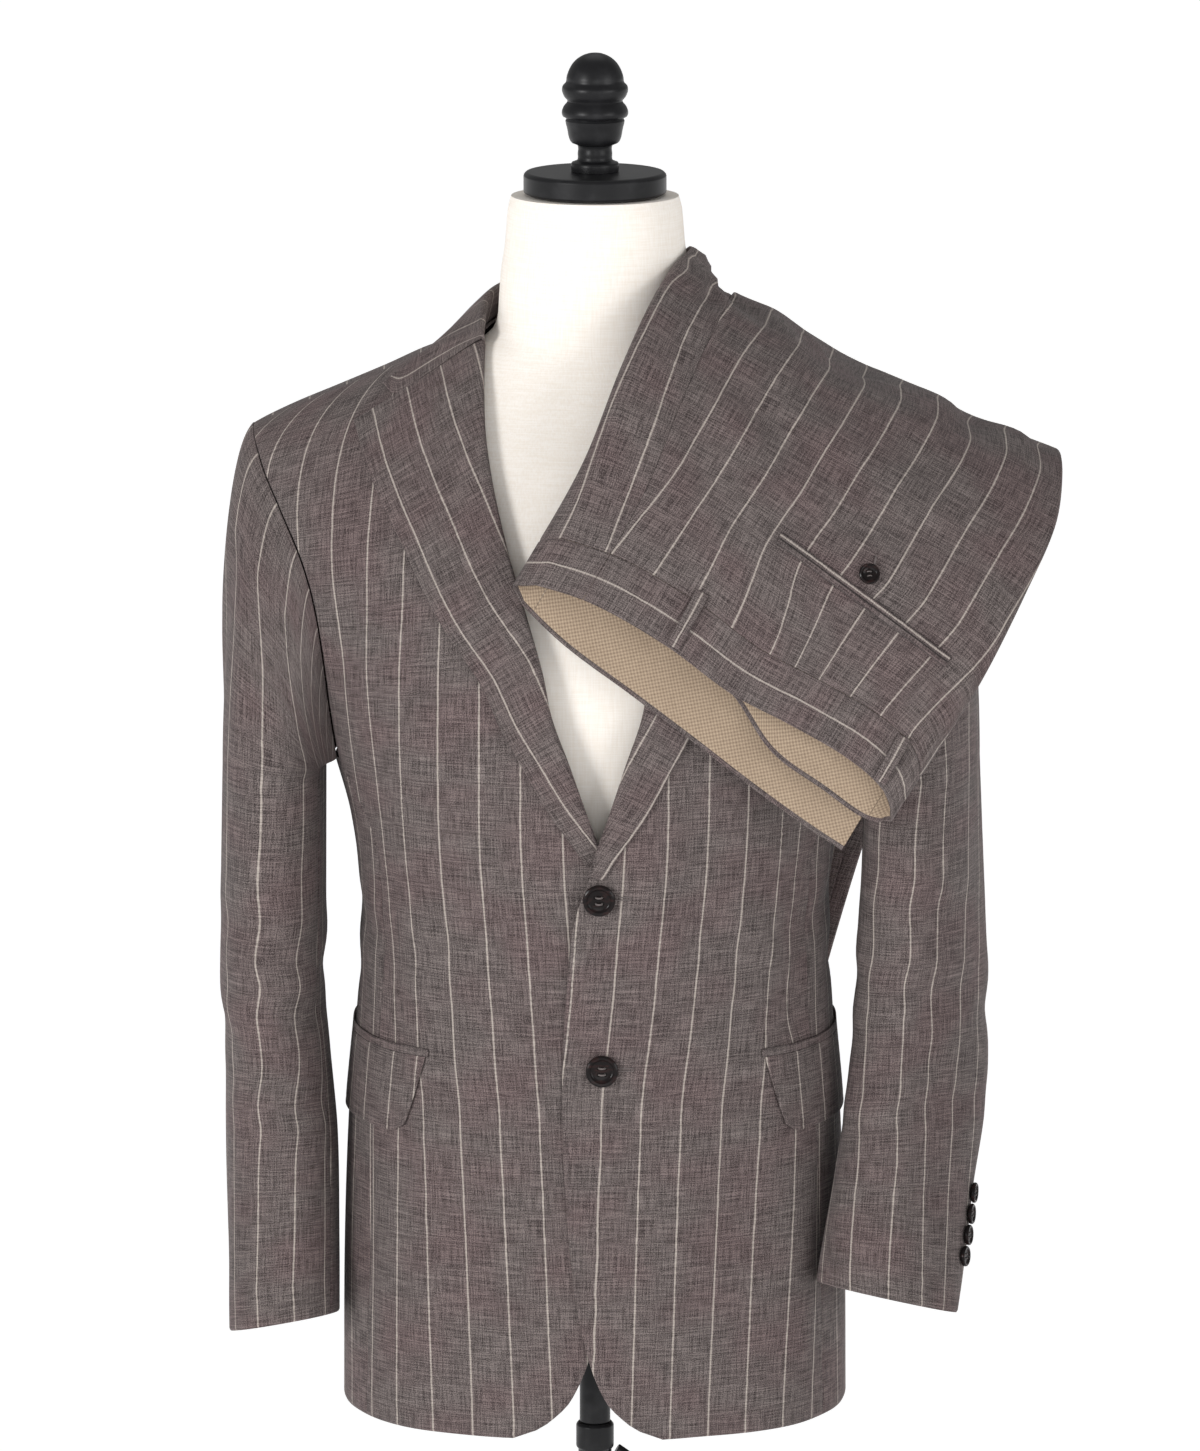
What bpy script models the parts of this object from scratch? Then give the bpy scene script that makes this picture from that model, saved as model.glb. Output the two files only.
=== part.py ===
"""A striped two-piece suit on a dress form.

The jacket is buttoned on a linen torso with a turned cap, and the trousers hang over its
left shoulder, waist to the front and legs down the back. The form faces -Y, +X is the
wearer's left and +Z is up. All sizes are in metres.
"""
import math
from collections import namedtuple

import bpy
from mathutils import Matrix, Vector

# Cloth and seams
BODY_WALL = 0.0020
LAPEL_WALL = 0.0016
SLEEVE_WALL = 0.0018
FLAP_WALL = 0.0014
TROUSER_WALL = 0.0015
CURTAIN_WALL = 0.0010
SEAM_GAP = 0.0003
LAY_GAP = 0.0006

# Jacket body. Below the chest a level is a height, above it is an arc that climbs over the shoulder
CHEST = 1.135
SHOULDER_RISE = 0.300
TOP = CHEST + SHOULDER_RISE * math.pi / 2
FRONT_CROWN = 2.0
BACK_CROWN = 3.0
Ring = namedtuple("Ring", "level half_width front back squareness")
BODY = [
    Ring(0.672, 0.1780, 0.1405, 0.136, 2.5),
    Ring(0.780, 0.1768, 0.1405, 0.138, 2.5),
    Ring(0.880, 0.1728, 0.1370, 0.132, 2.5),
    Ring(0.960, 0.1668, 0.1330, 0.119, 2.4),
    Ring(1.030, 0.1642, 0.1320, 0.112, 2.35),
    Ring(1.090, 0.1710, 0.1350, 0.117, 2.3),
    Ring(1.135, 0.1830, 0.1370, 0.125, 2.3),
    Ring(1.240, 0.2120, 0.1390, 0.136, 2.3),
    Ring(1.370, 0.2400, 0.1380, 0.141, 2.35),
    Ring(1.500, 0.2580, 0.1320, 0.138, 2.4),
    Ring(1.606, 0.2640, 0.1280, 0.132, 2.4),
]
Shoulder = namedtuple("Shoulder", "out height")
SHOULDER = [
    Shoulder(0.055, 1.4400),
    Shoulder(0.080, 1.4310),
    Shoulder(0.101, 1.4215),
    Shoulder(0.121, 1.4140),
    Shoulder(0.144, 1.4035),
    Shoulder(0.179, 1.3890),
    Shoulder(0.210, 1.3765),
    Shoulder(0.238, 1.3630),
    Shoulder(0.262, 1.3470),
]

# Front edges and lapels, measured out from the closing line where the fronts button
Closing = namedtuple("Closing", "height x")
CLOSING = [
    Closing(0.672, -0.0050),
    Closing(0.760, -0.0035),
    Closing(0.900, 0.0020),
    Closing(1.100, 0.0020),
    Closing(1.300, 0.0000),
    Closing(1.440, 0.0000),
]
Edge = namedtuple("Edge", "height reach")
FRONT_EDGE = [
    Edge(0.6720, 0.0520),
    Edge(0.6780, 0.0360),
    Edge(0.6870, 0.0235),
    Edge(0.6990, 0.0125),
    Edge(0.7255, 0.0010),
    Edge(0.7730, -0.0105),
    Edge(0.8440, -0.0205),
    Edge(0.9000, -0.0245),
    Edge(0.9490, -0.0245),
    Edge(0.9910, -0.0220),
    Edge(1.0315, -0.0180),
    Edge(1.0560, -0.0115),
    Edge(1.0876, 0.0000),
    Edge(1.1124, 0.0090),
    Edge(1.1496, 0.0215),
    Edge(1.1821, 0.0330),
    Edge(1.2142, 0.0393),
    Edge(1.2652, 0.0535),
    Edge(1.2931, 0.0614),
    Edge(1.3337, 0.0711),
    Edge(1.3677, 0.0767),
    Edge(1.3922, 0.0780),
    Edge(1.4241, 0.0775),
    Edge(1.4340, 0.0755),
]
LAPEL_LOW = 1.056
LAPEL_START = 0.045
GORGE_IN = 1.4241
NECK_BACK_CLIMB = 74
NECK_SEAM_TOP = 1.4335
NECK_SEAM_OUT = 0.078
NECK_SEAM_LIFT = 0.0012
LAPEL_TIP = 1.3724
LAPEL_EDGE = [
    Edge(1.0560, -0.0095),
    Edge(1.0716, 0.0040),
    Edge(1.0830, 0.0110),
    Edge(1.1119, 0.0310),
    Edge(1.1464, 0.0505),
    Edge(1.1705, 0.0640),
    Edge(1.2033, 0.0783),
    Edge(1.2444, 0.1058),
    Edge(1.2942, 0.1308),
    Edge(1.3368, 0.1524),
    Edge(1.3724, 0.1653),
]
Roll = namedtuple("Roll", "inward across lift")
LAPEL_ROLL = [
    Roll(0.0014, 0.00, -0.0004),
    Roll(0.0026, 0.00, 0.0022),
    Roll(0.0004, 0.00, 0.0044),
    Roll(0.0000, 0.12, 0.0052),
    Roll(0.0000, 0.40, 0.0044),
    Roll(0.0000, 0.72, 0.0038),
    Roll(0.0000, 1.00, 0.0034),
]
FLAT_LIFT = LAPEL_WALL + LAY_GAP
Lap = namedtuple("Lap", "height lift")
LAP_LIFT = [
    Lap(0.672, 0.0028),
    Lap(0.980, 0.0030),
    Lap(1.035, 0.0052),
    Lap(1.095, 0.0052),
    Lap(1.200, 0.0010),
    Lap(1.440, 0.0000),
]
LAP_FLAT = 0.034
LAP_FADE = 0.080

# Armholes: how far round the body each one reaches as it climbs
Seam = namedtuple("Seam", "level front")
FRONT_SEAM = [Seam(0.672, 62), Seam(1.075, 62), Seam(1.105, 67), Seam(1.135, 76)]
BACK_SEAM_TURN = math.radians(120)
ARMPIT_DIP = 0.004
ARMPIT_START = 1.030
Scye = namedtuple("Scye", "climb front back")
ARMHOLE = [
    Scye(0.0, 0.1785, 0.1610),
    Scye(10.0, 0.1848, 0.1790),
    Scye(24.0, 0.1905, 0.1925),
    Scye(35.0, 0.2015, 0.2035),
    Scye(47.5, 0.2170, 0.2165),
    Scye(60.0, 0.2290, 0.2275),
    Scye(75.0, 0.2360, 0.2355),
    Scye(90.0, 0.2377, 0.2377),
]
BackNeck = namedtuple("BackNeck", "climb out")
BACK_NECK = [BackNeck(74.0, 0.000), BackNeck(78.0, 0.043), BackNeck(82.0, 0.060), BackNeck(90.0, 0.0755)]
CLIMBS = (12, 24, 35, 46, 56, 65, 74, 78, 82, 86, 90)
SKIRT_LEVELS = (0.672, 0.678, 0.687, 0.702, 0.730, 0.765, 0.800, 0.870, 0.930, 0.985, 1.035, 1.075, 1.105,
                1.135)
PLAIN_LEVELS = (0.672, 0.730, 0.800, 0.870, 0.930, 0.985, 1.035, 1.075, 1.105, 1.135)

# Collar: the crease where the leaf turns over the stand, and where the leaf's edge lies
Crease = namedtuple("Crease", "part x y z out_x out_climb")
COLLAR = [
    Crease(0.00, 0.0000, 0.0735, 1.4610, 0.0000, 113.0),
    Crease(0.25, 0.0480, 0.0590, 1.4590, 0.0560, 110.0),
    Crease(0.50, 0.0745, 0.0180, 1.4520, 0.0960, 96.0),
    Crease(0.75, 0.0790, -0.0170, 1.4390, 0.1210, 84.0),
    Crease(1.00, 0.0800, -0.0450, 1.4272, 0.1465, 77.0),
]
NOTCH_ACROSS = 0.66
COLLAR_FOLD = 0.0032
COLLAR_BULGE = 0.0045
GORGE_GAP = 0.0006

# Sleeves: sections down from the armpit, each with its own place, size and lean
Section = namedtuple("Section", "run out ahead height narrow deep turn roll pitch")
SLEEVE_RIGHT = [
    Section(0.000, 0.2245, 0.000, 1.125, 0.0363, 0.0790, 0, 0, 0),
    Section(0.095, 0.2258, -0.002, 1.030, 0.0369, 0.0745, 0, 0, 0),
    Section(0.157, 0.2264, -0.006, 0.969, 0.0368, 0.0700, 0, 0, 2),
    Section(0.203, 0.2236, -0.012, 0.924, 0.0370, 0.0660, 0, 0, 5),
    Section(0.267, 0.2205, -0.022, 0.862, 0.0394, 0.0615, 0, 2, 8),
    Section(0.349, 0.2192, -0.037, 0.783, 0.0394, 0.0560, 0, 5, 11),
    Section(0.405, 0.2185, -0.049, 0.733, 0.0392, 0.0525, 0, 10, 12),
]
SLEEVE_LEFT = [
    Section(0.000, 0.2292, 0.000, 1.125, 0.0380, 0.0780, 12, 0, 0),
    Section(0.075, 0.2300, -0.002, 1.050, 0.0380, 0.0745, 18, 0, 0),
    Section(0.125, 0.2296, -0.006, 1.002, 0.0380, 0.0710, 24, 0, 2),
    Section(0.172, 0.2290, -0.013, 0.956, 0.0380, 0.0675, 29, -1, 5),
    Section(0.215, 0.2275, -0.025, 0.917, 0.0380, 0.0650, 34, -2, 8),
    Section(0.265, 0.2232, -0.042, 0.876, 0.0380, 0.0620, 40, -4, 11),
    Section(0.315, 0.2158, -0.060, 0.834, 0.0380, 0.0580, 44, 0, 12),
    Section(0.365, 0.2105, -0.075, 0.801, 0.0380, 0.0555, 52, 6, 12),
    Section(0.415, 0.2040, -0.090, 0.761, 0.0380, 0.0525, 66, 13, 12),
]
SLEEVE_SQUARENESS = 2.2
ARMPIT_CLEARANCE = 0.0012
RIM_FRONT = 0.42
RIM_BACK = 0.58
CAP_SIDE = 0.012
CAP_SWELL = 0.030
CAP_FULL = 0.1
CAP_ARRIVE = 1.1
CAP_OUT = 0.064
CAP_DROP = 0.060
FRONT_SLEEVE_SEAM = 0.42
BACK_SLEEVE_SEAM = 0.70
CAP_STEPS = (0.0, 0.10, 0.24, 0.42, 0.62, 0.82)
SLEEVE_RUNS = (0.0, 0.045, 0.095, 0.145, 0.195, 0.245, 0.290, 0.335, 0.377)

# Pockets and buttons
FLAP_TOP = 0.9375
FLAP_DEEP = 0.0550
FLAP_FRONT = 0.1170
FLAP_SLANT = 0.0100
FLAP_BACK_TURN = math.radians(107)
FLAP_CORNER = 0.0063
FLAP_LIFT = 0.0008
JET_BEYOND = 0.002
JET_DEEP = 0.0055
BUTTON_RADIUS = 0.0112
BUTTON_THICK = 0.0042
FRONT_BUTTONS = ((0.0027, 1.0561), (0.0048, 0.9344))
CUFF_BUTTON_RADIUS = 0.0073
CUFF_BUTTON_THICK = 0.0034
CUFF_BUTTON_FIRST = 0.040
CUFF_BUTTON_STEP = 0.0156
CUFF_BUTTON_COUNT = 4
CUFF_BUTTON_IN = {"left": 0.055, "right": 0.018}
CUFF_ROUND = 0.30

# Trousers: a flat width laid over a ridge above the left shoulder
RIDGE_X = 0.0637
RIDGE_Z = 1.4906
RIDGE_SLOPE = math.radians(29.4)
WIDTH = 0.305
MIDDLE = 0.155
Drape = namedtuple("Drape", "reach drop depth")
DRAPE = [
    Drape(-0.375, 0.300, -0.1700),
    Drape(-0.320, 0.245, -0.1680),
    Drape(-0.275, 0.200, -0.1620),
    Drape(-0.225, 0.150, -0.1510),
    Drape(-0.172, 0.100, -0.1300),
    Drape(-0.124, 0.060, -0.1030),
    Drape(-0.078, 0.028, -0.0690),
    Drape(-0.037, 0.008, -0.0330),
    Drape(0.000, 0.000, 0.0040),
    Drape(0.037, 0.007, 0.0400),
    Drape(0.081, 0.024, 0.0810),
    Drape(0.136, 0.060, 0.1230),
    Drape(0.204, 0.120, 0.1550),
    Drape(0.287, 0.202, 0.1680),
    Drape(0.397, 0.312, 0.1730),
    Drape(0.567, 0.482, 0.1740),
    Drape(0.747, 0.662, 0.1720),
]
Spread = namedtuple("Spread", "reach left right")
SPREAD = [
    Spread(-0.375, 0.000, 0.304),
    Spread(-0.320, 0.000, 0.3055),
    Spread(-0.225, 0.0015, 0.312),
    Spread(-0.150, -0.0060, 0.312),
    Spread(-0.090, -0.0075, 0.3115),
    Spread(-0.037, -0.0030, 0.304),
    Spread(0.000, 0.0010, 0.3000),
    Spread(0.050, 0.0060, 0.3000),
    Spread(0.100, 0.0080, 0.3000),
    Spread(0.300, 0.0160, 0.2850),
    Spread(0.500, 0.0350, 0.2680),
    Spread(0.747, 0.0550, 0.2480),
]
Swing = namedtuple("Swing", "drop angle")
SWING = [Swing(0.0, 29.4), Swing(0.06, 24.0), Swing(0.15, 18.0), Swing(0.30, 14.0), Swing(0.50, 10.0),
         Swing(0.80, 7.0)]
Dip = namedtuple("Dip", "across depth")
RIDGE_DIP = [
    Dip(0.000, 0.000),
    Dip(0.018, 0.006),
    Dip(0.045, 0.0155),
    Dip(0.078, 0.0120),
    Dip(0.105, 0.0155),
    Dip(0.140, 0.0215),
    Dip(0.166, 0.0165),
    Dip(0.208, 0.0085),
    Dip(0.236, 0.0105),
    Dip(0.265, 0.0040),
    Dip(0.305, 0.0000),
]
DIP_REACH = 0.055
Layer = namedtuple("Layer", "reach strip near near_thick far far_thick")
LAYERS = [
    Layer(-0.375, 0.0, 0.0135, 0.0015, 0.0265, 0.0015),
    Layer(-0.320, 0.0, 0.0130, 0.0015, 0.0255, 0.0015),
    Layer(-0.240, 0.0, 0.0105, 0.0015, 0.0200, 0.0015),
    Layer(-0.150, 0.0, 0.0075, 0.0020, 0.0150, 0.0020),
    Layer(-0.050, 0.0, 0.0062, 0.0030, 0.0125, 0.0040),
    Layer(0.000, 0.0, 0.0060, 0.0032, 0.0122, 0.0048),
    Layer(0.070, 0.0068, 0.0060, 0.0034, 0.0155, 0.0050),
    Layer(0.747, 0.0068, 0.0060, 0.0034, 0.0155, 0.0050),
]
SEAT_SEAM = 0.045
LEFT_SIDE_SEAM = 0.290
RIGHT_SIDE_SEAM = 0.022
FAR_END = 0.288
STRIP_UNDER = 0.085
ACROSS = (0.030, 0.045, 0.062, 0.080, 0.105, 0.135, 0.160, 0.185, 0.210, 0.236, 0.262, 0.284)
FLY_SIDE = (0.1325, 0.1300, 0.1275, 0.1250)
INSEAM_SIDE = (0.105, 0.080, 0.062, 0.050)
BAND = 0.036
Waist = namedtuple("Waist", "across near middle far")
WAIST = [
    Waist(0.000, 0.2370, 0.2415, 0.2490),
    Waist(0.050, 0.2270, 0.2385, 0.2635),
    Waist(0.110, 0.2275, 0.2235, 0.2720),
    Waist(0.165, 0.2345, 0.2345, 0.2800),
    Waist(0.210, 0.2335, 0.2570, 0.2870),
    Waist(0.255, 0.2345, 0.2630, 0.2925),
    Waist(0.288, 0.2420, 0.2665, 0.2950),
    Waist(0.305, 0.2560, 0.2615, 0.2950),
]
WAIST_REACH = -0.310
CURTAIN_INSET = 0.0035
YOKE_STEPS = 5
PANEL_REACHES = (-0.105, -0.070, -0.040, -0.015, 0.010, 0.035, 0.065, 0.100, 0.145, 0.200, 0.290, 0.420,
                 0.580, 0.747)
LOOP_WALL = 0.0012
LOOP_WIDTH = 0.0095
LOOP_RISE = 0.0020
Loop = namedtuple("Loop", "across high low")
BELT_LOOPS = (Loop(0.1145, 0.184, 0.226), Loop(0.2830, 0.203, 0.238))
Spot = namedtuple("Spot", "across drop")
POCKET_START = Spot(0.1423, 0.1290)
POCKET_END = Spot(0.2850, 0.1456)
POCKET_JET = 0.0038
POCKET_BUTTON = Spot(0.2087, 0.1215)
NECK_CLEARANCE = 0.0027

# Dress form
Torso = namedtuple("Torso", "height half_width front back squareness")
TORSO = [
    Torso(0.860, 0.118, 0.098, 0.090, 2.2),
    Torso(0.905, 0.131, 0.108, 0.097, 2.2),
    Torso(0.980, 0.140, 0.113, 0.096, 2.2),
    Torso(1.060, 0.145, 0.116, 0.097, 2.2),
    Torso(1.135, 0.158, 0.121, 0.106, 2.2),
    Torso(1.200, 0.171, 0.122, 0.114, 2.1),
    Torso(1.260, 0.183, 0.118, 0.118, 2.0),
    Torso(1.310, 0.193, 0.107, 0.115, 1.95),
    Torso(1.345, 0.199, 0.094, 0.106, 1.9),
    Torso(1.364, 0.202, 0.084, 0.098, 1.85),
    Torso(1.3745, 0.1985, 0.078, 0.092, 1.8),
    Torso(1.3850, 0.1760, 0.073, 0.086, 1.8),
    Torso(1.3975, 0.1455, 0.067, 0.078, 1.8),
    Torso(1.4085, 0.1190, 0.063, 0.071, 1.8),
    Torso(1.4180, 0.0960, 0.060, 0.065, 1.8),
    Torso(1.4260, 0.0762, 0.059, 0.0600, 1.9),
    Torso(1.4360, 0.0685, 0.0585, 0.0585, 2.0),
    Torso(1.4540, 0.0665, 0.0580, 0.0575, 2.0),
    Torso(1.4720, 0.0652, 0.0570, 0.0565, 2.0),
    Torso(1.4900, 0.0625, 0.0555, 0.0550, 2.0),
    Torso(1.5160, 0.0602, 0.0540, 0.0535, 2.0),
    Torso(1.5240, 0.0580, 0.0520, 0.0515, 2.0),
]
TORSO_SIDES = 24
CAP_DISC_RADIUS = 0.0495
CAP_DISC_LOW = 1.5243
CAP_DISC_HIGH = 1.5405
Turned = namedtuple("Turned", "radius height")
FINIAL = [
    Turned(0.0163, 1.5408),
    Turned(0.0163, 1.5470),
    Turned(0.0120, 1.5500),
    Turned(0.0120, 1.5590),
    Turned(0.0185, 1.5660),
    Turned(0.0206, 1.5765),
    Turned(0.0230, 1.5815),
    Turned(0.0188, 1.5900),
    Turned(0.0228, 1.5985),
    Turned(0.0200, 1.6030),
    Turned(0.0172, 1.6130),
    Turned(0.0108, 1.6200),
    Turned(0.0000, 1.6230),
]
POLE_RADIUS = 0.0109
TUBE_RADIUS = 0.0118
TUBE_TOP = 0.6455
BASE_RADIUS = 0.190
BASE_THICK = 0.016
BOSS_RADIUS = 0.030
BOSS_HIGH = 0.034
LEVER_HEIGHT = 0.6240
LEVER_LONG = 0.070
LEVER_RADIUS = 0.0050
LEVER_SLOPE = math.radians(30)

# Colours
SUIT_GREY = (0.150, 0.125, 0.122)
CURTAIN_BEIGE = (0.420, 0.330, 0.210)
BUTTON_BLACK = (0.020, 0.017, 0.016)
LINEN = (0.780, 0.700, 0.600)
SATIN_BLACK = (0.015, 0.015, 0.017)


def start_empty():
    """Take away every object that the file opened with."""
    for item in list(bpy.data.objects):
        bpy.data.objects.remove(item, do_unlink=True)


def finish(name, colour, roughness, metallic=0.0):
    """A plain material for one sub-part."""
    material = bpy.data.materials.new(name)
    material.use_nodes = True
    shader = material.node_tree.nodes["Principled BSDF"]
    shader.inputs["Base Color"].default_value = (*colour, 1.0)
    shader.inputs["Roughness"].default_value = roughness
    shader.inputs["Metallic"].default_value = metallic
    return material


def along(rows, at, column):
    """A named column's value at a place, on a smooth curve through the table's rows."""
    if at <= rows[0][0]:
        return getattr(rows[0], column)
    if at >= rows[-1][0]:
        return getattr(rows[-1], column)
    index = next(i for i in range(len(rows) - 1) if at <= rows[i + 1][0])
    low, high = rows[index], rows[index + 1]
    before = rows[max(index - 1, 0)]
    after = rows[min(index + 2, len(rows) - 1)]
    span = high[0] - low[0]
    t = (at - low[0]) / span
    start, end = getattr(low, column), getattr(high, column)
    leave = span * (end - getattr(before, column)) / (high[0] - before[0])
    arrive = span * (getattr(after, column) - start) / (after[0] - low[0])
    return (start * (2 * t**3 - 3 * t**2 + 1) + leave * (t**3 - 2 * t**2 + t)
            + end * (3 * t**2 - 2 * t**3) + arrive * (t**3 - t**2))


def power(value, exponent):
    """A signed power, for rounded-square sections."""
    return math.copysign(abs(value) ** exponent, value)


def ease(value):
    """A soft step from 0 to 1."""
    value = min(1.0, max(0.0, value))
    return value * value * (3 - 2 * value)


def mesh_object(name, vertices, faces, material, smooth=True):
    """An object from points and faces, its faces turned outwards."""
    mesh = bpy.data.meshes.new(name)
    mesh.from_pydata([tuple(v) for v in vertices], [], faces)
    volume = 0.0
    for face in mesh.polygons:
        corners = [mesh.vertices[i].co for i in face.vertices]
        for second, third in zip(corners[1:], corners[2:]):
            volume += corners[0].dot(second.cross(third))
    if volume < 0:
        mesh.flip_normals()
    if smooth:
        mesh.shade_smooth()
        mesh.set_sharp_from_angle(angle=math.radians(40))
    mesh.materials.append(material)
    item = bpy.data.objects.new(name, mesh)
    bpy.context.scene.collection.objects.link(item)
    return item


def cloth(name, rows, wall, material):
    """A wall of cloth from rows of (point, outward normal), with its edges closed.

    wall is its thickness, or a function of the row's index that gives it.
    """
    count, width = len(rows), len(rows[0])
    outer = [point for row in rows for point, normal in row]
    inner = []
    for index, row in enumerate(rows):
        thick = wall(index) if callable(wall) else wall
        inner += [point - normal * thick for point, normal in row]
    total = count * width
    faces = []
    for i in range(count - 1):
        for j in range(width - 1):
            a, b, c, d = i * width + j, i * width + j + 1, (i + 1) * width + j + 1, (i + 1) * width + j
            faces.append((a, b, c, d))
            faces.append((total + d, total + c, total + b, total + a))
    for j in range(width - 1):
        a, b = j, j + 1
        faces.append((a, total + a, total + b, b))
        a, b = (count - 1) * width + j + 1, (count - 1) * width + j
        faces.append((b, a, total + a, total + b))
    for i in range(count - 1):
        a, b = (i + 1) * width, i * width
        faces.append((a, total + a, total + b, b))
        a, b = i * width + width - 1, (i + 1) * width + width - 1
        faces.append((b, a, total + a, total + b))
    return mesh_object(name, outer + inner, faces, material)


def loft(name, rings, material):
    """A closed body through rings of points, capped flat at both ends."""
    sides = len(rings[0])
    vertices = [point for ring in rings for point in ring]
    faces = []
    for i in range(len(rings) - 1):
        for j in range(sides):
            k = (j + 1) % sides
            faces.append((i * sides + j, i * sides + k, (i + 1) * sides + k, (i + 1) * sides + j))
    faces.append(tuple(range(sides - 1, -1, -1)))
    faces.append(tuple((len(rings) - 1) * sides + j for j in range(sides)))
    return mesh_object(name, vertices, faces, material)


def turned(name, profile, sides, material, place=None):
    """A turned body: a profile of (radius, height) spun about its axis."""
    place = place or Matrix.Identity(4)
    vertices = []
    rings = []
    for radius, height in profile:
        if radius < 1e-6:
            rings.append([len(vertices)] * sides)
            vertices.append(place @ Vector((0, 0, height)))
            continue
        rings.append([len(vertices) + j for j in range(sides)])
        for j in range(sides):
            angle = 2 * math.pi * j / sides
            vertices.append(place @ Vector((radius * math.cos(angle), radius * math.sin(angle), height)))
    faces = []
    for low, high in zip(rings, rings[1:]):
        for j in range(sides):
            k = (j + 1) % sides
            face = [low[j], low[k], high[k], high[j]]
            faces.append(tuple(dict.fromkeys(face)))
    if profile[0][0] > 1e-6:
        faces.append(tuple(reversed(rings[0])))
    if profile[-1][0] > 1e-6:
        faces.append(tuple(rings[-1]))
    return mesh_object(name, vertices, faces, material)


def draw_in(rows, edges, gap=SEAM_GAP):
    """Move sewn edges back by half a seam gap; edges names start, end, first or last."""
    half = gap / 2

    def step(here, beyond):
        return here[0] + (beyond[0] - here[0]).normalized() * half, here[1]

    if "start" in edges:
        for row in rows:
            row[0] = step(row[0], row[1])
    if "end" in edges:
        for row in rows:
            row[-1] = step(row[-1], row[-2])
    if "first" in edges:
        rows[0] = [step(here, beyond) for here, beyond in zip(rows[0], rows[1])]
    if "last" in edges:
        rows[-1] = [step(here, beyond) for here, beyond in zip(rows[-1], rows[-2])]
    return rows


def shoulder_height(x):
    return along(SHOULDER, abs(x), "height")


def climb(level):
    """The angle that a level has climbed from the chest over the shoulder."""
    return min(math.pi / 2, max(0.0, (level - CHEST) / SHOULDER_RISE))


def height_at(x, level):
    """The height of a level where it crosses x."""
    if level <= CHEST:
        return level
    return CHEST + (shoulder_height(x) - CHEST) * math.sin(climb(level))


def level_at(x, height):
    """The level that passes through a place on the front."""
    if height <= CHEST:
        return height
    part = min(1.0, (height - CHEST) / (shoulder_height(x) - CHEST))
    return CHEST + SHOULDER_RISE * math.asin(part)


def body_depths(level):
    """The front and back depth of the jacket at a level."""
    front, back = along(BODY, level, "front"), along(BODY, level, "back")
    rise = math.sin(climb(level))
    front *= max(0.0, 1 - rise**FRONT_CROWN) ** (1 / FRONT_CROWN)
    back *= max(0.0, 1 - rise**BACK_CROWN) ** (1 / BACK_CROWN)
    return front, back


def body_point(turn, level):
    """A point of the jacket's outer surface; turn runs from the centre front, positive to the left."""
    exponent = 2 / along(BODY, level, "squareness")
    front, back = body_depths(level)
    x = along(BODY, level, "half_width") * power(math.sin(turn), exponent)
    forward = power(math.cos(turn), exponent)
    y = -forward * (front if forward > 0 else back)
    return Vector((x, y, height_at(x, level)))


def body_normal(turn, level):
    """The outward direction there."""
    across = body_point(turn + 0.004, level) - body_point(turn - 0.004, level)
    rise = body_point(turn, min(level + 0.002, TOP)) - body_point(turn, level - 0.002)
    return across.cross(rise).normalized()


def turn_at(x, level, behind=False):
    """How far round the body a place at x lies at a level."""
    part = min(1.0, abs(x) / along(BODY, level, "half_width"))
    turn = math.asin(part ** (along(BODY, level, "squareness") / 2))
    if behind:
        turn = math.pi - turn
    return math.copysign(turn, x)


def on_body(turn, level, lift=0.0):
    """A point and its normal, lifted off the jacket's surface."""
    normal = body_normal(turn, level)
    return body_point(turn, level) + normal * lift, normal


def on_front(x, height, lift=0.0):
    """The same for a place on the front, by x and height."""
    level = level_at(x, height)
    return on_body(turn_at(x, level), level, lift)


def closing_x(height):
    return along(CLOSING, height, "x")


def lap(side, x, height):
    """How far the left front stands off, where it laps over the right one."""
    if side < 0:
        return 0.0
    fade = 1 - ease((x - LAP_FLAT) / (LAP_FADE - LAP_FLAT))
    return along(LAP_LIFT, height, "lift") * fade


def front_edge_x(side, height):
    """The front edge, or above the buttons the crease of the lapel."""
    return closing_x(height) + side * along(FRONT_EDGE, height, "reach")


def front_start(side, level):
    """The turn where a front panel starts at a level."""
    x = side * 0.05
    for _ in range(4):
        height = height_at(x, level)
        x = front_edge_x(side, height) + side * LAY_GAP * ease((height - LAPEL_LOW) / 0.02)
    return turn_at(x, level)


def armhole_turn(level, column, side):
    """The turn where the front or back panel ends at the armhole."""
    x = along(ARMHOLE, math.degrees(climb(level)), column)
    return turn_at(side * x, level, behind=column == "back")


def panel_rows(side, start, end, levels, columns, lift=None):
    """Rows of a body panel between two turns that follow the level."""
    rows = []
    for level in levels:
        first, last = start(level), end(level)
        row = []
        for j in range(columns + 1):
            turn = first + (last - first) * j / columns
            point, normal = on_body(turn, level)
            if lift:
                point = point + normal * lift(point.x, point.z)
            row.append((point, normal))
        rows.append(row)
    return rows


def climb_levels():
    return [CHEST + SHOULDER_RISE * math.radians(angle) for angle in CLIMBS]


def front_seam_turn(level, side):
    if level <= CHEST:
        return side * math.radians(along(FRONT_SEAM, level, "front"))
    return armhole_turn(level, "front", side)


def back_seam_turn(level, side):
    if level <= CHEST:
        return side * BACK_SEAM_TURN
    return armhole_turn(level, "back", side)


def make_front(name, side, suit):
    levels = list(SKIRT_LEVELS) + climb_levels()
    rows = panel_rows(side, lambda level: front_start(side, level),
                      lambda level: front_seam_turn(level, side), levels, 7, lambda x, z: lap(side, x, z))
    return cloth(name, draw_in(rows, ("end", "last")), BODY_WALL, suit)


def side_turn(side, level, part):
    """A turn between a side panel's two seams."""
    front, back = front_seam_turn(level, side), side * BACK_SEAM_TURN
    return front + (back - front) * part


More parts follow.
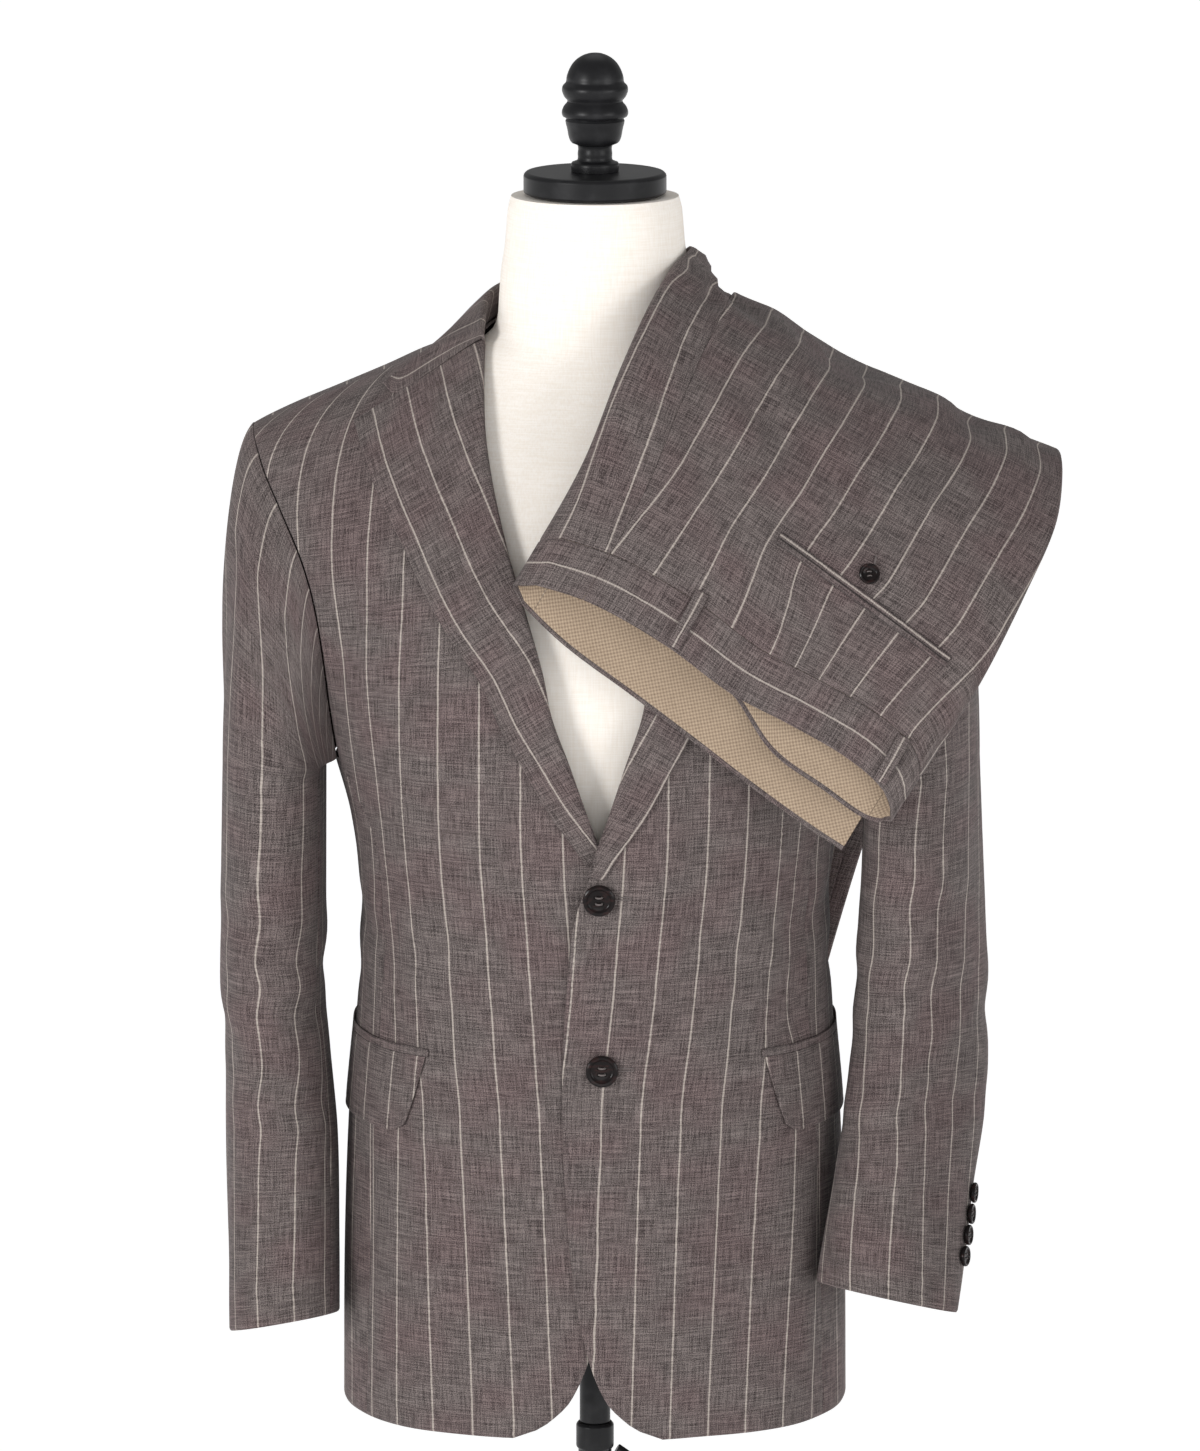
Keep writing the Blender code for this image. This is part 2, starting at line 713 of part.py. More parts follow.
def armpit_level(level, part):
    """A side panel's level, let down into the armpit as it nears the top."""
    share = max(0.0, (level - ARMPIT_START) / (CHEST - ARMPIT_START))
    return level - ARMPIT_DIP * share * math.sin(math.pi * part)


def make_side(name, side, suit):
    columns = 6
    rows = []
    for level in PLAIN_LEVELS:
        row = []
        for j in range(columns + 1):
            part = j / columns
            row.append(on_body(side_turn(side, level, part), armpit_level(level, part)))
        rows.append(row)
    return cloth(name, draw_in(rows, ("start", "end")), BODY_WALL, suit)


def back_neck_turn(level, side):
    """The turn where a back panel ends, at the centre seam or along the neck."""
    angle = math.degrees(climb(level))
    if angle <= BACK_NECK[0].climb:
        return side * math.pi
    return turn_at(side * along(BACK_NECK, angle, "out"), level, behind=True)


def make_back(name, side, suit):
    levels = list(PLAIN_LEVELS) + climb_levels()
    rows = panel_rows(side, lambda level: back_seam_turn(level, side),
                      lambda level: back_neck_turn(level, side), levels, 6)
    return cloth(name, draw_in(rows, ("start", "end", "last")), BODY_WALL, suit)


def lapel_point(side, part, roll):
    """A point of a lapel: part runs up from the button, roll is a row of its section."""
    crease_z = LAPEL_LOW + (GORGE_IN - LAPEL_LOW) * part
    edge_z = LAPEL_LOW + (LAPEL_TIP - LAPEL_LOW) * part
    crease_x = closing_x(crease_z) + side * along(FRONT_EDGE, crease_z, "reach")
    edge_x = closing_x(edge_z) + side * along(LAPEL_EDGE, edge_z, "reach")
    x = crease_x + (edge_x - crease_x) * roll.across - side * roll.inward
    z = crease_z + (edge_z - crease_z) * roll.across
    crown = ease(part / 0.35)
    lift = roll.lift * crown + FLAT_LIFT * (1 - crown)
    if roll.lift < 0:
        lift = roll.lift
    return on_front(x, z, lift + lap(side, x, z))


def outward_rows(rows, up):
    """Give rows of bare points their normals, from their neighbours, on the side that up points to."""
    count, width = len(rows), len(rows[0])
    result = []
    for i in range(count):
        row = []
        for j in range(width):
            across = rows[i][min(j + 1, width - 1)] - rows[i][max(j - 1, 0)]
            rise = rows[min(i + 1, count - 1)][j] - rows[max(i - 1, 0)][j]
            row.append((rows[i][j], across.cross(rise).normalized()))
        result.append(row)
    if sum(normal.dot(up) for row in result for point, normal in row) < 0:
        result = [[(point, -normal) for point, normal in row] for row in result]
    return result


def make_lapel(name, side, suit):
    steps = 13
    parts = [LAPEL_START + (1 - LAPEL_START) * (i / steps) for i in range(steps + 1)]
    points = [[lapel_point(side, part, roll)[0] for roll in LAPEL_ROLL] for part in parts]
    rows = outward_rows(points, Vector((0, -1, 0)))
    return cloth(name, rows, LAPEL_WALL, suit)


def collar_section(side, part):
    """The points across the collar, from the neck seam up the stand, over the crease and down the leaf."""
    crease = Vector((side * along(COLLAR, part, "x"), along(COLLAR, part, "y"), along(COLLAR, part, "z")))
    ahead = Vector((side * along(COLLAR, part + 0.02, "x"), along(COLLAR, part + 0.02, "y"), 0))
    behind = Vector((side * along(COLLAR, part - 0.02, "x"), along(COLLAR, part - 0.02, "y"), 0))
    tangent = (ahead - behind).normalized()
    out = Vector((tangent.y, -tangent.x, 0)) * -side
    angle = along(COLLAR, part, "out_climb")
    back = angle > 90
    level = CHEST + SHOULDER_RISE * math.radians(180 - angle if back else angle)
    edge_x = side * along(COLLAR, part, "out_x")
    edge, normal = on_body(turn_at(edge_x if edge_x else side * 1e-6, level, behind=back), level,
                           BODY_WALL + LAY_GAP)
    middle = (crease + edge) / 2 + (out + normal).normalized() * COLLAR_BULGE
    seam = neck_seam(side, part)
    top = crease + Vector((0, 0, COLLAR_FOLD * 0.6))
    inside = crease - out * COLLAR_FOLD
    outside = crease + out * COLLAR_FOLD
    leaf = [outside * (1 - t) ** 2 + middle * 2 * t * (1 - t) + edge * t * t for t in (0.3, 0.6, 0.85, 1.0)]
    return [seam, (seam + inside) / 2 - out * 0.0004, inside, top, outside] + leaf


def gorge_section(side):
    """The collar's end: along the lapel's top edge to the notch, then out to its own tip."""
    points = [lapel_point(side, 1.0, roll) for roll in LAPEL_ROLL]
    along_edge = (points[-1][0] - points[2][0]).normalized()
    up = points[4][1].cross(along_edge) * side
    up = up.normalized() * GORGE_GAP
    if up.z < 0:
        up = -up
    edge = [point + up for point, normal in points]
    first, second = LAPEL_ROLL[4].across, LAPEL_ROLL[5].across
    notch = edge[4].lerp(edge[5], (NOTCH_ACROSS - first) / (second - first))
    level = CHEST + SHOULDER_RISE * math.radians(COLLAR[-1].out_climb)
    tip = on_body(turn_at(side * COLLAR[-1].out_x, level), level, BODY_WALL + LAY_GAP)[0]
    return [edge[0], edge[0].lerp(edge[1], 0.5), edge[1], edge[1].lerp(edge[2], 0.5), edge[2], edge[3],
            edge[4], notch, tip]


def neck_seam(side, part):
    """The neckline that the collar's stand rises from, just above the panels' edges."""
    if part <= 0.5:
        angle = NECK_BACK_CLIMB + (90 - NECK_BACK_CLIMB) * part / 0.5
        level = CHEST + SHOULDER_RISE * math.radians(angle)
        x = along(BACK_NECK, angle, "out")
        point, normal = on_body(turn_at(side * max(x, 1e-6), level, behind=True), level)
    else:
        height = NECK_SEAM_TOP - (NECK_SEAM_TOP - GORGE_IN) * (part - 0.5) / 0.5
        level = level_at(NECK_SEAM_OUT, height)
        point, normal = on_body(front_start(side, level), level)
    return point + Vector((0, 0, NECK_SEAM_LIFT))


def make_collar(name, suit):
    parts = [i / 8 for i in range(8)]
    sections = [gorge_section(-1)]
    sections += [collar_section(-1, part) for part in reversed(parts)]
    sections += [collar_section(1, part) for part in parts[1:]]
    sections += [gorge_section(1)]
    rows = outward_rows(sections, Vector((0, 0, 1)))
    return cloth(name, rows, LAPEL_WALL, suit)


def armhole_point(side, around):
    """A point of the armhole's rim: around runs from the shoulder, down the front and up the back."""
    around %= 1.0
    if around <= RIM_FRONT:
        level = CHEST + SHOULDER_RISE * (math.pi / 2) * (1 - around / RIM_FRONT)
        return on_body(armhole_turn(level, "front", side), level)
    if around >= RIM_BACK:
        level = CHEST + SHOULDER_RISE * (math.pi / 2) * ((around - RIM_BACK) / (1 - RIM_BACK))
        return on_body(armhole_turn(level, "back", side), level)
    part = (around - RIM_FRONT) / (RIM_BACK - RIM_FRONT)
    return on_body(side_turn(side, CHEST, part), armpit_level(CHEST, part))


def sleeve_ring(side, table, around, run):
    """A point of a sleeve below the armpit; around 0 is its outer side and 0.25 its front."""
    angle = 2 * math.pi * around
    exponent = 2 / SLEEVE_SQUARENESS
    x = along(table, run, "narrow") * power(math.cos(angle), exponent)
    y = -along(table, run, "deep") * power(math.sin(angle), exponent)
    lean = Matrix.Rotation(math.radians(along(table, run, "roll")), 3, "Y")
    lean = lean @ Matrix.Rotation(math.radians(-along(table, run, "pitch")), 3, "X")
    lean = lean @ Matrix.Rotation(math.radians(-along(table, run, "turn")), 3, "Z")
    point = lean @ Vector((x, y, 0))
    centre = Vector((along(table, run, "out"), along(table, run, "ahead"), along(table, run, "height")))
    point += centre
    return Vector((side * point.x, point.y, point.z))


def sleeve_point(side, table, around, station):
    """A point of a sleeve: station runs from -1 at the armhole to 0 at the armpit, then down."""
    if station >= 0:
        return sleeve_ring(side, table, around, station)
    t = station + 1
    rim, normal = armhole_point(side, around)
    under = max(0.0, -math.cos(2 * math.pi * around)) ** 6
    rim = rim + Vector((side * SEAM_GAP, 0, 0)) + normal * (SEAM_GAP + ARMPIT_CLEARANCE * under)
    ring = sleeve_ring(side, table, around, 0.0)
    length = (rim - ring).length
    high = max(0.0, math.cos(2 * math.pi * around))
    leave = Vector((side * (CAP_SIDE + (CAP_OUT - CAP_SIDE) * high), normal.y * CAP_SWELL, -CAP_DROP))
    leave *= min(1, length / CAP_FULL)
    arrive = Vector((0, 0, -CAP_ARRIVE * length))
    return (rim * (2 * t**3 - 3 * t**2 + 1) + leave * (t**3 - 2 * t**2 + t)
            + ring * (3 * t**2 - 2 * t**3) + arrive * (t**3 - t**2))


def sleeve_normal(side, table, around, station):
    """The outward direction of a sleeve."""
    near = max(-1.0, station - 0.004)
    across = (sleeve_point(side, table, around + 0.004, station)
              - sleeve_point(side, table, around - 0.004, station))
    down = sleeve_point(side, table, around, station + 0.004) - sleeve_point(side, table, around, near)
    return across.cross(down).normalized() * side


def sleeve_stations(table):
    stations = [step - 1 for step in CAP_STEPS]
    stations += list(SLEEVE_RUNS)
    stations.append(table[-1].run)
    return stations


def make_sleeve(name, side, table, start, end, columns, suit):
    """One of a sleeve's two pieces, from one seam round to the other."""
    rows = []
    for station in sleeve_stations(table):
        row = []
        for j in range(columns + 1):
            around = (start + (end - start) * j / columns) % 1.0
            row.append((sleeve_point(side, table, around, station),
                        sleeve_normal(side, table, around, station)))
        rows.append(row)
    return cloth(name, draw_in(rows, ("start", "end"), 3 * SEAM_GAP), SLEEVE_WALL, suit)


def make_flap(name, side, suit):
    rows = []
    for i in range(4):
        part = i / 3
        first = turn_at(side * (FLAP_FRONT + FLAP_SLANT * part), FLAP_TOP)
        row = []
        for j in range(10):
            turn = first + (side * FLAP_BACK_TURN - first) * j / 9
            corner = FLAP_CORNER * part**3 if j == 0 else 0.0
            lift = FLAP_WALL + LAY_GAP + FLAP_LIFT * part
            row.append(on_body(turn, FLAP_TOP - FLAP_DEEP * part + corner, lift))
        rows.append(row)
    return cloth(name, rows, FLAP_WALL, suit)


def make_jet(name, side, suit):
    rows = []
    for level in (FLAP_TOP + SEAM_GAP, FLAP_TOP + SEAM_GAP + JET_DEEP):
        first = turn_at(side * (FLAP_FRONT - JET_BEYOND), level)
        turns = [first + (side * FLAP_BACK_TURN - first) * j / 9 for j in range(10)]
        rows.append([on_body(turn, level, FLAP_WALL + LAY_GAP) for turn in turns])
    return cloth(name, rows, FLAP_WALL, suit)


def button_profile(radius, thick):
    """A dished button with a thick rim, seen from its back face up."""
    return [(radius * 0.82, 0.0), (radius, thick * 0.45), (radius * 0.93, thick), (radius * 0.74, thick),
            (radius * 0.62, thick * 0.62), (0.0, thick * 0.55)]


def axis_place(point, normal):
    """A placement whose Z follows a normal."""
    return Matrix.Translation(point) @ normal.to_track_quat("Z", "Y").to_matrix().to_4x4()


def make_front_buttons(black):
    for index, (x, height) in enumerate(FRONT_BUTTONS):
        point, normal = on_front(x, height, lap(1, x, height) + LAY_GAP)
        turned(f"front_button_{index + 1}", button_profile(BUTTON_RADIUS, BUTTON_THICK), 16, black,
               axis_place(point, normal))


def make_cuff_buttons(word, side, table, black):
    around = BACK_SLEEVE_SEAM + CUFF_BUTTON_IN[word] / CUFF_ROUND
    run = table[-1].run - CUFF_BUTTON_FIRST
    for index in range(CUFF_BUTTON_COUNT):
        lower = sleeve_point(side, table, around, run)
        while index and (sleeve_point(side, table, around, run) - lower).length < CUFF_BUTTON_STEP:
            run -= 0.0002
        normal = sleeve_normal(side, table, around, run)
        point = sleeve_point(side, table, around, run) + normal * LAY_GAP
        turned(f"cuff_button_{word}_{index + 1}", button_profile(CUFF_BUTTON_RADIUS, CUFF_BUTTON_THICK), 12,
               black, axis_place(point, normal))


def make_jacket(suit, black):
    sides = (("left", 1, SLEEVE_LEFT), ("right", -1, SLEEVE_RIGHT))
    for word, side, table in sides:
        make_front(f"jacket_front_{word}", side, suit)
        make_side(f"jacket_side_{word}", side, suit)
        make_back(f"jacket_back_{word}", side, suit)
        make_lapel(f"lapel_{word}", side, suit)
        make_sleeve(f"sleeve_top_{word}", side, table, BACK_SLEEVE_SEAM - 1, FRONT_SLEEVE_SEAM, 12, suit)
        make_sleeve(f"sleeve_under_{word}", side, table, FRONT_SLEEVE_SEAM, BACK_SLEEVE_SEAM, 7, suit)
        make_flap(f"pocket_flap_{word}", side, suit)
        make_jet(f"pocket_jet_{word}", side, suit)
        make_cuff_buttons(word, side, table, black)
    make_collar("collar", suit)
    make_front_buttons(black)


def back_line(drop):
    """The middle of the legs as they swing down the back: x, z and lean at a drop from the ridge."""
    steps = 24
    x = RIDGE_X + MIDDLE * math.cos(RIDGE_SLOPE)
    z = RIDGE_Z - MIDDLE * math.sin(RIDGE_SLOPE)
    for i in range(steps):
        lean = math.radians(along(SWING, drop * (i + 0.5) / steps, "angle"))
        x -= math.sin(lean) * drop / steps
        z -= math.cos(lean) * drop / steps
    return x, z, math.radians(along(SWING, drop, "angle"))


def drape_point(across, reach):
    """A point of the trousers' nearest layer; reach is negative in front of the ridge."""
    left, right = along(SPREAD, reach, "left"), along(SPREAD, reach, "right")
    width = left + (right - left) * across / WIDTH
    drop, depth = along(DRAPE, reach, "drop"), along(DRAPE, reach, "depth")
    sag = along(RIDGE_DIP, across, "depth") * math.exp(-(reach / DIP_REACH) ** 2)
    if reach <= 0:
        lean = RIDGE_SLOPE
        x = RIDGE_X + width * math.cos(lean) - (drop + sag) * math.sin(lean)
        z = RIDGE_Z - width * math.sin(lean) - (drop + sag) * math.cos(lean)
        return Vector((x, depth, z))
    x, z, lean = back_line(drop)
    x += (width - MIDDLE) * math.cos(lean) - sag * math.sin(lean)
    z -= (width - MIDDLE) * math.sin(lean) + sag * math.cos(lean)
    return Vector((x, depth, z))


def drape_frame(across, reach):
    """The direction out of the nearest layer, and the one across it."""
    side = (drape_point(across + 0.002, reach) - drape_point(across - 0.002, reach)).normalized()
    over = drape_point(across, reach + 0.003) - drape_point(across, reach - 0.003)
    return side.cross(over).normalized(), side


def layer(reach, column):
    return along(LAYERS, reach, column)


Thread = namedtuple("Thread", "across depth angle share")


def left_fold(top, deep):
    """Threads round the left fold, from the nearest layer to the far one."""
    radius = (deep - top) / 2
    return [Thread(radius - radius * math.sin(a), top + radius - radius * math.cos(a), -a, a / math.pi)
            for a in (0, math.pi / 4, math.pi / 2, 3 * math.pi / 4, math.pi)]


def right_fold(deep):
    """Threads round the right fold, from the nearest layer to the middle one."""
    radius = deep / 2
    return [Thread(WIDTH - radius + radius * math.sin(a), radius - radius * math.cos(a), a, a / math.pi)
            for a in (0, math.pi / 4, math.pi / 2, 3 * math.pi / 4, math.pi)]


def back_right_threads(reach):
    """From the seat seam, under the left leg behind the ridge, round the left fold to the side seam."""
    top, deep = layer(reach, "strip"), layer(reach, "far")
    start = SEAT_SEAM + (STRIP_UNDER - SEAT_SEAM) * ease((reach - 0.07) / 0.06)
    return ([Thread(start, top, 0.0, 0.0), Thread(ACROSS[0], top, 0.0, 0.0)] + left_fold(top, deep)
            + [Thread(RIGHT_SIDE_SEAM, deep, math.pi, 1.0)])


def front_right_threads(reach):
    """The far layer, from the right side seam."""
    places = (RIGHT_SIDE_SEAM,) + ACROSS[:-1] + (FAR_END,)
    return [Thread(across, layer(reach, "far"), math.pi, 1.0) for across in places]


def back_left_threads(reach):
    """From the seat seam across the nearest layer and round the right fold to the left side seam."""
    near = [Thread(across, 0.0, 0.0, 0.0) for across in ACROSS[1:]]
    deep = layer(reach, "near")
    return near + right_fold(deep) + [Thread(LEFT_SIDE_SEAM, deep, math.pi, 1.0)]


def front_left_threads(reach):
    """The middle layer, from the left side seam to the fly, and behind the ridge to the inseam."""
    share = ease((reach - 0.03) / 0.09)
    sliding = [fly + (inseam - fly) * share for fly, inseam in zip(FLY_SIDE, INSEAM_SIDE)]
    places = [LEFT_SIDE_SEAM] + [across for across in reversed(ACROSS) if across > 0.13] + sliding
    return [Thread(across, layer(reach, "near"), math.pi, 1.0) for across in places]


def reach_at(drop):
    """How far in front of the ridge a drop lies."""
    rows = [row for row in DRAPE if row.reach <= 0]
    index = next(i for i in range(len(rows) - 1) if rows[i + 1].drop <= drop)
    high, low = rows[index], rows[index + 1]
    return high.reach + (low.reach - high.reach) * (high.drop - drop) / (high.drop - low.drop)


def waist_reach(thread, other):
    """Where the waist edge lies on a thread, as a reach."""
    across = min(WIDTH, max(0.0, thread.across))
    near = along(WAIST, across, "near")
    return reach_at(near + (along(WAIST, across, other) - near) * thread.share)


def off_neck(point, margin):
    """The move that takes a point out of the form's neck."""
    wide = along(TORSO, point.z, "half_width") + margin
    deep = along(TORSO, point.z, "back" if point.y > 0 else "front") + margin
    size = math.hypot(point.x / wide, point.y / deep)
    if size >= 1 or point.z < 1.43:
        return Vector()
    return Vector((point.x, point.y, 0)) * (1 / size - 1)


def on_trousers(thread, reach, inset=0.0):
    """A thread's point and outward direction at a reach."""
    normal, side = drape_frame(thread.across, reach)
    point = drape_point(thread.across, reach) - normal * thread.depth
    outward = normal * math.cos(thread.angle) + side * math.sin(thread.angle)
    point = point - outward * inset
    moves = [off_neck(point, NECK_CLEARANCE), off_neck(point - outward * TROUSER_WALL, NECK_CLEARANCE)]
    return point + max(moves, key=lambda move: move.length), outward


def yoke_reach(thread, other, step):
    """A row between the waistband's seam and the rows that all layers share."""
    seam = waist_reach(thread, other) + BAND
    return seam + (PANEL_REACHES[0] - seam) * step / YOKE_STEPS


def leg_reaches(threads, other):
    """Where each thread of a trouser panel lies in each row, from the waistband's seam to the hem."""
    waist = threads(WAIST_REACH)
    yoke = [[yoke_reach(thread, other, step) for thread in waist] for step in range(YOKE_STEPS)]
    return yoke + [[reach] * len(yoke[0]) for reach in PANEL_REACHES]


def band_reaches(threads, other, start):
    """The same for a strip that follows the waist edge to the waistband's seam."""
    edge = [waist_reach(thread, other) for thread in threads(WAIST_REACH)]
    return [[reach + step for reach in edge] for step in (start, BAND / 2, BAND)]


def thread_rows(threads, reaches, inset=0.0):
    """Rows of points and outward directions, from the place of each thread in each row."""
    return [[on_trousers(threads(reach)[index], reach, inset) for index, reach in enumerate(row)]
            for row in reaches]


def make_trouser_piece(word, threads, other, thick, edges, suit, beige):
    """A panel with its part of the waistband, and the waist curtain inside them."""
    reaches = leg_reaches(threads, other)

    def wall(index):
        return layer(reaches[index][0], thick) if thick else TROUSER_WALL

    cloth(f"trouser_{word}", draw_in(thread_rows(threads, reaches), edges + ("first",)), wall, suit)
    band = thread_rows(threads, band_reaches(threads, other, 0.0))
    cloth(f"waistband_{word}", draw_in(band, edges + ("last",)), TROUSER_WALL, suit)
    curtain = band_reaches(threads, other, CURTAIN_INSET) + reaches[1:2]
    rows = thread_rows(threads, curtain, TROUSER_WALL + LAY_GAP)
    cloth(f"curtain_{word}", draw_in(rows, edges), CURTAIN_WALL, beige)


def on_trouser_front(spot, lift):
    """A place on the nearest layer, by its distance across and its drop from the ridge."""
    reach = reach_at(spot.drop)
    left, right = along(SPREAD, reach, "left"), along(SPREAD, reach, "right")
    across = (spot.across - left) / (right - left) * WIDTH
    normal, side = drape_frame(across, reach)
    return drape_point(across, reach) + normal * lift, normal


def make_belt_loops(suit):
    for index, loop in enumerate(BELT_LOOPS):
        rows = []
        for share in (0.0, 0.15, 0.5, 0.85, 1.0):
            lift = LOOP_WALL + LAY_GAP + LOOP_RISE * math.sin(math.pi * share)
            drop = loop.high + (loop.low - loop.high) * share
            rows.append([on_trouser_front(Spot(loop.across + step * LOOP_WIDTH, drop), lift)
                         for step in (-0.5, 0.0, 0.5)])
        cloth(f"belt_loop_{index + 1}", rows, LOOP_WALL, suit)


def make_trouser_pocket(suit, black):
    lift = LOOP_WALL + LAY_GAP
    for word, start, end in (("upper", SEAM_GAP / 2 + POCKET_JET, SEAM_GAP / 2),
                             ("lower", -SEAM_GAP / 2, -SEAM_GAP / 2 - POCKET_JET)):
        rows = []
        for offset in (start, end):
            row = []
            for step in range(9):
                across = POCKET_START.across + (POCKET_END.across - POCKET_START.across) * step / 8
                drop = POCKET_START.drop + (POCKET_END.drop - POCKET_START.drop) * step / 8
                row.append(on_trouser_front(Spot(across, drop - offset), lift))
            rows.append(row)
        cloth(f"back_pocket_jet_{word}", rows, LOOP_WALL, suit)
    point, normal = on_trouser_front(POCKET_BUTTON, LAY_GAP)
    turned("back_pocket_button", button_profile(CUFF_BUTTON_RADIUS, CUFF_BUTTON_THICK), 12, black,
           axis_place(point, normal))


def make_trousers(suit, beige, black):
    make_trouser_piece("back_left", back_left_threads, "middle", None, ("start", "end"), suit, beige)
    make_trouser_piece("front_left", front_left_threads, "middle", "near_thick", ("start",), suit, beige)
    make_trouser_piece("back_right", back_right_threads, "far", None, ("start", "end"), suit, beige)
    make_trouser_piece("front_right", front_right_threads, "far", "far_thick", ("start",), suit, beige)
    make_belt_loops(suit)
    make_trouser_pocket(suit, black)


def make_form(linen, satin):
    rings = []
    for row in TORSO:
        ring = []
        exponent = 2 / row.squareness
        for j in range(TORSO_SIDES):
            angle = 2 * math.pi * j / TORSO_SIDES
            forward = power(math.cos(angle), exponent)
            y = -forward * (row.front if forward > 0 else row.back)
            ring.append(Vector((row.half_width * power(math.sin(angle), exponent), y, row.height)))
        rings.append(ring)
    loft("form_torso", rings, linen)
    edge = 0.0015
    disc = [(CAP_DISC_RADIUS - edge, CAP_DISC_LOW), (CAP_DISC_RADIUS, CAP_DISC_LOW + edge),
            (CAP_DISC_RADIUS, CAP_DISC_HIGH - edge), (CAP_DISC_RADIUS - edge, CAP_DISC_HIGH)]
    turned("form_neck_disc", disc, 28, satin)
    turned("form_finial", [(row.radius, row.height) for row in FINIAL], 18, satin)
    pole = [(POLE_RADIUS, TUBE_TOP + SEAM_GAP), (POLE_RADIUS, TORSO[0].height - SEAM_GAP)]
    turned("form_pole", pole, 20, satin)
    turned("form_tube", [(TUBE_RADIUS, BOSS_HIGH + SEAM_GAP), (TUBE_RADIUS, TUBE_TOP - 0.001),
                         (TUBE_RADIUS - 0.001, TUBE_TOP)], 20, satin)
    base = [(BASE_RADIUS - 0.003, 0.0), (BASE_RADIUS, 0.003), (BASE_RADIUS, BASE_THICK - 0.005),
            (BASE_RADIUS - 0.005, BASE_THICK), (BOSS_RADIUS, BASE_THICK + 0.004),
            (BOSS_RADIUS - 0.006, BOSS_HIGH - 0.002), (BOSS_RADIUS - 0.008, BOSS_HIGH)]
    turned("form_base", base, 40, satin)
    axis = Vector((math.cos(LEVER_SLOPE), 0, -math.sin(LEVER_SLOPE)))
    start = Vector((TUBE_RADIUS + SEAM_GAP + LEVER_RADIUS * math.tan(LEVER_SLOPE), 0, LEVER_HEIGHT))
    lever = [(LEVER_RADIUS, 0.0), (LEVER_RADIUS * 0.8, 0.010), (LEVER_RADIUS * 0.8, LEVER_LONG * 0.5),
             (LEVER_RADIUS * 1.5, LEVER_LONG * 0.8), (LEVER_RADIUS * 1.2, LEVER_LONG - 0.002), (0.0, LEVER_LONG)]
    turned("form_lever", lever, 12, satin, axis_place(start, axis))


def main():
    start_empty()
    suit = finish("suit_cloth", SUIT_GREY, 0.85)
    beige = finish("curtain_cloth", CURTAIN_BEIGE, 0.90)
    black = finish("button_horn", BUTTON_BLACK, 0.25)
    linen = finish("form_linen", LINEN, 0.90)
    satin = finish("form_black", SATIN_BLACK, 0.40)
    make_form(linen, satin)
    make_jacket(suit, black)
    make_trousers(suit, beige, black)


main()
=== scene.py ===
"""The looks of a striped two-piece suit on a dress form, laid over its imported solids.

The jacket is buttoned on a linen torso and the trousers hang over its left shoulder. Each piece
of cloth is a thin wall with soft creases, on the form of the solid it stands for.
"""

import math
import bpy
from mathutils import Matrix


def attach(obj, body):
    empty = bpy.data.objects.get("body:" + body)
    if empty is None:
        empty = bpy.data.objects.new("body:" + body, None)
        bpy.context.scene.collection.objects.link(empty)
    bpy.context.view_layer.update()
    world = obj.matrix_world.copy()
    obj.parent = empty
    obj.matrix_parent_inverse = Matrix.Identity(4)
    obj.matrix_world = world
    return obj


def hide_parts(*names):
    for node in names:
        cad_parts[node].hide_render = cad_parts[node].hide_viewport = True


bl_info = {
    "name": "Striped suit on a dress form",
    "version": (1, 0, 0),
    "blender": (4, 5, 0),
    "location": "3D View > Sidebar > Suit",
    "description": "Builds a striped jacket on a dress form, with its trousers over the shoulder",
    "category": "Add Mesh",
}

from collections import namedtuple
from functools import lru_cache
from math import cos, pi, radians, sin

import bpy
import numpy as np
from mathutils import Matrix, Vector

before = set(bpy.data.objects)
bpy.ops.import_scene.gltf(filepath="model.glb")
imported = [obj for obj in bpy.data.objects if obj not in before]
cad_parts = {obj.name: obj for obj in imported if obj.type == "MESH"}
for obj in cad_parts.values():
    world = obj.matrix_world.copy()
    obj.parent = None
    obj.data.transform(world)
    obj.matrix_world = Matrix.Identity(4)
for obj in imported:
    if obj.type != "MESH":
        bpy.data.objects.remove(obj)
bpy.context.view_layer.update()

# Cloth and seams
BODY_WALL = 0.0020
LAPEL_WALL = 0.0016
SLEEVE_WALL = 0.0018
FLAP_WALL = 0.0014
TROUSER_WALL = 0.0015
CURTAIN_WALL = 0.0010
SEAM_GAP = 0.0003
LAY_GAP = 0.0006

# Jacket body. Below the chest a level is a height, above it is an arc that climbs over the shoulder
CHEST = 1.135
SHOULDER_RISE = 0.300
TOP = CHEST + SHOULDER_RISE * pi / 2
FRONT_CROWN = 2.0
BACK_CROWN = 3.0
Ring = namedtuple("Ring", "level half_width front back squareness")
BODY = [Ring(*row) for row in (
    (0.672, 0.178, 0.1405, 0.136, 2.5), (0.78, 0.1768, 0.1405, 0.138, 2.5),
    (0.88, 0.1728, 0.137, 0.132, 2.5), (0.96, 0.1668, 0.133, 0.119, 2.4),
    (1.03, 0.1642, 0.132, 0.112, 2.35), (1.09, 0.171, 0.135, 0.117, 2.3), (1.135, 0.183, 0.137, 0.125, 2.3),
    (1.24, 0.212, 0.139, 0.136, 2.3), (1.37, 0.24, 0.138, 0.141, 2.35), (1.5, 0.258, 0.132, 0.138, 2.4),
    (1.606, 0.264, 0.128, 0.132, 2.4),
)]
Shoulder = namedtuple("Shoulder", "out height")
SHOULDER = [Shoulder(*row) for row in (
    (0.055, 1.44), (0.08, 1.431), (0.101, 1.4215), (0.121, 1.414), (0.144, 1.4035), (0.179, 1.389),
    (0.21, 1.3765), (0.238, 1.363), (0.262, 1.347),
)]

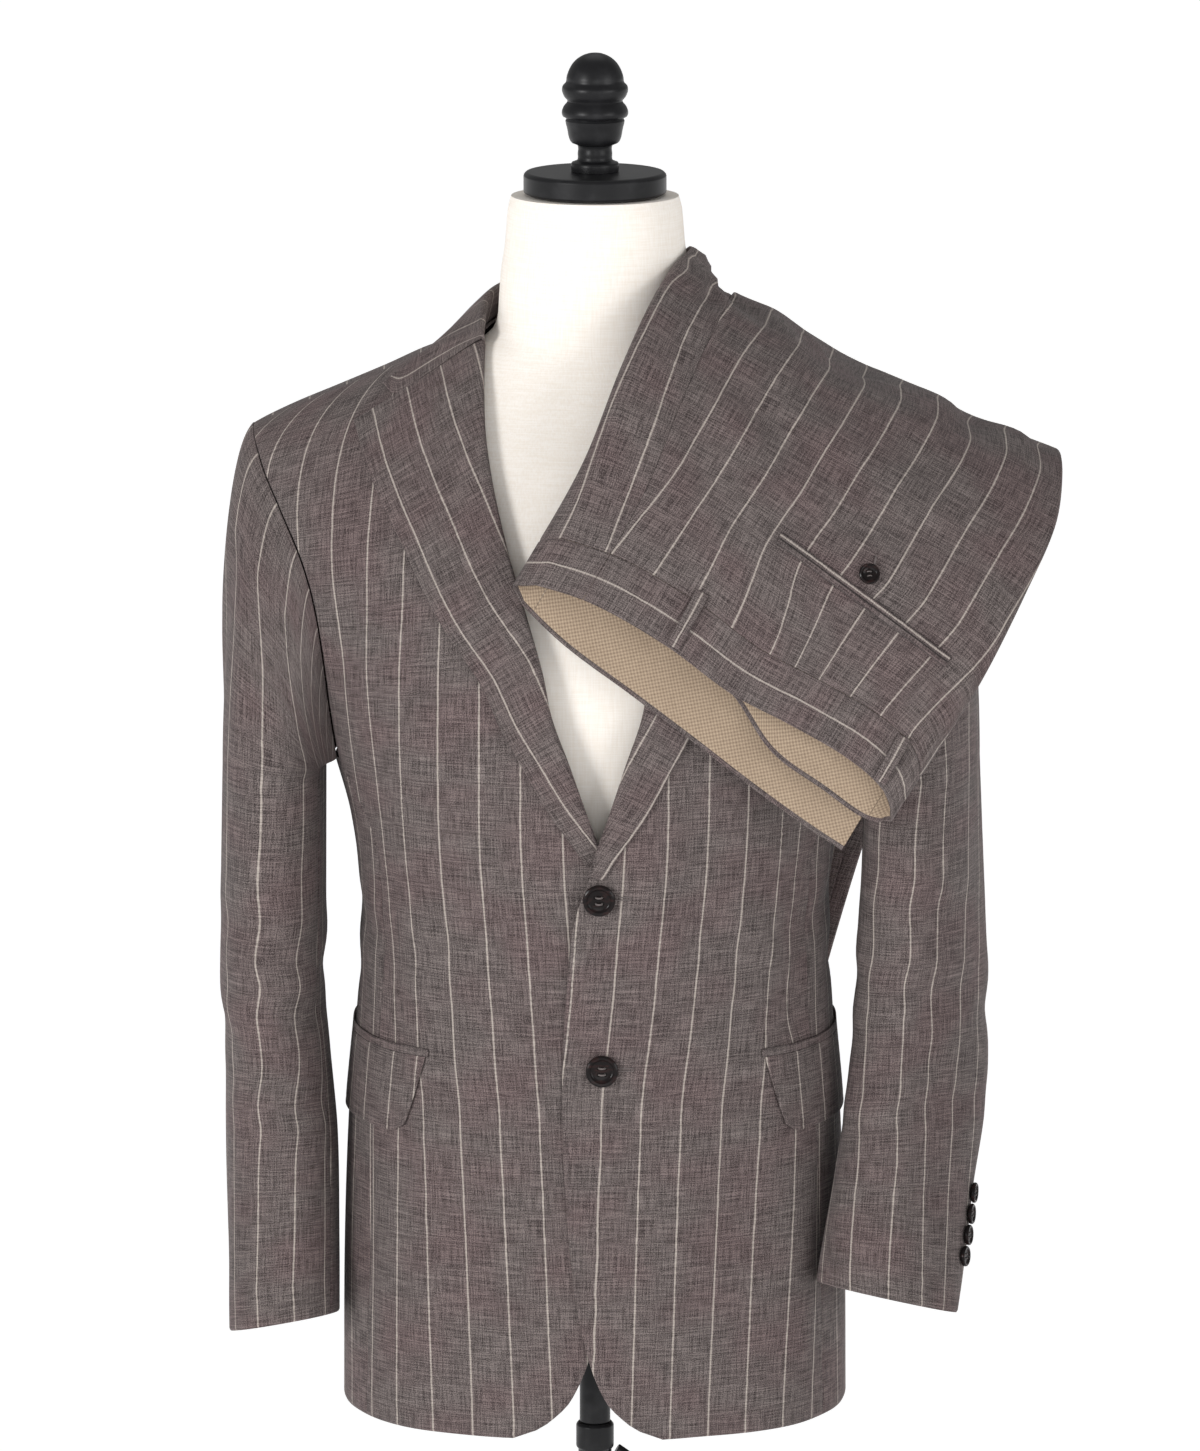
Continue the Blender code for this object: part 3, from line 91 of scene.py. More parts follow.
# Front edges and lapels, measured out from the closing line where the fronts button
Closing = namedtuple("Closing", "height x")
CLOSING = [Closing(*row) for row in (
    (0.672, -0.005), (0.76, -0.0035), (0.9, 0.002), (1.1, 0.002), (1.3, 0.0), (1.44, 0.0),
)]
Edge = namedtuple("Edge", "height reach")
FRONT_EDGE = [Edge(*row) for row in (
    (0.672, 0.052), (0.678, 0.036), (0.687, 0.0235), (0.699, 0.0125), (0.7255, 0.001), (0.773, -0.0105),
    (0.844, -0.0205), (0.9, -0.0245), (0.949, -0.0245), (0.991, -0.022), (1.0315, -0.018), (1.056, -0.0115),
    (1.0876, 0.0), (1.1124, 0.009), (1.1496, 0.0215), (1.1821, 0.033), (1.2142, 0.0393), (1.2652, 0.0535),
    (1.2931, 0.0614), (1.3337, 0.0711), (1.3677, 0.0767), (1.3922, 0.078), (1.4241, 0.0775),
    (1.434, 0.0755),
)]
LAPEL_LOW = 1.056
LAPEL_START = 0.045
LAPEL_CROWN = 0.35
GORGE_IN = 1.4241
NECK_BACK_CLIMB = 74
NECK_SEAM_TOP = 1.4335
NECK_SEAM_OUT = 0.078
NECK_SEAM_LIFT = 0.0012
LAPEL_TIP = 1.3724
LAPEL_EDGE = [Edge(*row) for row in (
    (1.056, -0.0095), (1.0716, 0.004), (1.083, 0.011), (1.1119, 0.031), (1.1464, 0.0505), (1.1705, 0.064),
    (1.2033, 0.0783), (1.2444, 0.1058), (1.2942, 0.1308), (1.3368, 0.1524), (1.3724, 0.1653),
)]
Roll = namedtuple("Roll", "inward across lift")
LAPEL_ROLL = [Roll(*row) for row in (
    (0.0014, 0.0, -0.0004), (0.0026, 0.0, 0.0022), (0.0004, 0.0, 0.0044), (0.0, 0.12, 0.0052),
    (0.0, 0.4, 0.0044), (0.0, 0.72, 0.0038), (0.0, 1.0, 0.0034),
)]
FLAT_LIFT = LAPEL_WALL + LAY_GAP
Lap = namedtuple("Lap", "height lift")
LAP_LIFT = [Lap(*row) for row in (
    (0.672, 0.0028), (0.98, 0.003), (1.035, 0.0052), (1.095, 0.0052), (1.2, 0.001), (1.44, 0.0),
)]
LAP_FLAT = 0.034
LAP_FADE = 0.080

# Armholes: how far round the body each one reaches as it climbs
Seam = namedtuple("Seam", "level front")
FRONT_SEAM = [Seam(*row) for row in ((0.672, 62), (1.075, 62), (1.105, 67), (1.135, 76))]
BACK_SEAM_TURN = radians(120)
ARMPIT_DIP = 0.004
ARMPIT_START = 1.030
Scye = namedtuple("Scye", "climb front back")
ARMHOLE = [Scye(*row) for row in (
    (0.0, 0.1785, 0.161), (10.0, 0.1848, 0.179), (24.0, 0.1905, 0.1925), (35.0, 0.2015, 0.2035),
    (47.5, 0.217, 0.2165), (60.0, 0.229, 0.2275), (75.0, 0.236, 0.2355), (90.0, 0.2377, 0.2377),
)]
BackNeck = namedtuple("BackNeck", "climb out")
BACK_NECK = [BackNeck(*row) for row in ((74.0, 0.0), (78.0, 0.043), (82.0, 0.06), (90.0, 0.0755))]
CLIMBS = (12, 24, 35, 46, 56, 65, 74, 78, 82, 86, 90)
SKIRT_LEVELS = (0.672, 0.678, 0.687, 0.702, 0.730, 0.765, 0.800, 0.870, 0.930, 0.985, 1.035, 1.075, 1.105,
                1.135)
PLAIN_LEVELS = (0.672, 0.730, 0.800, 0.870, 0.930, 0.985, 1.035, 1.075, 1.105, 1.135)

# Collar: the crease where the leaf turns over the stand, and where the leaf's edge lies
Crease = namedtuple("Crease", "part x y z out_x out_climb")
COLLAR = [Crease(*row) for row in (
    (0.0, 0.0, 0.0735, 1.461, 0.0, 113.0), (0.25, 0.048, 0.059, 1.459, 0.056, 110.0),
    (0.5, 0.0745, 0.018, 1.452, 0.096, 96.0), (0.75, 0.079, -0.017, 1.439, 0.121, 84.0),
    (1.0, 0.08, -0.045, 1.4272, 0.1465, 77.0),
)]
NOTCH_ACROSS = 0.66
COLLAR_FOLD = 0.0032
COLLAR_BULGE = 0.0045
GORGE_GAP = 0.0006

# Sleeves: sections down from the armpit, each with its own place, size and lean
Section = namedtuple("Section", "run out ahead height narrow deep turn roll pitch")
SLEEVE_RIGHT = [Section(*row) for row in (
    (0.0, 0.2245, 0.0, 1.125, 0.0363, 0.079, 0, 0, 0),
    (0.095, 0.2258, -0.002, 1.03, 0.0369, 0.0745, 0, 0, 0),
    (0.157, 0.2264, -0.006, 0.969, 0.0368, 0.07, 0, 0, 2),
    (0.203, 0.2236, -0.012, 0.924, 0.037, 0.066, 0, 0, 5),
    (0.267, 0.2205, -0.022, 0.862, 0.0394, 0.0615, 0, 2, 8),
    (0.349, 0.2192, -0.037, 0.783, 0.0394, 0.056, 0, 5, 11),
    (0.405, 0.2185, -0.049, 0.733, 0.0392, 0.0525, 0, 10, 12),
)]
SLEEVE_LEFT = [Section(*row) for row in (
    (0.0, 0.2292, 0.0, 1.125, 0.038, 0.078, 12, 0, 0), (0.075, 0.23, -0.002, 1.05, 0.038, 0.0745, 18, 0, 0),
    (0.125, 0.2296, -0.006, 1.002, 0.038, 0.071, 24, 0, 2),
    (0.172, 0.229, -0.013, 0.956, 0.038, 0.0675, 29, -1, 5),
    (0.215, 0.2275, -0.025, 0.917, 0.038, 0.065, 34, -2, 8),
    (0.265, 0.2232, -0.042, 0.876, 0.038, 0.062, 40, -4, 11),
    (0.315, 0.2158, -0.06, 0.834, 0.038, 0.058, 44, 0, 12),
    (0.365, 0.2105, -0.075, 0.801, 0.038, 0.0555, 52, 6, 12),
    (0.415, 0.204, -0.09, 0.761, 0.038, 0.0525, 66, 13, 12),
)]
SLEEVE_SQUARENESS = 2.2
ARMPIT_CLEARANCE = 0.0012
RIM_FRONT = 0.42
RIM_BACK = 0.58
CAP_SIDE = 0.012
CAP_SWELL = 0.030
CAP_FULL = 0.1
CAP_ARRIVE = 1.1
CAP_OUT = 0.064
CAP_DROP = 0.060
FRONT_SLEEVE_SEAM = 0.42
BACK_SLEEVE_SEAM = 0.70
CAP_STEPS = (0.0, 0.10, 0.24, 0.42, 0.62, 0.82)
SLEEVE_RUNS = (0.0, 0.045, 0.095, 0.145, 0.195, 0.245, 0.290, 0.335, 0.377)

# Pockets and buttons
FLAP_TOP = 0.9375
FLAP_DEEP = 0.0550
FLAP_FRONT = 0.1170
FLAP_SLANT = 0.0100
FLAP_BACK_TURN = radians(107)
FLAP_CORNER = 0.0063
FLAP_LIFT = 0.0008
JET_BEYOND = 0.002
JET_DEEP = 0.0055
BUTTON_RADIUS = 0.0112
BUTTON_THICK = 0.0042
FRONT_BUTTONS = ((0.0027, 1.0561), (0.0048, 0.9344))
# A button's profile, in parts of its radius and thickness
BUTTON_TURN = ((0.80, 0.0), (0.97, 0.30), (1.0, 0.55), (0.97, 0.86), (0.88, 1.0), (0.76, 0.96), (0.68, 0.74),
               (0.60, 0.64), (0.30, 0.60), (0.05, 0.59))
HOLE_SIZE = 0.105
HOLE_APART = 0.20
HOLE_THREAD = 0.055
BUTTONHOLE_LONG = 0.0125
THREAD_LIFT = 0.0003
CUFF_BUTTON_RADIUS = 0.0073
CUFF_BUTTON_THICK = 0.0034
CUFF_BUTTON_FIRST = 0.040
CUFF_BUTTON_STEP = 0.0156
CUFF_BUTTON_COUNT = 4
CUFF_BUTTON_IN = {"left": 0.055, "right": 0.018}
CUFF_ROUND = 0.30

# Trousers: a flat width laid over a ridge above the left shoulder
RIDGE_X = 0.0637
RIDGE_Z = 1.4906
RIDGE_SLOPE = radians(29.4)
WIDTH = 0.305
MIDDLE = 0.155
Drape = namedtuple("Drape", "reach drop depth")
DRAPE = [Drape(*row) for row in (
    (-0.375, 0.3, -0.17), (-0.32, 0.245, -0.168), (-0.275, 0.2, -0.162), (-0.225, 0.15, -0.151),
    (-0.172, 0.1, -0.13), (-0.124, 0.06, -0.103), (-0.078, 0.028, -0.069), (-0.037, 0.008, -0.033),
    (0.0, 0.0, 0.004), (0.037, 0.007, 0.04), (0.081, 0.024, 0.081), (0.136, 0.06, 0.123),
    (0.204, 0.12, 0.155), (0.287, 0.202, 0.168), (0.397, 0.312, 0.173), (0.567, 0.482, 0.174),
    (0.747, 0.662, 0.172),
)]
Spread = namedtuple("Spread", "reach left right")
SPREAD = [Spread(*row) for row in (
    (-0.375, 0.0, 0.304), (-0.32, 0.0, 0.3055), (-0.225, 0.0015, 0.312), (-0.15, -0.006, 0.312),
    (-0.09, -0.0075, 0.3115), (-0.037, -0.003, 0.304), (0.0, 0.001, 0.3), (0.05, 0.006, 0.3),
    (0.1, 0.008, 0.3), (0.3, 0.016, 0.285), (0.5, 0.035, 0.268), (0.747, 0.055, 0.248),
)]
Swing = namedtuple("Swing", "drop angle")
SWING = [Swing(*row) for row in (
    (0.0, 29.4), (0.06, 24.0), (0.15, 18.0), (0.3, 14.0), (0.5, 10.0), (0.8, 7.0),
)]
Dip = namedtuple("Dip", "across depth")
RIDGE_DIP = [Dip(*row) for row in (
    (0.0, 0.0), (0.018, 0.006), (0.045, 0.0155), (0.078, 0.012), (0.105, 0.0155), (0.14, 0.0215),
    (0.166, 0.0165), (0.208, 0.0085), (0.236, 0.0105), (0.265, 0.004), (0.305, 0.0),
)]
DIP_REACH = 0.055
Layer = namedtuple("Layer", "reach strip near near_thick far far_thick")
LAYERS = [Layer(*row) for row in (
    (-0.375, 0.0, 0.0135, 0.0015, 0.0265, 0.0015), (-0.32, 0.0, 0.013, 0.0015, 0.0255, 0.0015),
    (-0.24, 0.0, 0.0105, 0.0015, 0.02, 0.0015), (-0.15, 0.0, 0.0075, 0.002, 0.015, 0.002),
    (-0.05, 0.0, 0.0062, 0.003, 0.0125, 0.004), (0.0, 0.0, 0.006, 0.0032, 0.0122, 0.0048),
    (0.07, 0.0068, 0.006, 0.0034, 0.0155, 0.005), (0.747, 0.0068, 0.006, 0.0034, 0.0155, 0.005),
)]
SEAT_SEAM = 0.045
LEFT_SIDE_SEAM = 0.290
RIGHT_SIDE_SEAM = 0.022
FAR_END = 0.288
STRIP_UNDER = 0.085
STRIP_START = 0.07
STRIP_SPAN = 0.06
FLY_START = 0.03
FLY_SPAN = 0.09
FLY_CLEAR = 0.13
ACROSS = (0.030, 0.045, 0.062, 0.080, 0.105, 0.135, 0.160, 0.185, 0.210, 0.236, 0.262, 0.284)
FLY_SIDE = (0.1325, 0.1300, 0.1275, 0.1250)
INSEAM_SIDE = (0.105, 0.080, 0.062, 0.050)
BAND = 0.036
Waist = namedtuple("Waist", "across near middle far")
WAIST = [Waist(*row) for row in (
    (0.0, 0.237, 0.2415, 0.249), (0.05, 0.227, 0.2385, 0.2635), (0.11, 0.2275, 0.2235, 0.272),
    (0.165, 0.2345, 0.2345, 0.28), (0.21, 0.2335, 0.257, 0.287), (0.255, 0.2345, 0.263, 0.2925),
    (0.288, 0.242, 0.2665, 0.295), (0.305, 0.256, 0.2615, 0.295),
)]
WAIST_REACH = -0.310
CURTAIN_INSET = 0.0035
YOKE_STEPS = 5
PANEL_REACHES = (-0.105, -0.070, -0.040, -0.015, 0.010, 0.035, 0.065, 0.100, 0.145, 0.200, 0.290, 0.420,
                 0.580, 0.747)
FOLD_TURNS = (0, pi / 4, pi / 2, 3 * pi / 4, pi)
LOOP_WALL = 0.0012
LOOP_WIDTH = 0.0095
LOOP_RISE = 0.0020
Loop = namedtuple("Loop", "across high low")
BELT_LOOPS = (Loop(0.1145, 0.184, 0.226), Loop(0.2830, 0.203, 0.238))
Spot = namedtuple("Spot", "across drop")
POCKET_START = Spot(0.1423, 0.1290)
POCKET_END = Spot(0.2850, 0.1456)
POCKET_JET = 0.0038
POCKET_BUTTON = Spot(0.2087, 0.1215)
NECK_CLEARANCE = 0.0027
NECK_LOW = 1.43

# Dress form
Torso = namedtuple("Torso", "height half_width front back squareness")
TORSO = [Torso(*row) for row in (
    (0.86, 0.118, 0.098, 0.09, 2.2), (0.905, 0.131, 0.108, 0.097, 2.2), (0.98, 0.14, 0.113, 0.096, 2.2),
    (1.06, 0.145, 0.116, 0.097, 2.2), (1.135, 0.158, 0.121, 0.106, 2.2), (1.2, 0.171, 0.122, 0.114, 2.1),
    (1.26, 0.183, 0.118, 0.118, 2.0), (1.31, 0.193, 0.107, 0.115, 1.95), (1.345, 0.199, 0.094, 0.106, 1.9),
    (1.364, 0.202, 0.084, 0.098, 1.85), (1.3745, 0.1985, 0.078, 0.092, 1.8),
    (1.385, 0.176, 0.073, 0.086, 1.8), (1.3975, 0.1455, 0.067, 0.078, 1.8),
    (1.4085, 0.119, 0.063, 0.071, 1.8), (1.418, 0.096, 0.06, 0.065, 1.8), (1.426, 0.0762, 0.059, 0.06, 1.9),
    (1.436, 0.0685, 0.0585, 0.0585, 2.0), (1.454, 0.0665, 0.058, 0.0575, 2.0),
    (1.472, 0.0652, 0.057, 0.0565, 2.0), (1.49, 0.0625, 0.0555, 0.055, 2.0),
    (1.516, 0.0602, 0.054, 0.0535, 2.0), (1.524, 0.058, 0.052, 0.0515, 2.0),
)]
CAP_DISC_RADIUS = 0.0495
CAP_DISC_LOW = 1.5243
CAP_DISC_HIGH = 1.5405
POLE_RADIUS = 0.0109
TUBE_RADIUS = 0.0118
TUBE_TOP = 0.6455
BASE_RADIUS = 0.190
BASE_THICK = 0.016
BOSS_RADIUS = 0.030
BOSS_HIGH = 0.034
LEVER_HEIGHT = 0.6240
LEVER_LONG = 0.070
LEVER_RADIUS = 0.0050
LEVER_SLOPE = radians(30)
Thread = namedtuple("Thread", "across depth angle share")

# How finely the cloth is made, and how its edges look
CLOTH_STEP = 0.006
EDGE_SHARE = 0.28
EDGE_ROUND = 0.38
SEAM_DIP = 0.0004
STITCH_IN = 0.0032
STITCH_DIP = 0.00025
STITCH_WIDE = 0.0012
SHARP = 62
FRONT_COLUMNS = 56
SIDE_COLUMNS = 30
BACK_COLUMNS = 42
TOP_SLEEVE_COLUMNS = 56
UNDER_SLEEVE_COLUMNS = 28
LAPEL_STEPS = 96
LAPEL_FINER = 6
FLAP_STEPS = 18
JET_STEPS = 5
POCKET_COLUMNS = 40
BAND_STEPS = 12
CURTAIN_STEPS = 4
LOOP_STEPS = 16
LOOP_COLUMNS = 6
TORSO_SIDES = 96
TURNED_SHARP = radians(35)
BODY_ARC = 0.0026
SLEEVE_ARC = 0.0010
CAP_LONG = 0.25
CREASE_FAR = 0.35
CREASE_TOP = 1.50
CREASE_FADE = 0.06
CAP_FADE = 0.12
CUFF_CALM_START = 0.355
CUFF_CALM_SPAN = 0.05
CUFF_CALM = 0.8

# Cloth pattern
PITCH = 0.0277
BEYOND = 12
BEND = 0.0295
BEND_START = 50
BEND_POWER = 2.6
BEND_OUT = 0.19
CANVAS_STEP = 0.0032
Grain = namedtuple("Grain", "level first step")
FRONT_GRAIN = [Grain(*row) for row in (
    (0.68, -0.0005, 0.0268), (0.9, 0.006, 0.0278), (0.935, 0.0085, 0.0282), (1.04, 0.0172, 0.029),
    (1.083, 0.0205, 0.0292), (1.165, 0.0222, 0.029), (1.3, 0.023, 0.029),
)]
StripePlaces = namedtuple("StripePlaces", "level two four five six")
RIGHT_STRIPES = [StripePlaces(*row) for row in (
    (0.69, 2.12, 4.34, 5.46, 6.5), (0.91, 2.17, 4.24, 4.97, 6.05), (0.94, 2.15, 4.24, 4.97, 6.08),
    (1.02, 2.08, 4.11, 4.87, 5.75), (1.11, 2.03, 4.12, 4.88, 5.8), (1.2, 1.98, 4.02, 4.92, 5.67),
    (1.27, 1.95, 3.88, 4.85, 5.69), (1.33, 1.9, 3.8, 4.78, 5.73), (1.39, 1.86, 3.75, 4.65, 5.68),
    (1.445, 1.8, 3.7, 4.55, 5.54), (1.51, 1.75, 3.55, 4.35, 5.32), (1.59, 1.7, 3.4, 4.1, 5.03),
)]
LEFT_STRIPES = [StripePlaces(*row) for row in (
    (0.69, 1.95, 4.0, 5.12, 6.22), (0.925, 1.92, 4.05, 5.12, 6.15), (0.965, 1.98, 4.0, 4.66, 5.6),
    (1.09, 1.98, 3.98, 4.56, 5.5), (1.25, 1.98, 3.98, 4.85, 5.75),
)]
SleeveGrain = namedtuple("SleeveGrain", "run outer middle inner")
RIGHT_SLEEVE_GRAIN = [SleeveGrain(*row) for row in (
    (-0.62, 0.0377, 0.0785, 0.115), (-0.525, 0.049, 0.0842, 0.1194), (-0.433, 0.0533, 0.0891, 0.125),
    (-0.34, 0.056, 0.0918, 0.13), (-0.137, 0.054, 0.0917, 0.131), (0.0, 0.0495, 0.0913, 0.1258),
    (0.058, 0.046, 0.0882, 0.1226), (0.116, 0.047, 0.0844, 0.1166), (0.176, 0.045, 0.0791, 0.1074),
    (0.237, 0.0426, 0.0724, 0.099), (0.377, 0.035, 0.06, 0.0865),
)]
LEFT_SLEEVE_GRAIN = [SleeveGrain(*row) for row in (
    (-0.3, 0.028, 0.066, 0.09), (0.0, 0.022, 0.0622, 0.085), (0.059, 0.019, 0.0583, 0.0826),
    (0.12, 0.016, 0.052, 0.0742), (0.18, 0.014, 0.0454, 0.0668), (0.245, 0.0081, 0.0358, 0.057),
    (0.293, 0.0006, 0.0259, 0.0479), (0.327, -0.0052, 0.0189, 0.0431), (0.366, -0.0126, 0.0099, 0.0358),
    (0.392, -0.0196, 0.0014, 0.0283), (0.415, -0.0262, -0.0062, 0.0205),
)]
BACK_GRAIN = [Grain(*row) for row in ((0.68, 0.0139, 0.028), (1.03, 0.0139, 0.0262), (1.2, 0.0139, 0.028))]
LapelGrain = namedtuple("LapelGrain", "part right left")
LAPEL_GRAIN = [LapelGrain(*row) for row in (
    (0.0, 0.014, 0.0012), (0.3, 0.0115, 0.0012), (0.6, 0.01, 0.0012), (1.0, 0.0155, 0.0012),
)]
LeftLegGrain = namedtuple("LeftLegGrain", "drop none four six nine")
LEFT_LEG_GRAIN = [LeftLegGrain(*row) for row in (
    (0.0, 0.076, 0.183, 0.238, 0.317), (0.02, 0.069, 0.1785, 0.235, 0.315),
    (0.04, 0.0645, 0.176, 0.232, 0.315), (0.06, 0.063, 0.1725, 0.228, 0.313),
    (0.1, 0.061, 0.1685, 0.225, 0.309), (0.12, 0.06, 0.165, 0.2235, 0.308),
    (0.14, 0.057, 0.1645, 0.218, 0.304), (0.17, 0.051, 0.172, 0.215, 0.294),
    (0.195, 0.0465, 0.1765, 0.2135, 0.287),
)]
RightLegGrain = namedtuple("RightLegGrain", "drop none one")
RIGHT_LEG_GRAIN = [RightLegGrain(*row) for row in (
    (0.0, 0.003, 0.028), (0.02, -0.001, 0.025), (0.05, -0.0034, 0.024), (0.1, -0.0024, 0.031),
    (0.14, 0.0032, 0.0365), (0.17, 0.0085, 0.0405), (0.197, 0.01, 0.044),
)]
# The numbers of the stripes that each of those tables places
LEG_GRAIN = {"back_left": (LEFT_LEG_GRAIN, (0, 4, 6, 9)), "back_right": (RIGHT_LEG_GRAIN, (0, 1))}

# Soft creases: where each one lies, its half length and half width, its lean and its depth
BodyCrease = namedtuple("BodyCrease", "turn level long wide lean depth")
BODY_CREASES = [BodyCrease(*row) for row in (
    (-20, 0.985, 0.05, 0.012, 20, 0.0011), (22, 0.99, 0.055, 0.012, -28, 0.0014),
    (40, 1.0, 0.06, 0.013, -35, 0.0017), (-44, 1.01, 0.05, 0.013, 30, 0.0013),
    (8, 1.03, 0.04, 0.01, -12, 0.0009), (-12, 1.085, 0.045, 0.012, 40, 0.0009),
    (28, 0.8, 0.11, 0.02, 86, 0.002), (-30, 0.78, 0.11, 0.022, 94, 0.002),
    (62, 0.79, 0.12, 0.022, 88, 0.0024), (-66, 0.8, 0.12, 0.022, 92, 0.0022),
    (70, 1.03, 0.05, 0.012, 12, 0.0016), (-72, 1.02, 0.05, 0.012, -10, 0.0016),
    (100, 1.0, 0.06, 0.013, 16, 0.002), (-104, 0.99, 0.06, 0.013, -14, 0.002),
    (128, 1.02, 0.07, 0.014, 22, 0.0024), (-130, 1.01, 0.07, 0.014, -24, 0.0022),
    (150, 0.99, 0.06, 0.014, 10, 0.0016), (-152, 1.0, 0.06, 0.014, -12, 0.0018),
    (172, 0.8, 0.14, 0.02, 90, 0.0022), (-150, 0.79, 0.12, 0.022, 90, 0.0022),
    (146, 0.78, 0.12, 0.022, 88, 0.002), (118, 0.8, 0.12, 0.02, 92, 0.002),
    (-116, 0.79, 0.12, 0.022, 90, 0.0022), (-50, 1.26, 0.075, 0.014, 62, 0.0024),
    (50, 1.25, 0.07, 0.014, -62, 0.002), (140, 1.28, 0.09, 0.018, -64, 0.003),
    (-142, 1.29, 0.09, 0.018, 62, 0.003), (165, 1.33, 0.08, 0.018, 4, 0.0016),
)]
SleeveCrease = namedtuple("SleeveCrease", "turn run long wide lean depth")
RIGHT_SLEEVE_CREASES = [SleeveCrease(*row) for row in (
    (20, -0.1, 0.09, 0.013, 74, 0.002), (70, -0.06, 0.08, 0.013, 80, 0.0022),
    (60, 0.095, 0.045, 0.012, 24, 0.0016), (84, 0.145, 0.05, 0.013, 14, 0.0017),
    (30, 0.185, 0.05, 0.013, -12, 0.0016), (76, 0.205, 0.05, 0.012, 20, 0.0016),
    (120, 0.165, 0.05, 0.012, -16, 0.0024), (95, 0.255, 0.045, 0.012, 8, 0.002),
    (200, 0.135, 0.05, 0.013, 18, 0.0022), (250, 0.185, 0.05, 0.014, -20, 0.0022),
    (300, 0.225, 0.05, 0.014, 26, 0.0018), (290, -0.08, 0.08, 0.014, 96, 0.0024),
    (10, 0.295, 0.09, 0.016, 88, 0.0014),
)]
LEFT_SLEEVE_CREASES = [SleeveCrease(*row) for row in (
    (40, -0.09, 0.09, 0.013, 78, 0.002), (60, 0.085, 0.045, 0.012, 20, 0.0018),
    (50, 0.15, 0.05, 0.013, 12, 0.0024), (80, 0.185, 0.05, 0.012, -14, 0.0026),
    (30, 0.21, 0.05, 0.013, 24, 0.0018), (110, 0.155, 0.045, 0.012, 10, 0.0022),
    (70, 0.26, 0.05, 0.012, -10, 0.0022), (0, 0.245, 0.045, 0.013, 12, 0.0014),
    (210, 0.145, 0.05, 0.013, -18, 0.002), (255, 0.195, 0.05, 0.014, 20, 0.0022),
    (310, 0.175, 0.05, 0.014, -24, 0.002), (300, -0.08, 0.08, 0.014, 84, 0.0024),
    (60, 0.325, 0.08, 0.016, 90, 0.0014),
)]
SLEEVES = ((1, SLEEVE_LEFT, LEFT_SLEEVE_CREASES), (-1, SLEEVE_RIGHT, RIGHT_SLEEVE_CREASES))
LegCrease = namedtuple("LegCrease", "across reach long wide lean depth")
LEG_CREASES = [LegCrease(*row) for row in (
    (0.046, -0.014, 0.034, 0.0085, 66, 0.0062), (0.034, -0.04, 0.026, 0.007, 96, 0.006),
    (0.026, -0.004, 0.03, 0.008, 108, 0.004), (0.066, -0.03, 0.03, 0.008, 52, 0.003),
    (0.128, -0.006, 0.03, 0.0085, 76, 0.003), (0.152, 0.004, 0.036, 0.009, 100, 0.0028),
    (0.236, -0.004, 0.034, 0.009, 84, 0.0026), (0.286, -0.006, 0.034, 0.009, 78, 0.0024),
    (0.1, -0.13, 0.06, 0.013, 14, 0.0032), (0.19, -0.1, 0.065, 0.014, 8, 0.0026),
    (0.07, -0.18, 0.05, 0.014, 40, 0.002), (0.15, -0.185, 0.05, 0.014, -30, 0.0018),
    (0.24, -0.155, 0.05, 0.013, -20, 0.0022), (0.275, -0.23, 0.05, 0.013, 50, 0.0018),
    (0.12, -0.06, 0.05, 0.013, 76, 0.0022), (0.215, -0.05, 0.05, 0.013, 100, 0.0022),
    (0.02, -0.1, 0.06, 0.012, 82, 0.0016), (0.06, 0.14, 0.08, 0.015, 64, 0.0026),
    (0.22, 0.16, 0.08, 0.015, -50, 0.0028), (0.14, 0.25, 0.07, 0.016, 30, 0.0024),
    (0.08, 0.36, 0.07, 0.016, -18, 0.0024), (0.23, 0.38, 0.08, 0.016, 14, 0.0026),
    (0.12, 0.47, 0.08, 0.016, 24, 0.0022), (0.22, 0.56, 0.07, 0.016, -24, 0.002),
    (0.1, 0.62, 0.08, 0.016, 80, 0.002),
)]

LINE_REACH = 0.010
# How strongly the back pocket's jets paint shade as a dark line along their edges
JET_SHADE_LINE = 1.35
SIDE_MIDDLE = 0.262
COLLAR_MEASURE = 26
COLLAR_STRIPE = 0.012
THREAD_STEP = 0.006
Dart = namedtuple("Dart", "low high low_x high_x")
DART = Dart(0.952, 1.040, 0.1330, 0.1370)
Bead = namedtuple("Bead", "height radius")
FINIAL_TURN = [Bead(*row) for row in (
    (1.5408, 0.0163), (1.544, 0.0166), (1.547, 0.016), (1.5484, 0.0124), (1.553, 0.012), (1.559, 0.0122),
    (1.5606, 0.016), (1.564, 0.018), (1.57, 0.0192), (1.576, 0.0205), (1.5775, 0.0196), (1.579, 0.0222),
    (1.582, 0.023), (1.586, 0.0216), (1.5895, 0.019), (1.5925, 0.0212), (1.5965, 0.0228), (1.6, 0.0224),
    (1.6025, 0.0202), (1.6065, 0.0196), (1.612, 0.0176), (1.617, 0.0142), (1.6205, 0.0096),
    (1.6225, 0.0045), (1.623, 0.0005),
)]

# Camera and lights
CAMERA_AIM = 1.15
CAMERA_AWAY = 6.0
CAMERA_DOWN = radians(11.3)
CAMERA_LENS = 212.65
CAMERA_SHIFT = 5 / 1451
LAMP_AWAY = 5.0
Lamp = namedtuple("Lamp", "azimuth elevation softness share")
LAMPS = [Lamp(*row) for row in (
    (-46, 10, 18, 1.15), (50, 4, 34, 0.8), (5, 2, 30, 0.35), (180, 60, 40, 0.22),
)]


def smooth(start, leave, end, arrive, t):
    """A place on the smooth curve from start to end that leaves and arrives with these slopes."""
    return (start * (2 * t**3 - 3 * t**2 + 1) + leave * (t**3 - 2 * t**2 + t)
            + end * (3 * t**2 - 2 * t**3) + arrive * (t**3 - t**2))


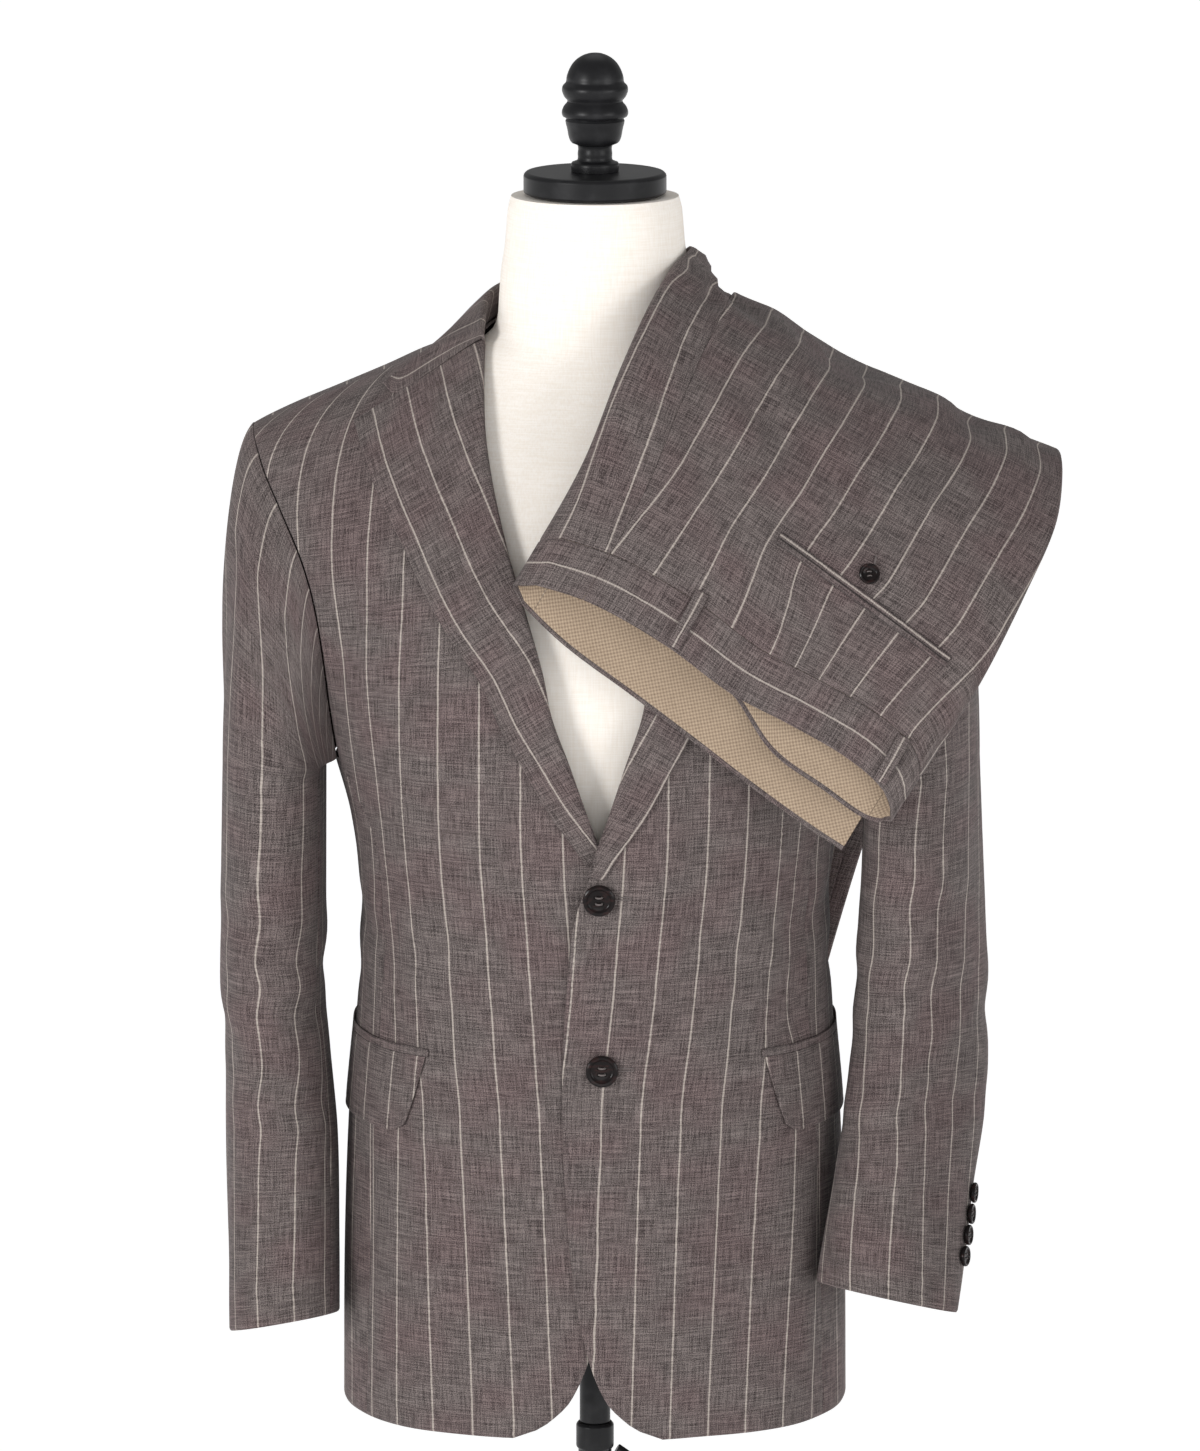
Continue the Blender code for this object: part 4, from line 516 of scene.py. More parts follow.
def along(rows, at, column):
    """A named column's value at a place, on a smooth curve through the table's rows."""
    if at <= rows[0][0]:
        return getattr(rows[0], column)
    if at >= rows[-1][0]:
        return getattr(rows[-1], column)
    index = next(i for i in range(len(rows) - 1) if at <= rows[i + 1][0])
    low, high = rows[index], rows[index + 1]
    before = rows[max(index - 1, 0)]
    after = rows[min(index + 2, len(rows) - 1)]
    span = high[0] - low[0]
    t = (at - low[0]) / span
    start, end = getattr(low, column), getattr(high, column)
    leave = span * (end - getattr(before, column)) / (high[0] - before[0])
    arrive = span * (getattr(after, column) - start) / (after[0] - low[0])
    return smooth(start, leave, end, arrive, t)


def power(value, exponent):
    """A signed power, for rounded-square sections."""
    return math.copysign(abs(value) ** exponent, value)


def ease(value):
    """A soft step from 0 to 1."""
    value = min(1.0, max(0.0, value))
    return value * value * (3 - 2 * value)


def shoulder_height(x):
    return along(SHOULDER, abs(x), "height")


def climb(level):
    """The angle that a level has climbed from the chest over the shoulder."""
    return min(pi / 2, max(0.0, (level - CHEST) / SHOULDER_RISE))


def level_of(angle):
    """The level that has climbed by this angle, in degrees."""
    return CHEST + SHOULDER_RISE * radians(angle)


def height_at(x, level):
    """The height of a level where it crosses x."""
    if level <= CHEST:
        return level
    return CHEST + (shoulder_height(x) - CHEST) * sin(climb(level))


def level_at(x, height):
    """The level that passes through a place on the front."""
    if height <= CHEST:
        return height
    part = min(1.0, (height - CHEST) / (shoulder_height(x) - CHEST))
    return CHEST + SHOULDER_RISE * math.asin(part)


def body_depths(level):
    """The front and back depth of the jacket at a level."""
    front, back = along(BODY, level, "front"), along(BODY, level, "back")
    rise = sin(climb(level))
    front *= max(0.0, 1 - rise**FRONT_CROWN) ** (1 / FRONT_CROWN)
    back *= max(0.0, 1 - rise**BACK_CROWN) ** (1 / BACK_CROWN)
    return front, back


def body_point(turn, level):
    """A point of the jacket's outer surface; turn runs from the centre front, positive to the left."""
    exponent = 2 / along(BODY, level, "squareness")
    front, back = body_depths(level)
    x = along(BODY, level, "half_width") * power(sin(turn), exponent)
    forward = power(cos(turn), exponent)
    y = -forward * (front if forward > 0 else back)
    return Vector((x, y, height_at(x, level)))


def body_normal(turn, level):
    """The outward direction there."""
    across = body_point(turn + 0.004, level) - body_point(turn - 0.004, level)
    rise = body_point(turn, min(level + 0.002, TOP)) - body_point(turn, level - 0.002)
    return across.cross(rise).normalized()


def turn_at(x, level, behind=False):
    """How far round the body a place at x lies at a level."""
    part = min(1.0, abs(x) / along(BODY, level, "half_width"))
    turn = math.asin(part ** (along(BODY, level, "squareness") / 2))
    if behind:
        turn = pi - turn
    return math.copysign(turn, x)


def on_body(turn, level, lift=0.0):
    """A point and its normal, lifted off the jacket's surface."""
    normal = body_normal(turn, level)
    return body_point(turn, level) + normal * (lift + body_crease(turn, level)), normal


def on_front(x, height, lift=0.0):
    """The same for a place on the front, by x and height."""
    level = level_at(x, height)
    return on_body(turn_at(x, level), level, lift)


def closing_x(height):
    return along(CLOSING, height, "x")


def lap(side, x, height):
    """How far the left front stands off, where it laps over the right one."""
    if side < 0:
        return 0.0
    fade = 1 - ease((x - LAP_FLAT) / (LAP_FADE - LAP_FLAT))
    return along(LAP_LIFT, height, "lift") * fade


def front_edge_x(side, height):
    """The front edge, or above the buttons the crease of the lapel."""
    return closing_x(height) + side * along(FRONT_EDGE, height, "reach")


def front_start(side, level):
    """The turn where a front panel starts at a level."""
    x = side * 0.05
    for _ in range(4):
        height = height_at(x, level)
        x = front_edge_x(side, height) + side * LAY_GAP * ease((height - LAPEL_LOW) / 0.02)
    return turn_at(x, level)


def armhole_turn(level, column, side):
    """The turn where the front or back panel ends at the armhole."""
    x = along(ARMHOLE, math.degrees(climb(level)), column)
    return turn_at(side * x, level, behind=column == "back")


def climb_levels():
    return [level_of(angle) for angle in CLIMBS]


def front_seam_turn(level, side):
    if level <= CHEST:
        return side * radians(along(FRONT_SEAM, level, "front"))
    return armhole_turn(level, "front", side)


def back_seam_turn(level, side):
    if level <= CHEST:
        return side * BACK_SEAM_TURN
    return armhole_turn(level, "back", side)


def side_turn(side, level, part):
    """A turn between a side panel's two seams."""
    front, back = front_seam_turn(level, side), side * BACK_SEAM_TURN
    return front + (back - front) * part


def armpit_level(level, part):
    """A side panel's level, let down into the armpit as it nears the top."""
    share = max(0.0, (level - ARMPIT_START) / (CHEST - ARMPIT_START))
    return level - ARMPIT_DIP * share * sin(pi * part)


def back_neck_turn(level, side):
    """The turn where a back panel ends, at the centre seam or along the neck."""
    angle = math.degrees(climb(level))
    if angle <= BACK_NECK[0].climb:
        return side * pi
    return turn_at(side * along(BACK_NECK, angle, "out"), level, behind=True)


def lapel_point(side, part, roll):
    """A point of a lapel: part runs up from the button, roll is a row of its section."""
    crease_z = LAPEL_LOW + (GORGE_IN - LAPEL_LOW) * part
    edge_z = LAPEL_LOW + (LAPEL_TIP - LAPEL_LOW) * part
    crease_x = closing_x(crease_z) + side * along(FRONT_EDGE, crease_z, "reach")
    edge_x = closing_x(edge_z) + side * along(LAPEL_EDGE, edge_z, "reach")
    x = crease_x + (edge_x - crease_x) * roll.across - side * roll.inward
    z = crease_z + (edge_z - crease_z) * roll.across
    crown = ease(part / LAPEL_CROWN)
    lift = roll.lift * crown + FLAT_LIFT * (1 - crown)
    if roll.lift < 0:
        lift = roll.lift
    return on_front(x, z, lift + lap(side, x, z))


def collar_section(side, part):
    """The points across the collar, from the neck seam up the stand, over the crease and down the leaf."""
    crease = Vector((side * along(COLLAR, part, "x"), along(COLLAR, part, "y"), along(COLLAR, part, "z")))
    ahead = Vector((side * along(COLLAR, part + 0.02, "x"), along(COLLAR, part + 0.02, "y"), 0))
    behind = Vector((side * along(COLLAR, part - 0.02, "x"), along(COLLAR, part - 0.02, "y"), 0))
    tangent = (ahead - behind).normalized()
    out = Vector((tangent.y, -tangent.x, 0)) * -side
    angle = along(COLLAR, part, "out_climb")
    back = angle > 90
    level = level_of(180 - angle if back else angle)
    edge_x = side * along(COLLAR, part, "out_x")
    edge, normal = on_body(turn_at(edge_x if edge_x else side * 1e-6, level, behind=back), level,
                           BODY_WALL + LAY_GAP)
    middle = (crease + edge) / 2 + (out + normal).normalized() * COLLAR_BULGE
    seam = neck_seam(side, part)
    top = crease + Vector((0, 0, COLLAR_FOLD * 0.6))
    inside = crease - out * COLLAR_FOLD
    outside = crease + out * COLLAR_FOLD
    leaf = [outside * (1 - t) ** 2 + middle * 2 * t * (1 - t) + edge * t * t for t in (0.3, 0.6, 0.85, 1.0)]
    return [seam, (seam + inside) / 2 - out * 0.0004, inside, top, outside] + leaf


def gorge_section(side):
    """The collar's end: along the lapel's top edge to the notch, then out to its own tip."""
    points = [lapel_point(side, 1.0, roll) for roll in LAPEL_ROLL]
    along_edge = (points[-1][0] - points[2][0]).normalized()
    up = points[4][1].cross(along_edge) * side
    up = up.normalized() * GORGE_GAP
    if up.z < 0:
        up = -up
    edge = [point + up for point, _ in points]
    first, second = LAPEL_ROLL[4].across, LAPEL_ROLL[5].across
    notch = edge[4].lerp(edge[5], (NOTCH_ACROSS - first) / (second - first))
    level = level_of(COLLAR[-1].out_climb)
    tip = on_body(turn_at(side * COLLAR[-1].out_x, level), level, BODY_WALL + LAY_GAP)[0]
    return [edge[0], edge[0].lerp(edge[1], 0.5), edge[1], edge[1].lerp(edge[2], 0.5), edge[2], edge[3],
            edge[4], notch, tip]


def neck_seam(side, part):
    """The neckline that the collar's stand rises from, just above the panels' edges."""
    if part <= 0.5:
        angle = NECK_BACK_CLIMB + (90 - NECK_BACK_CLIMB) * part / 0.5
        level = level_of(angle)
        x = along(BACK_NECK, angle, "out")
        turn = turn_at(side * max(x, 1e-6), level, behind=True)
    else:
        height = NECK_SEAM_TOP - (NECK_SEAM_TOP - GORGE_IN) * (part - 0.5) / 0.5
        level = level_at(NECK_SEAM_OUT, height)
        turn = front_start(side, level)
    return on_body(turn, level)[0] + Vector((0, 0, NECK_SEAM_LIFT))


def armhole_point(side, around):
    """A point of the armhole's rim: around runs from the shoulder, down the front and up the back."""
    around %= 1.0
    if around <= RIM_FRONT:
        level = CHEST + SHOULDER_RISE * (pi / 2) * (1 - around / RIM_FRONT)
        return on_body(armhole_turn(level, "front", side), level)
    if around >= RIM_BACK:
        level = CHEST + SHOULDER_RISE * (pi / 2) * ((around - RIM_BACK) / (1 - RIM_BACK))
        return on_body(armhole_turn(level, "back", side), level)
    part = (around - RIM_FRONT) / (RIM_BACK - RIM_FRONT)
    return on_body(side_turn(side, CHEST, part), armpit_level(CHEST, part))


def sleeve_ring(side, table, around, run):
    """A point of a sleeve below the armpit; around 0 is its outer side and 0.25 its front."""
    angle = 2 * pi * around
    exponent = 2 / SLEEVE_SQUARENESS
    x = along(table, run, "narrow") * power(cos(angle), exponent)
    y = -along(table, run, "deep") * power(sin(angle), exponent)
    lean = Matrix.Rotation(radians(along(table, run, "roll")), 3, "Y")
    lean = lean @ Matrix.Rotation(radians(-along(table, run, "pitch")), 3, "X")
    lean = lean @ Matrix.Rotation(radians(-along(table, run, "turn")), 3, "Z")
    point = lean @ Vector((x, y, 0))
    centre = Vector((along(table, run, "out"), along(table, run, "ahead"), along(table, run, "height")))
    point += centre
    return Vector((side * point.x, point.y, point.z))


def sleeve_point(side, table, around, station):
    """A point of a sleeve: station runs from -1 at the armhole to 0 at the armpit, then down."""
    if station >= 0:
        return sleeve_ring(side, table, around, station)
    t = station + 1
    rim, normal = armhole_point(side, around)
    under = max(0.0, -cos(2 * pi * around)) ** 6
    rim = rim + Vector((side * SEAM_GAP, 0, 0)) + normal * (SEAM_GAP + ARMPIT_CLEARANCE * under)
    ring = sleeve_ring(side, table, around, 0.0)
    length = (rim - ring).length
    high = max(0.0, cos(2 * pi * around))
    leave = Vector((side * (CAP_SIDE + (CAP_OUT - CAP_SIDE) * high), normal.y * CAP_SWELL, -CAP_DROP))
    leave *= min(1, length / CAP_FULL)
    arrive = Vector((0, 0, -CAP_ARRIVE * length))
    return smooth(rim, leave, ring, arrive, t)


def sleeve_normal(side, table, around, station):
    """The outward direction of a sleeve."""
    near = max(-1.0, station - 0.004)
    across = (sleeve_point(side, table, around + 0.004, station)
              - sleeve_point(side, table, around - 0.004, station))
    down = sleeve_point(side, table, around, station + 0.004) - sleeve_point(side, table, around, near)
    return across.cross(down).normalized() * side


def axis_place(point, normal):
    """A placement whose Z follows a normal."""
    return Matrix.Translation(point) @ normal.to_track_quat("Z", "Y").to_matrix().to_4x4()


def back_line(drop):
    """The middle of the legs as they swing down the back: x, z and lean at a drop from the ridge."""
    steps = 24
    x = RIDGE_X + MIDDLE * cos(RIDGE_SLOPE)
    z = RIDGE_Z - MIDDLE * sin(RIDGE_SLOPE)
    for i in range(steps):
        lean = radians(along(SWING, drop * (i + 0.5) / steps, "angle"))
        x -= sin(lean) * drop / steps
        z -= cos(lean) * drop / steps
    return x, z, radians(along(SWING, drop, "angle"))


def width_at(across, reach):
    """How far from the left fold's line a thread lies at a reach, as the legs narrow."""
    left, right = along(SPREAD, reach, "left"), along(SPREAD, reach, "right")
    return left + (right - left) * across / WIDTH


def across_at(width, reach):
    """The thread that lies that far from the left fold's line at a reach."""
    left, right = along(SPREAD, reach, "left"), along(SPREAD, reach, "right")
    return (width - left) / (right - left) * WIDTH


def drape_point(across, reach):
    """A point of the trousers' nearest layer; reach is negative in front of the ridge."""
    width = width_at(across, reach)
    drop, depth = along(DRAPE, reach, "drop"), along(DRAPE, reach, "depth")
    sag = along(RIDGE_DIP, across, "depth") * math.exp(-(reach / DIP_REACH) ** 2)
    if reach <= 0:
        lean = RIDGE_SLOPE
        x = RIDGE_X + width * cos(lean) - (drop + sag) * sin(lean)
        z = RIDGE_Z - width * sin(lean) - (drop + sag) * cos(lean)
        return Vector((x, depth, z))
    x, z, lean = back_line(drop)
    x += (width - MIDDLE) * cos(lean) - sag * sin(lean)
    z -= (width - MIDDLE) * sin(lean) + sag * cos(lean)
    return Vector((x, depth, z))


def drape_frame(across, reach):
    """The direction out of the nearest layer, and the one across it."""
    side = (drape_point(across + 0.002, reach) - drape_point(across - 0.002, reach)).normalized()
    over = drape_point(across, reach + 0.003) - drape_point(across, reach - 0.003)
    return side.cross(over).normalized(), side


def layer(reach, column):
    return along(LAYERS, reach, column)


def left_fold(top, deep):
    """Threads round the left fold, from the nearest layer to the far one."""
    radius = (deep - top) / 2
    return [Thread(radius - radius * sin(a), top + radius - radius * cos(a), -a, a / pi)
            for a in FOLD_TURNS]


def right_fold(deep):
    """Threads round the right fold, from the nearest layer to the middle one."""
    radius = deep / 2
    return [Thread(WIDTH - radius + radius * sin(a), radius - radius * cos(a), a, a / pi)
            for a in FOLD_TURNS]


def back_right_threads(reach):
    """From the seat seam, under the left leg behind the ridge, round the left fold to the side seam."""
    top, deep = layer(reach, "strip"), layer(reach, "far")
    start = SEAT_SEAM + (STRIP_UNDER - SEAT_SEAM) * ease((reach - STRIP_START) / STRIP_SPAN)
    return ([Thread(start, top, 0.0, 0.0), Thread(ACROSS[0], top, 0.0, 0.0)] + left_fold(top, deep)
            + [Thread(RIGHT_SIDE_SEAM, deep, pi, 1.0)])


def front_right_threads(reach):
    """The far layer, from the right side seam."""
    places = (RIGHT_SIDE_SEAM,) + ACROSS[:-1] + (FAR_END,)
    return [Thread(across, layer(reach, "far"), pi, 1.0) for across in places]


def back_left_threads(reach):
    """From the seat seam across the nearest layer and round the right fold to the left side seam."""
    near = [Thread(across, 0.0, 0.0, 0.0) for across in ACROSS[1:]]
    deep = layer(reach, "near")
    return near + right_fold(deep) + [Thread(LEFT_SIDE_SEAM, deep, pi, 1.0)]


def front_left_threads(reach):
    """The middle layer, from the left side seam to the fly, and behind the ridge to the inseam."""
    share = ease((reach - FLY_START) / FLY_SPAN)
    sliding = [fly + (inseam - fly) * share for fly, inseam in zip(FLY_SIDE, INSEAM_SIDE)]
    places = [LEFT_SIDE_SEAM] + [across for across in reversed(ACROSS) if across > FLY_CLEAR] + sliding
    return [Thread(across, layer(reach, "near"), pi, 1.0) for across in places]


def reach_at(drop):
    """How far in front of the ridge a drop lies."""
    rows = [row for row in DRAPE if row.reach <= 0]
    index = next(i for i in range(len(rows) - 1) if rows[i + 1].drop <= drop)
    high, low = rows[index], rows[index + 1]
    return high.reach + (low.reach - high.reach) * (high.drop - drop) / (high.drop - low.drop)


def waist_reach(thread, other):
    """Where the waist edge lies on a thread, as a reach."""
    across = min(WIDTH, max(0.0, thread.across))
    near = along(WAIST, across, "near")
    return reach_at(near + (along(WAIST, across, other) - near) * thread.share)


def off_neck(point, margin):
    """The move that takes a point out of the form's neck."""
    wide = along(TORSO, point.z, "half_width") + margin
    deep = along(TORSO, point.z, "back" if point.y > 0 else "front") + margin
    size = math.hypot(point.x / wide, point.y / deep)
    if size >= 1 or point.z < NECK_LOW:
        return Vector()
    return Vector((point.x, point.y, 0)) * (1 / size - 1)


def on_trousers(thread, reach, inset=0.0):
    """A thread's point and outward direction at a reach."""
    normal, side = drape_frame(thread.across, reach)
    point = drape_point(thread.across, reach) - normal * thread.depth
    outward = normal * cos(thread.angle) + side * sin(thread.angle)
    point = point - outward * inset
    moves = [off_neck(point, NECK_CLEARANCE), off_neck(point - outward * TROUSER_WALL, NECK_CLEARANCE)]
    return point + max(moves, key=lambda move: move.length), outward


def curve(points, copies, axis):
    """A grid of points made finer along one axis, on a smooth curve through the ones it has."""
    points = np.moveaxis(np.asarray(points, float), axis, 0)
    before = np.concatenate([points[:1] * 2 - points[1:2], points[:-1]])
    after = np.concatenate([points[1:], points[-1:] * 2 - points[-2:-1]])
    slope = (after - before) / 2
    result = []
    for i in range(len(points) - 1):
        for k in range(copies):
            result.append(smooth(points[i], slope[i], points[i + 1], slope[i + 1], k / copies))
    result.append(points[-1])
    return np.moveaxis(np.array(result), 0, axis)


def finer(values, step):
    """A rising list with places added evenly, so that no gap is wider than the step."""
    result = []
    for low, high in zip(values, values[1:]):
        count = max(1, math.ceil((high - low) / step - 1e-6))
        result += [low + (high - low) * k / count for k in range(count)]
    return result + [values[-1]]


def crease_depth(row, across, rise):
    """How far one crease moves the cloth at a place: a soft trough with a ridge along one side."""
    lean = radians(row.lean)
    length = across * cos(lean) + rise * sin(lean)
    width = (rise * cos(lean) - across * sin(lean)) / row.wide
    reach = (length / row.long) ** 2
    if reach > 6 or abs(width) > 4:
        return 0.0
    width += 0.35 * sin(length / row.long * 2.1 + row.depth * 900)
    return row.depth * math.exp(-reach) * (0.6 * math.exp(-(width - 1.7) ** 2) - math.exp(-width * width))


def body_crease(turn, level):
    degrees = math.degrees(turn)
    total = 0.0
    for row in BODY_CREASES:
        if abs(level - row.level) > CREASE_FAR:
            continue
        apart = (degrees - row.turn + 180) % 360 - 180
        total += crease_depth(row, apart * BODY_ARC, level - row.level)
    return total * ease((CREASE_TOP - level) / CREASE_FADE)


def sleeve_crease(table, around, station):
    """A sleeve's creases; a station above the armpit counts the cap as CAP_LONG."""
    run = station if station > 0 else station * CAP_LONG
    total = 0.0
    for row in table:
        apart = (around * 360 - row.turn + 180) % 360 - 180
        total += crease_depth(row, apart * SLEEVE_ARC, row.run - run)
    calm = CUFF_CALM * ease((run - CUFF_CALM_START) / CUFF_CALM_SPAN)
    return total * (ease((station + 1) / CAP_FADE) * (1 - calm))


def leg_crease(across, reach):
    return sum(crease_depth(row, across - row.across, row.reach - reach) for row in LEG_CREASES)


@lru_cache(maxsize=None)
def ring_arcs(level):
    """The length round the jacket from the centre front, at each 2 degrees of turn."""
    points = np.array([body_point(radians(a), level) for a in range(0, 181, 2)])
    return np.concatenate([[0], np.cumsum(np.linalg.norm(np.diff(points, axis=0), axis=1))])


def arc_at(turn, level):
    """A place's length round the jacket from the centre front."""
    return float(np.interp(math.degrees(abs(turn)), np.arange(0, 181, 2), ring_arcs(round(level, 4))))


def stripe_number(table, key, numbers, place, pitch=PITCH):
    """The number of the stripe at a place, from a table of the places of the stripes with these numbers."""
    places = [along(table, key, column) for column in table[0]._fields[1:]]
    places = [places[0] - BEYOND * pitch, *places, places[-1] + BEYOND * pitch]
    return float(np.interp(place, places, [numbers[0] - BEYOND, *numbers, numbers[-1] + BEYOND]))


def front_stripe(side, turn, level):
    """Where the stripes of a front run: a whole number of pitches lies on a stripe."""
    arc = arc_at(turn, level) * (1 if turn * side >= 0 else -1)
    over = max(0.0, math.degrees(climb(level)) - BEND_START) / (90 - BEND_START)
    arc += BEND * over**BEND_POWER * abs(body_point(turn, level).x) / BEND_OUT
    number = (arc - along(FRONT_GRAIN, level, "first")) / along(FRONT_GRAIN, level, "step")
    table = LEFT_STRIPES if side > 0 else RIGHT_STRIPES
    return stripe_number(table, level, (2, 4, 5, 6), number, 1.0) * PITCH


def sleeve_stripe(side, arc, station):
    """Where the stripes of a sleeve run, from the length round it and the station down it."""
    table = LEFT_SLEEVE_GRAIN if side > 0 else RIGHT_SLEEVE_GRAIN
    return stripe_number(table, station, (0, 1, 2), arc) * PITCH


def back_stripe(turn, level):
    arc = ring_arcs(round(level, 4))[-1] - arc_at(turn, level)
    return (arc - along(BACK_GRAIN, level, "first")) / along(BACK_GRAIN, level, "step") * PITCH


def lengths(points, axis):
    """The running length along one axis of a grid of points."""
    steps = np.linalg.norm(np.diff(points, axis=axis), axis=2)
    start = np.zeros_like(np.take(steps, [0], axis=axis))
    return np.concatenate([start, np.cumsum(steps, axis=axis)], axis=axis)


def directions(points):
    """The direction square to a grid of points, at each of them."""
    normals = np.cross(np.gradient(points, axis=1), np.gradient(points, axis=0))
    return normals / (np.linalg.norm(normals, axis=2, keepdims=True) + 1e-12)


def from_edge(grid, edge):
    """A view of a grid whose first column lies along the edge that is named."""
    if edge in ("first", "last"):
        grid = grid.swapaxes(0, 1)
    return grid[:, ::-1] if edge in ("end", "last") else grid


def beside(grid, edge, share):
    """A grid with one more line of points, close inside the edge that is named."""
    grid = from_edge(grid, edge)
    extra = grid[:, :1] + (grid[:, 1:2] - grid[:, :1]) * share
    grid = np.concatenate([grid[:, :1], extra, grid[:, 1:]], axis=1)
    if edge in ("end", "last"):
        grid = grid[:, ::-1]
    return grid.swapaxes(0, 1) if edge in ("first", "last") else grid


def edge_line(points, stitched):
    """For each point the distance from the nearest stitched edge, and the length along that edge."""
    away = np.full(points.shape[:2], 1.0)
    ahead = np.zeros(points.shape[:2])
    across, down = lengths(points, 1), lengths(points, 0)
    choices = {"start": (across, down), "end": (across[:, -1:] - across, down),
               "first": (down, across), "last": (down[-1:] - down, across)}
    for edge in stitched:
        distance, length = choices[edge]
        nearer = distance < away
        away = np.where(nearer, distance, away)
        ahead = np.where(nearer, length, ahead)
    return np.stack([away, ahead], axis=2)


def cloth(name, points, pattern, wall, toward, material, sewn=(), folded=(), stitched=(), line=None):
    """A wall of cloth from a grid of points on its outer face, with its edges closed.

    pattern holds a place on the flat cloth for each point, in metres. A sewn edge dips into its
    seam, and a folded one is rounded. line is how near each point is to a line of painted shade,
    drawn dark along a dart or beside a pocket jet.
    """
    wall = np.broadcast_to(np.asarray(wall, float).reshape(-1, 1), points.shape[:2])[:, :, None]
    line = np.zeros(points.shape[:2]) if line is None else line
    away = edge_line(points, stitched)
    outward = 1 if (directions(points) * toward).sum() > 0 else -1
    grids = [points, pattern, wall, line[:, :, None], away]
    for edge in (*sewn, *folded):
        grids = [beside(grid, edge, EDGE_SHARE) for grid in grids]
    points, pattern, wall, line, away = grids
    normals = directions(points) * outward
    drop, raise_inner = np.zeros(wall.shape), np.zeros(wall.shape)
    for edge in sewn:
        from_edge(drop, edge)[:, 0] = SEAM_DIP
    for edge in folded:
        for moved in (drop, raise_inner):
            from_edge(moved, edge)[:, 0] = from_edge(wall, edge)[:, 0] * EDGE_ROUND
    stitch = np.exp(-((away[:, :, :1] - STITCH_IN) / STITCH_WIDE) ** 2) * STITCH_DIP
    outer = points - normals * (drop + stitch)
    inner = points - normals * (wall - raise_inner)
    return wall_object(name, outer, inner, pattern, away, line, material)


def wall_object(name, outer, inner, pattern, away, line, material):
    """The mesh of a wall between two grids of points."""
    count, width = outer.shape[:2]
    total = count * width
    index = np.arange(total).reshape(count, width)
    a, b, c, d = index[:-1, :-1], index[:-1, 1:], index[1:, 1:], index[1:, :-1]
    front = np.stack([a, b, c, d], axis=2).reshape(-1, 4)
    faces = [front, front[:, ::-1] + total]
    for rim in (index[0, :], index[:, -1], index[-1, ::-1], index[::-1, 0]):
        faces.append(np.stack([rim[:-1], rim[:-1] + total, rim[1:] + total, rim[1:]], axis=1))
    faces = np.concatenate(faces)
    vertices = np.concatenate([outer.reshape(-1, 3), inner.reshape(-1, 3)])
    mesh = bpy.data.meshes.new(name)
    mesh.from_pydata(vertices.tolist(), [], faces.tolist())
    corners = vertices[faces]
    one, two, three = (corners[:, k] - corners[:, 0] for k in (1, 2, 3))
    volume = np.einsum("ij,ij->", corners[:, 0], np.cross(one, two) + np.cross(two, three))
    if volume < 0:
        mesh.flip_normals()
    loops = np.empty(len(mesh.loops), dtype=np.int32)
    mesh.loops.foreach_get("vertex_index", loops)
    for layer_name, grid in (("cloth", pattern), ("edge", away)):
        values = np.tile(grid.reshape(-1, 2), (2, 1))[loops]
        mesh.uv_layers.new(name=layer_name).data.foreach_set("uv", values.ravel())
    # How near each point is to a line of painted shade, which the finish draws dark
    attribute = mesh.attributes.new("seam_line", "FLOAT", "POINT")
    attribute.data.foreach_set("value", np.tile(line.ravel(), 2))
    mesh.shade_smooth()
    mesh.set_sharp_from_angle(angle=radians(SHARP))
    mesh.materials.append(material)
    return linked(name, mesh)


def linked(name, mesh):
    """A new object for a mesh, in the scene."""
    item = bpy.data.objects.new(name, mesh)
    bpy.context.scene.collection.objects.link(item)
    return item


def closed_rings(name, vertices, sides, material):
    """A smooth skin over rings of points, closed at both ends."""
    count = len(vertices) // sides
    faces = []
    for i in range(count - 1):
        for j in range(sides):
            k = (j + 1) % sides
            faces.append((i * sides + j, i * sides + k, (i + 1) * sides + k, (i + 1) * sides + j))
    faces.append(tuple(range(sides - 1, -1, -1)))
    faces.append(tuple((count - 1) * sides + j for j in range(sides)))
    mesh = bpy.data.meshes.new(name)
    mesh.from_pydata(vertices, [], faces)
    mesh.shade_smooth()
    mesh.materials.append(material)
    return linked(name, mesh)


def settle(piece, nodes):
    """Put a piece in the frame, in place of the solids that it stands for."""
    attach(piece, "root")
    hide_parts(*nodes)
    return piece


def suit_piece(node, name, *walls, **edges):
    """A wall of the suit's cloth, in place of one solid."""
    return settle(cloth(name, *walls, **edges), [node])


def grid_of(rows):
    """Grids of points and outward directions from rows of pairs of both."""
    points = np.array([[point[:] for point, normal in row] for row in rows])
    normals = np.array([[normal[:] for point, normal in row] for row in rows])
    return points, normals


def side_word(side):
    return "left" if side > 0 else "right"


def body_panel(start, end, levels, columns, lift=None):
    """Rows of a body panel between two turns that follow the level, with the turn at each point."""
    rows, turns = [], []
    for level in levels:
        first, last = start(level), end(level)
        turn_row = [first + (last - first) * j / columns for j in range(columns + 1)]
        row = []
        for turn in turn_row:
            point, normal = on_body(turn, level)
            if lift:
                point = point + normal * lift(point.x, point.z)
            row.append((point, normal))
        rows.append(row)
        turns.append(turn_row)
    return rows, turns


def pattern_grid(points, across):
    """A flat place for each point: the given place across, and the length down the cloth."""
    down = lengths(points, 0).mean(axis=1)
    return np.stack([np.array(across), np.repeat(down[:, None], points.shape[1], axis=1)], axis=2)


def seam_gap(points, edges, gap=SEAM_GAP):
    """Draw sewn edges back by half a seam gap."""
    points = points.copy()
    for edge in edges:
        view = from_edge(points, edge)
        step = view[:, 1] - view[:, 0]
        view[:, 0] += step / np.linalg.norm(step, axis=1, keepdims=True) * gap / 2
    return points


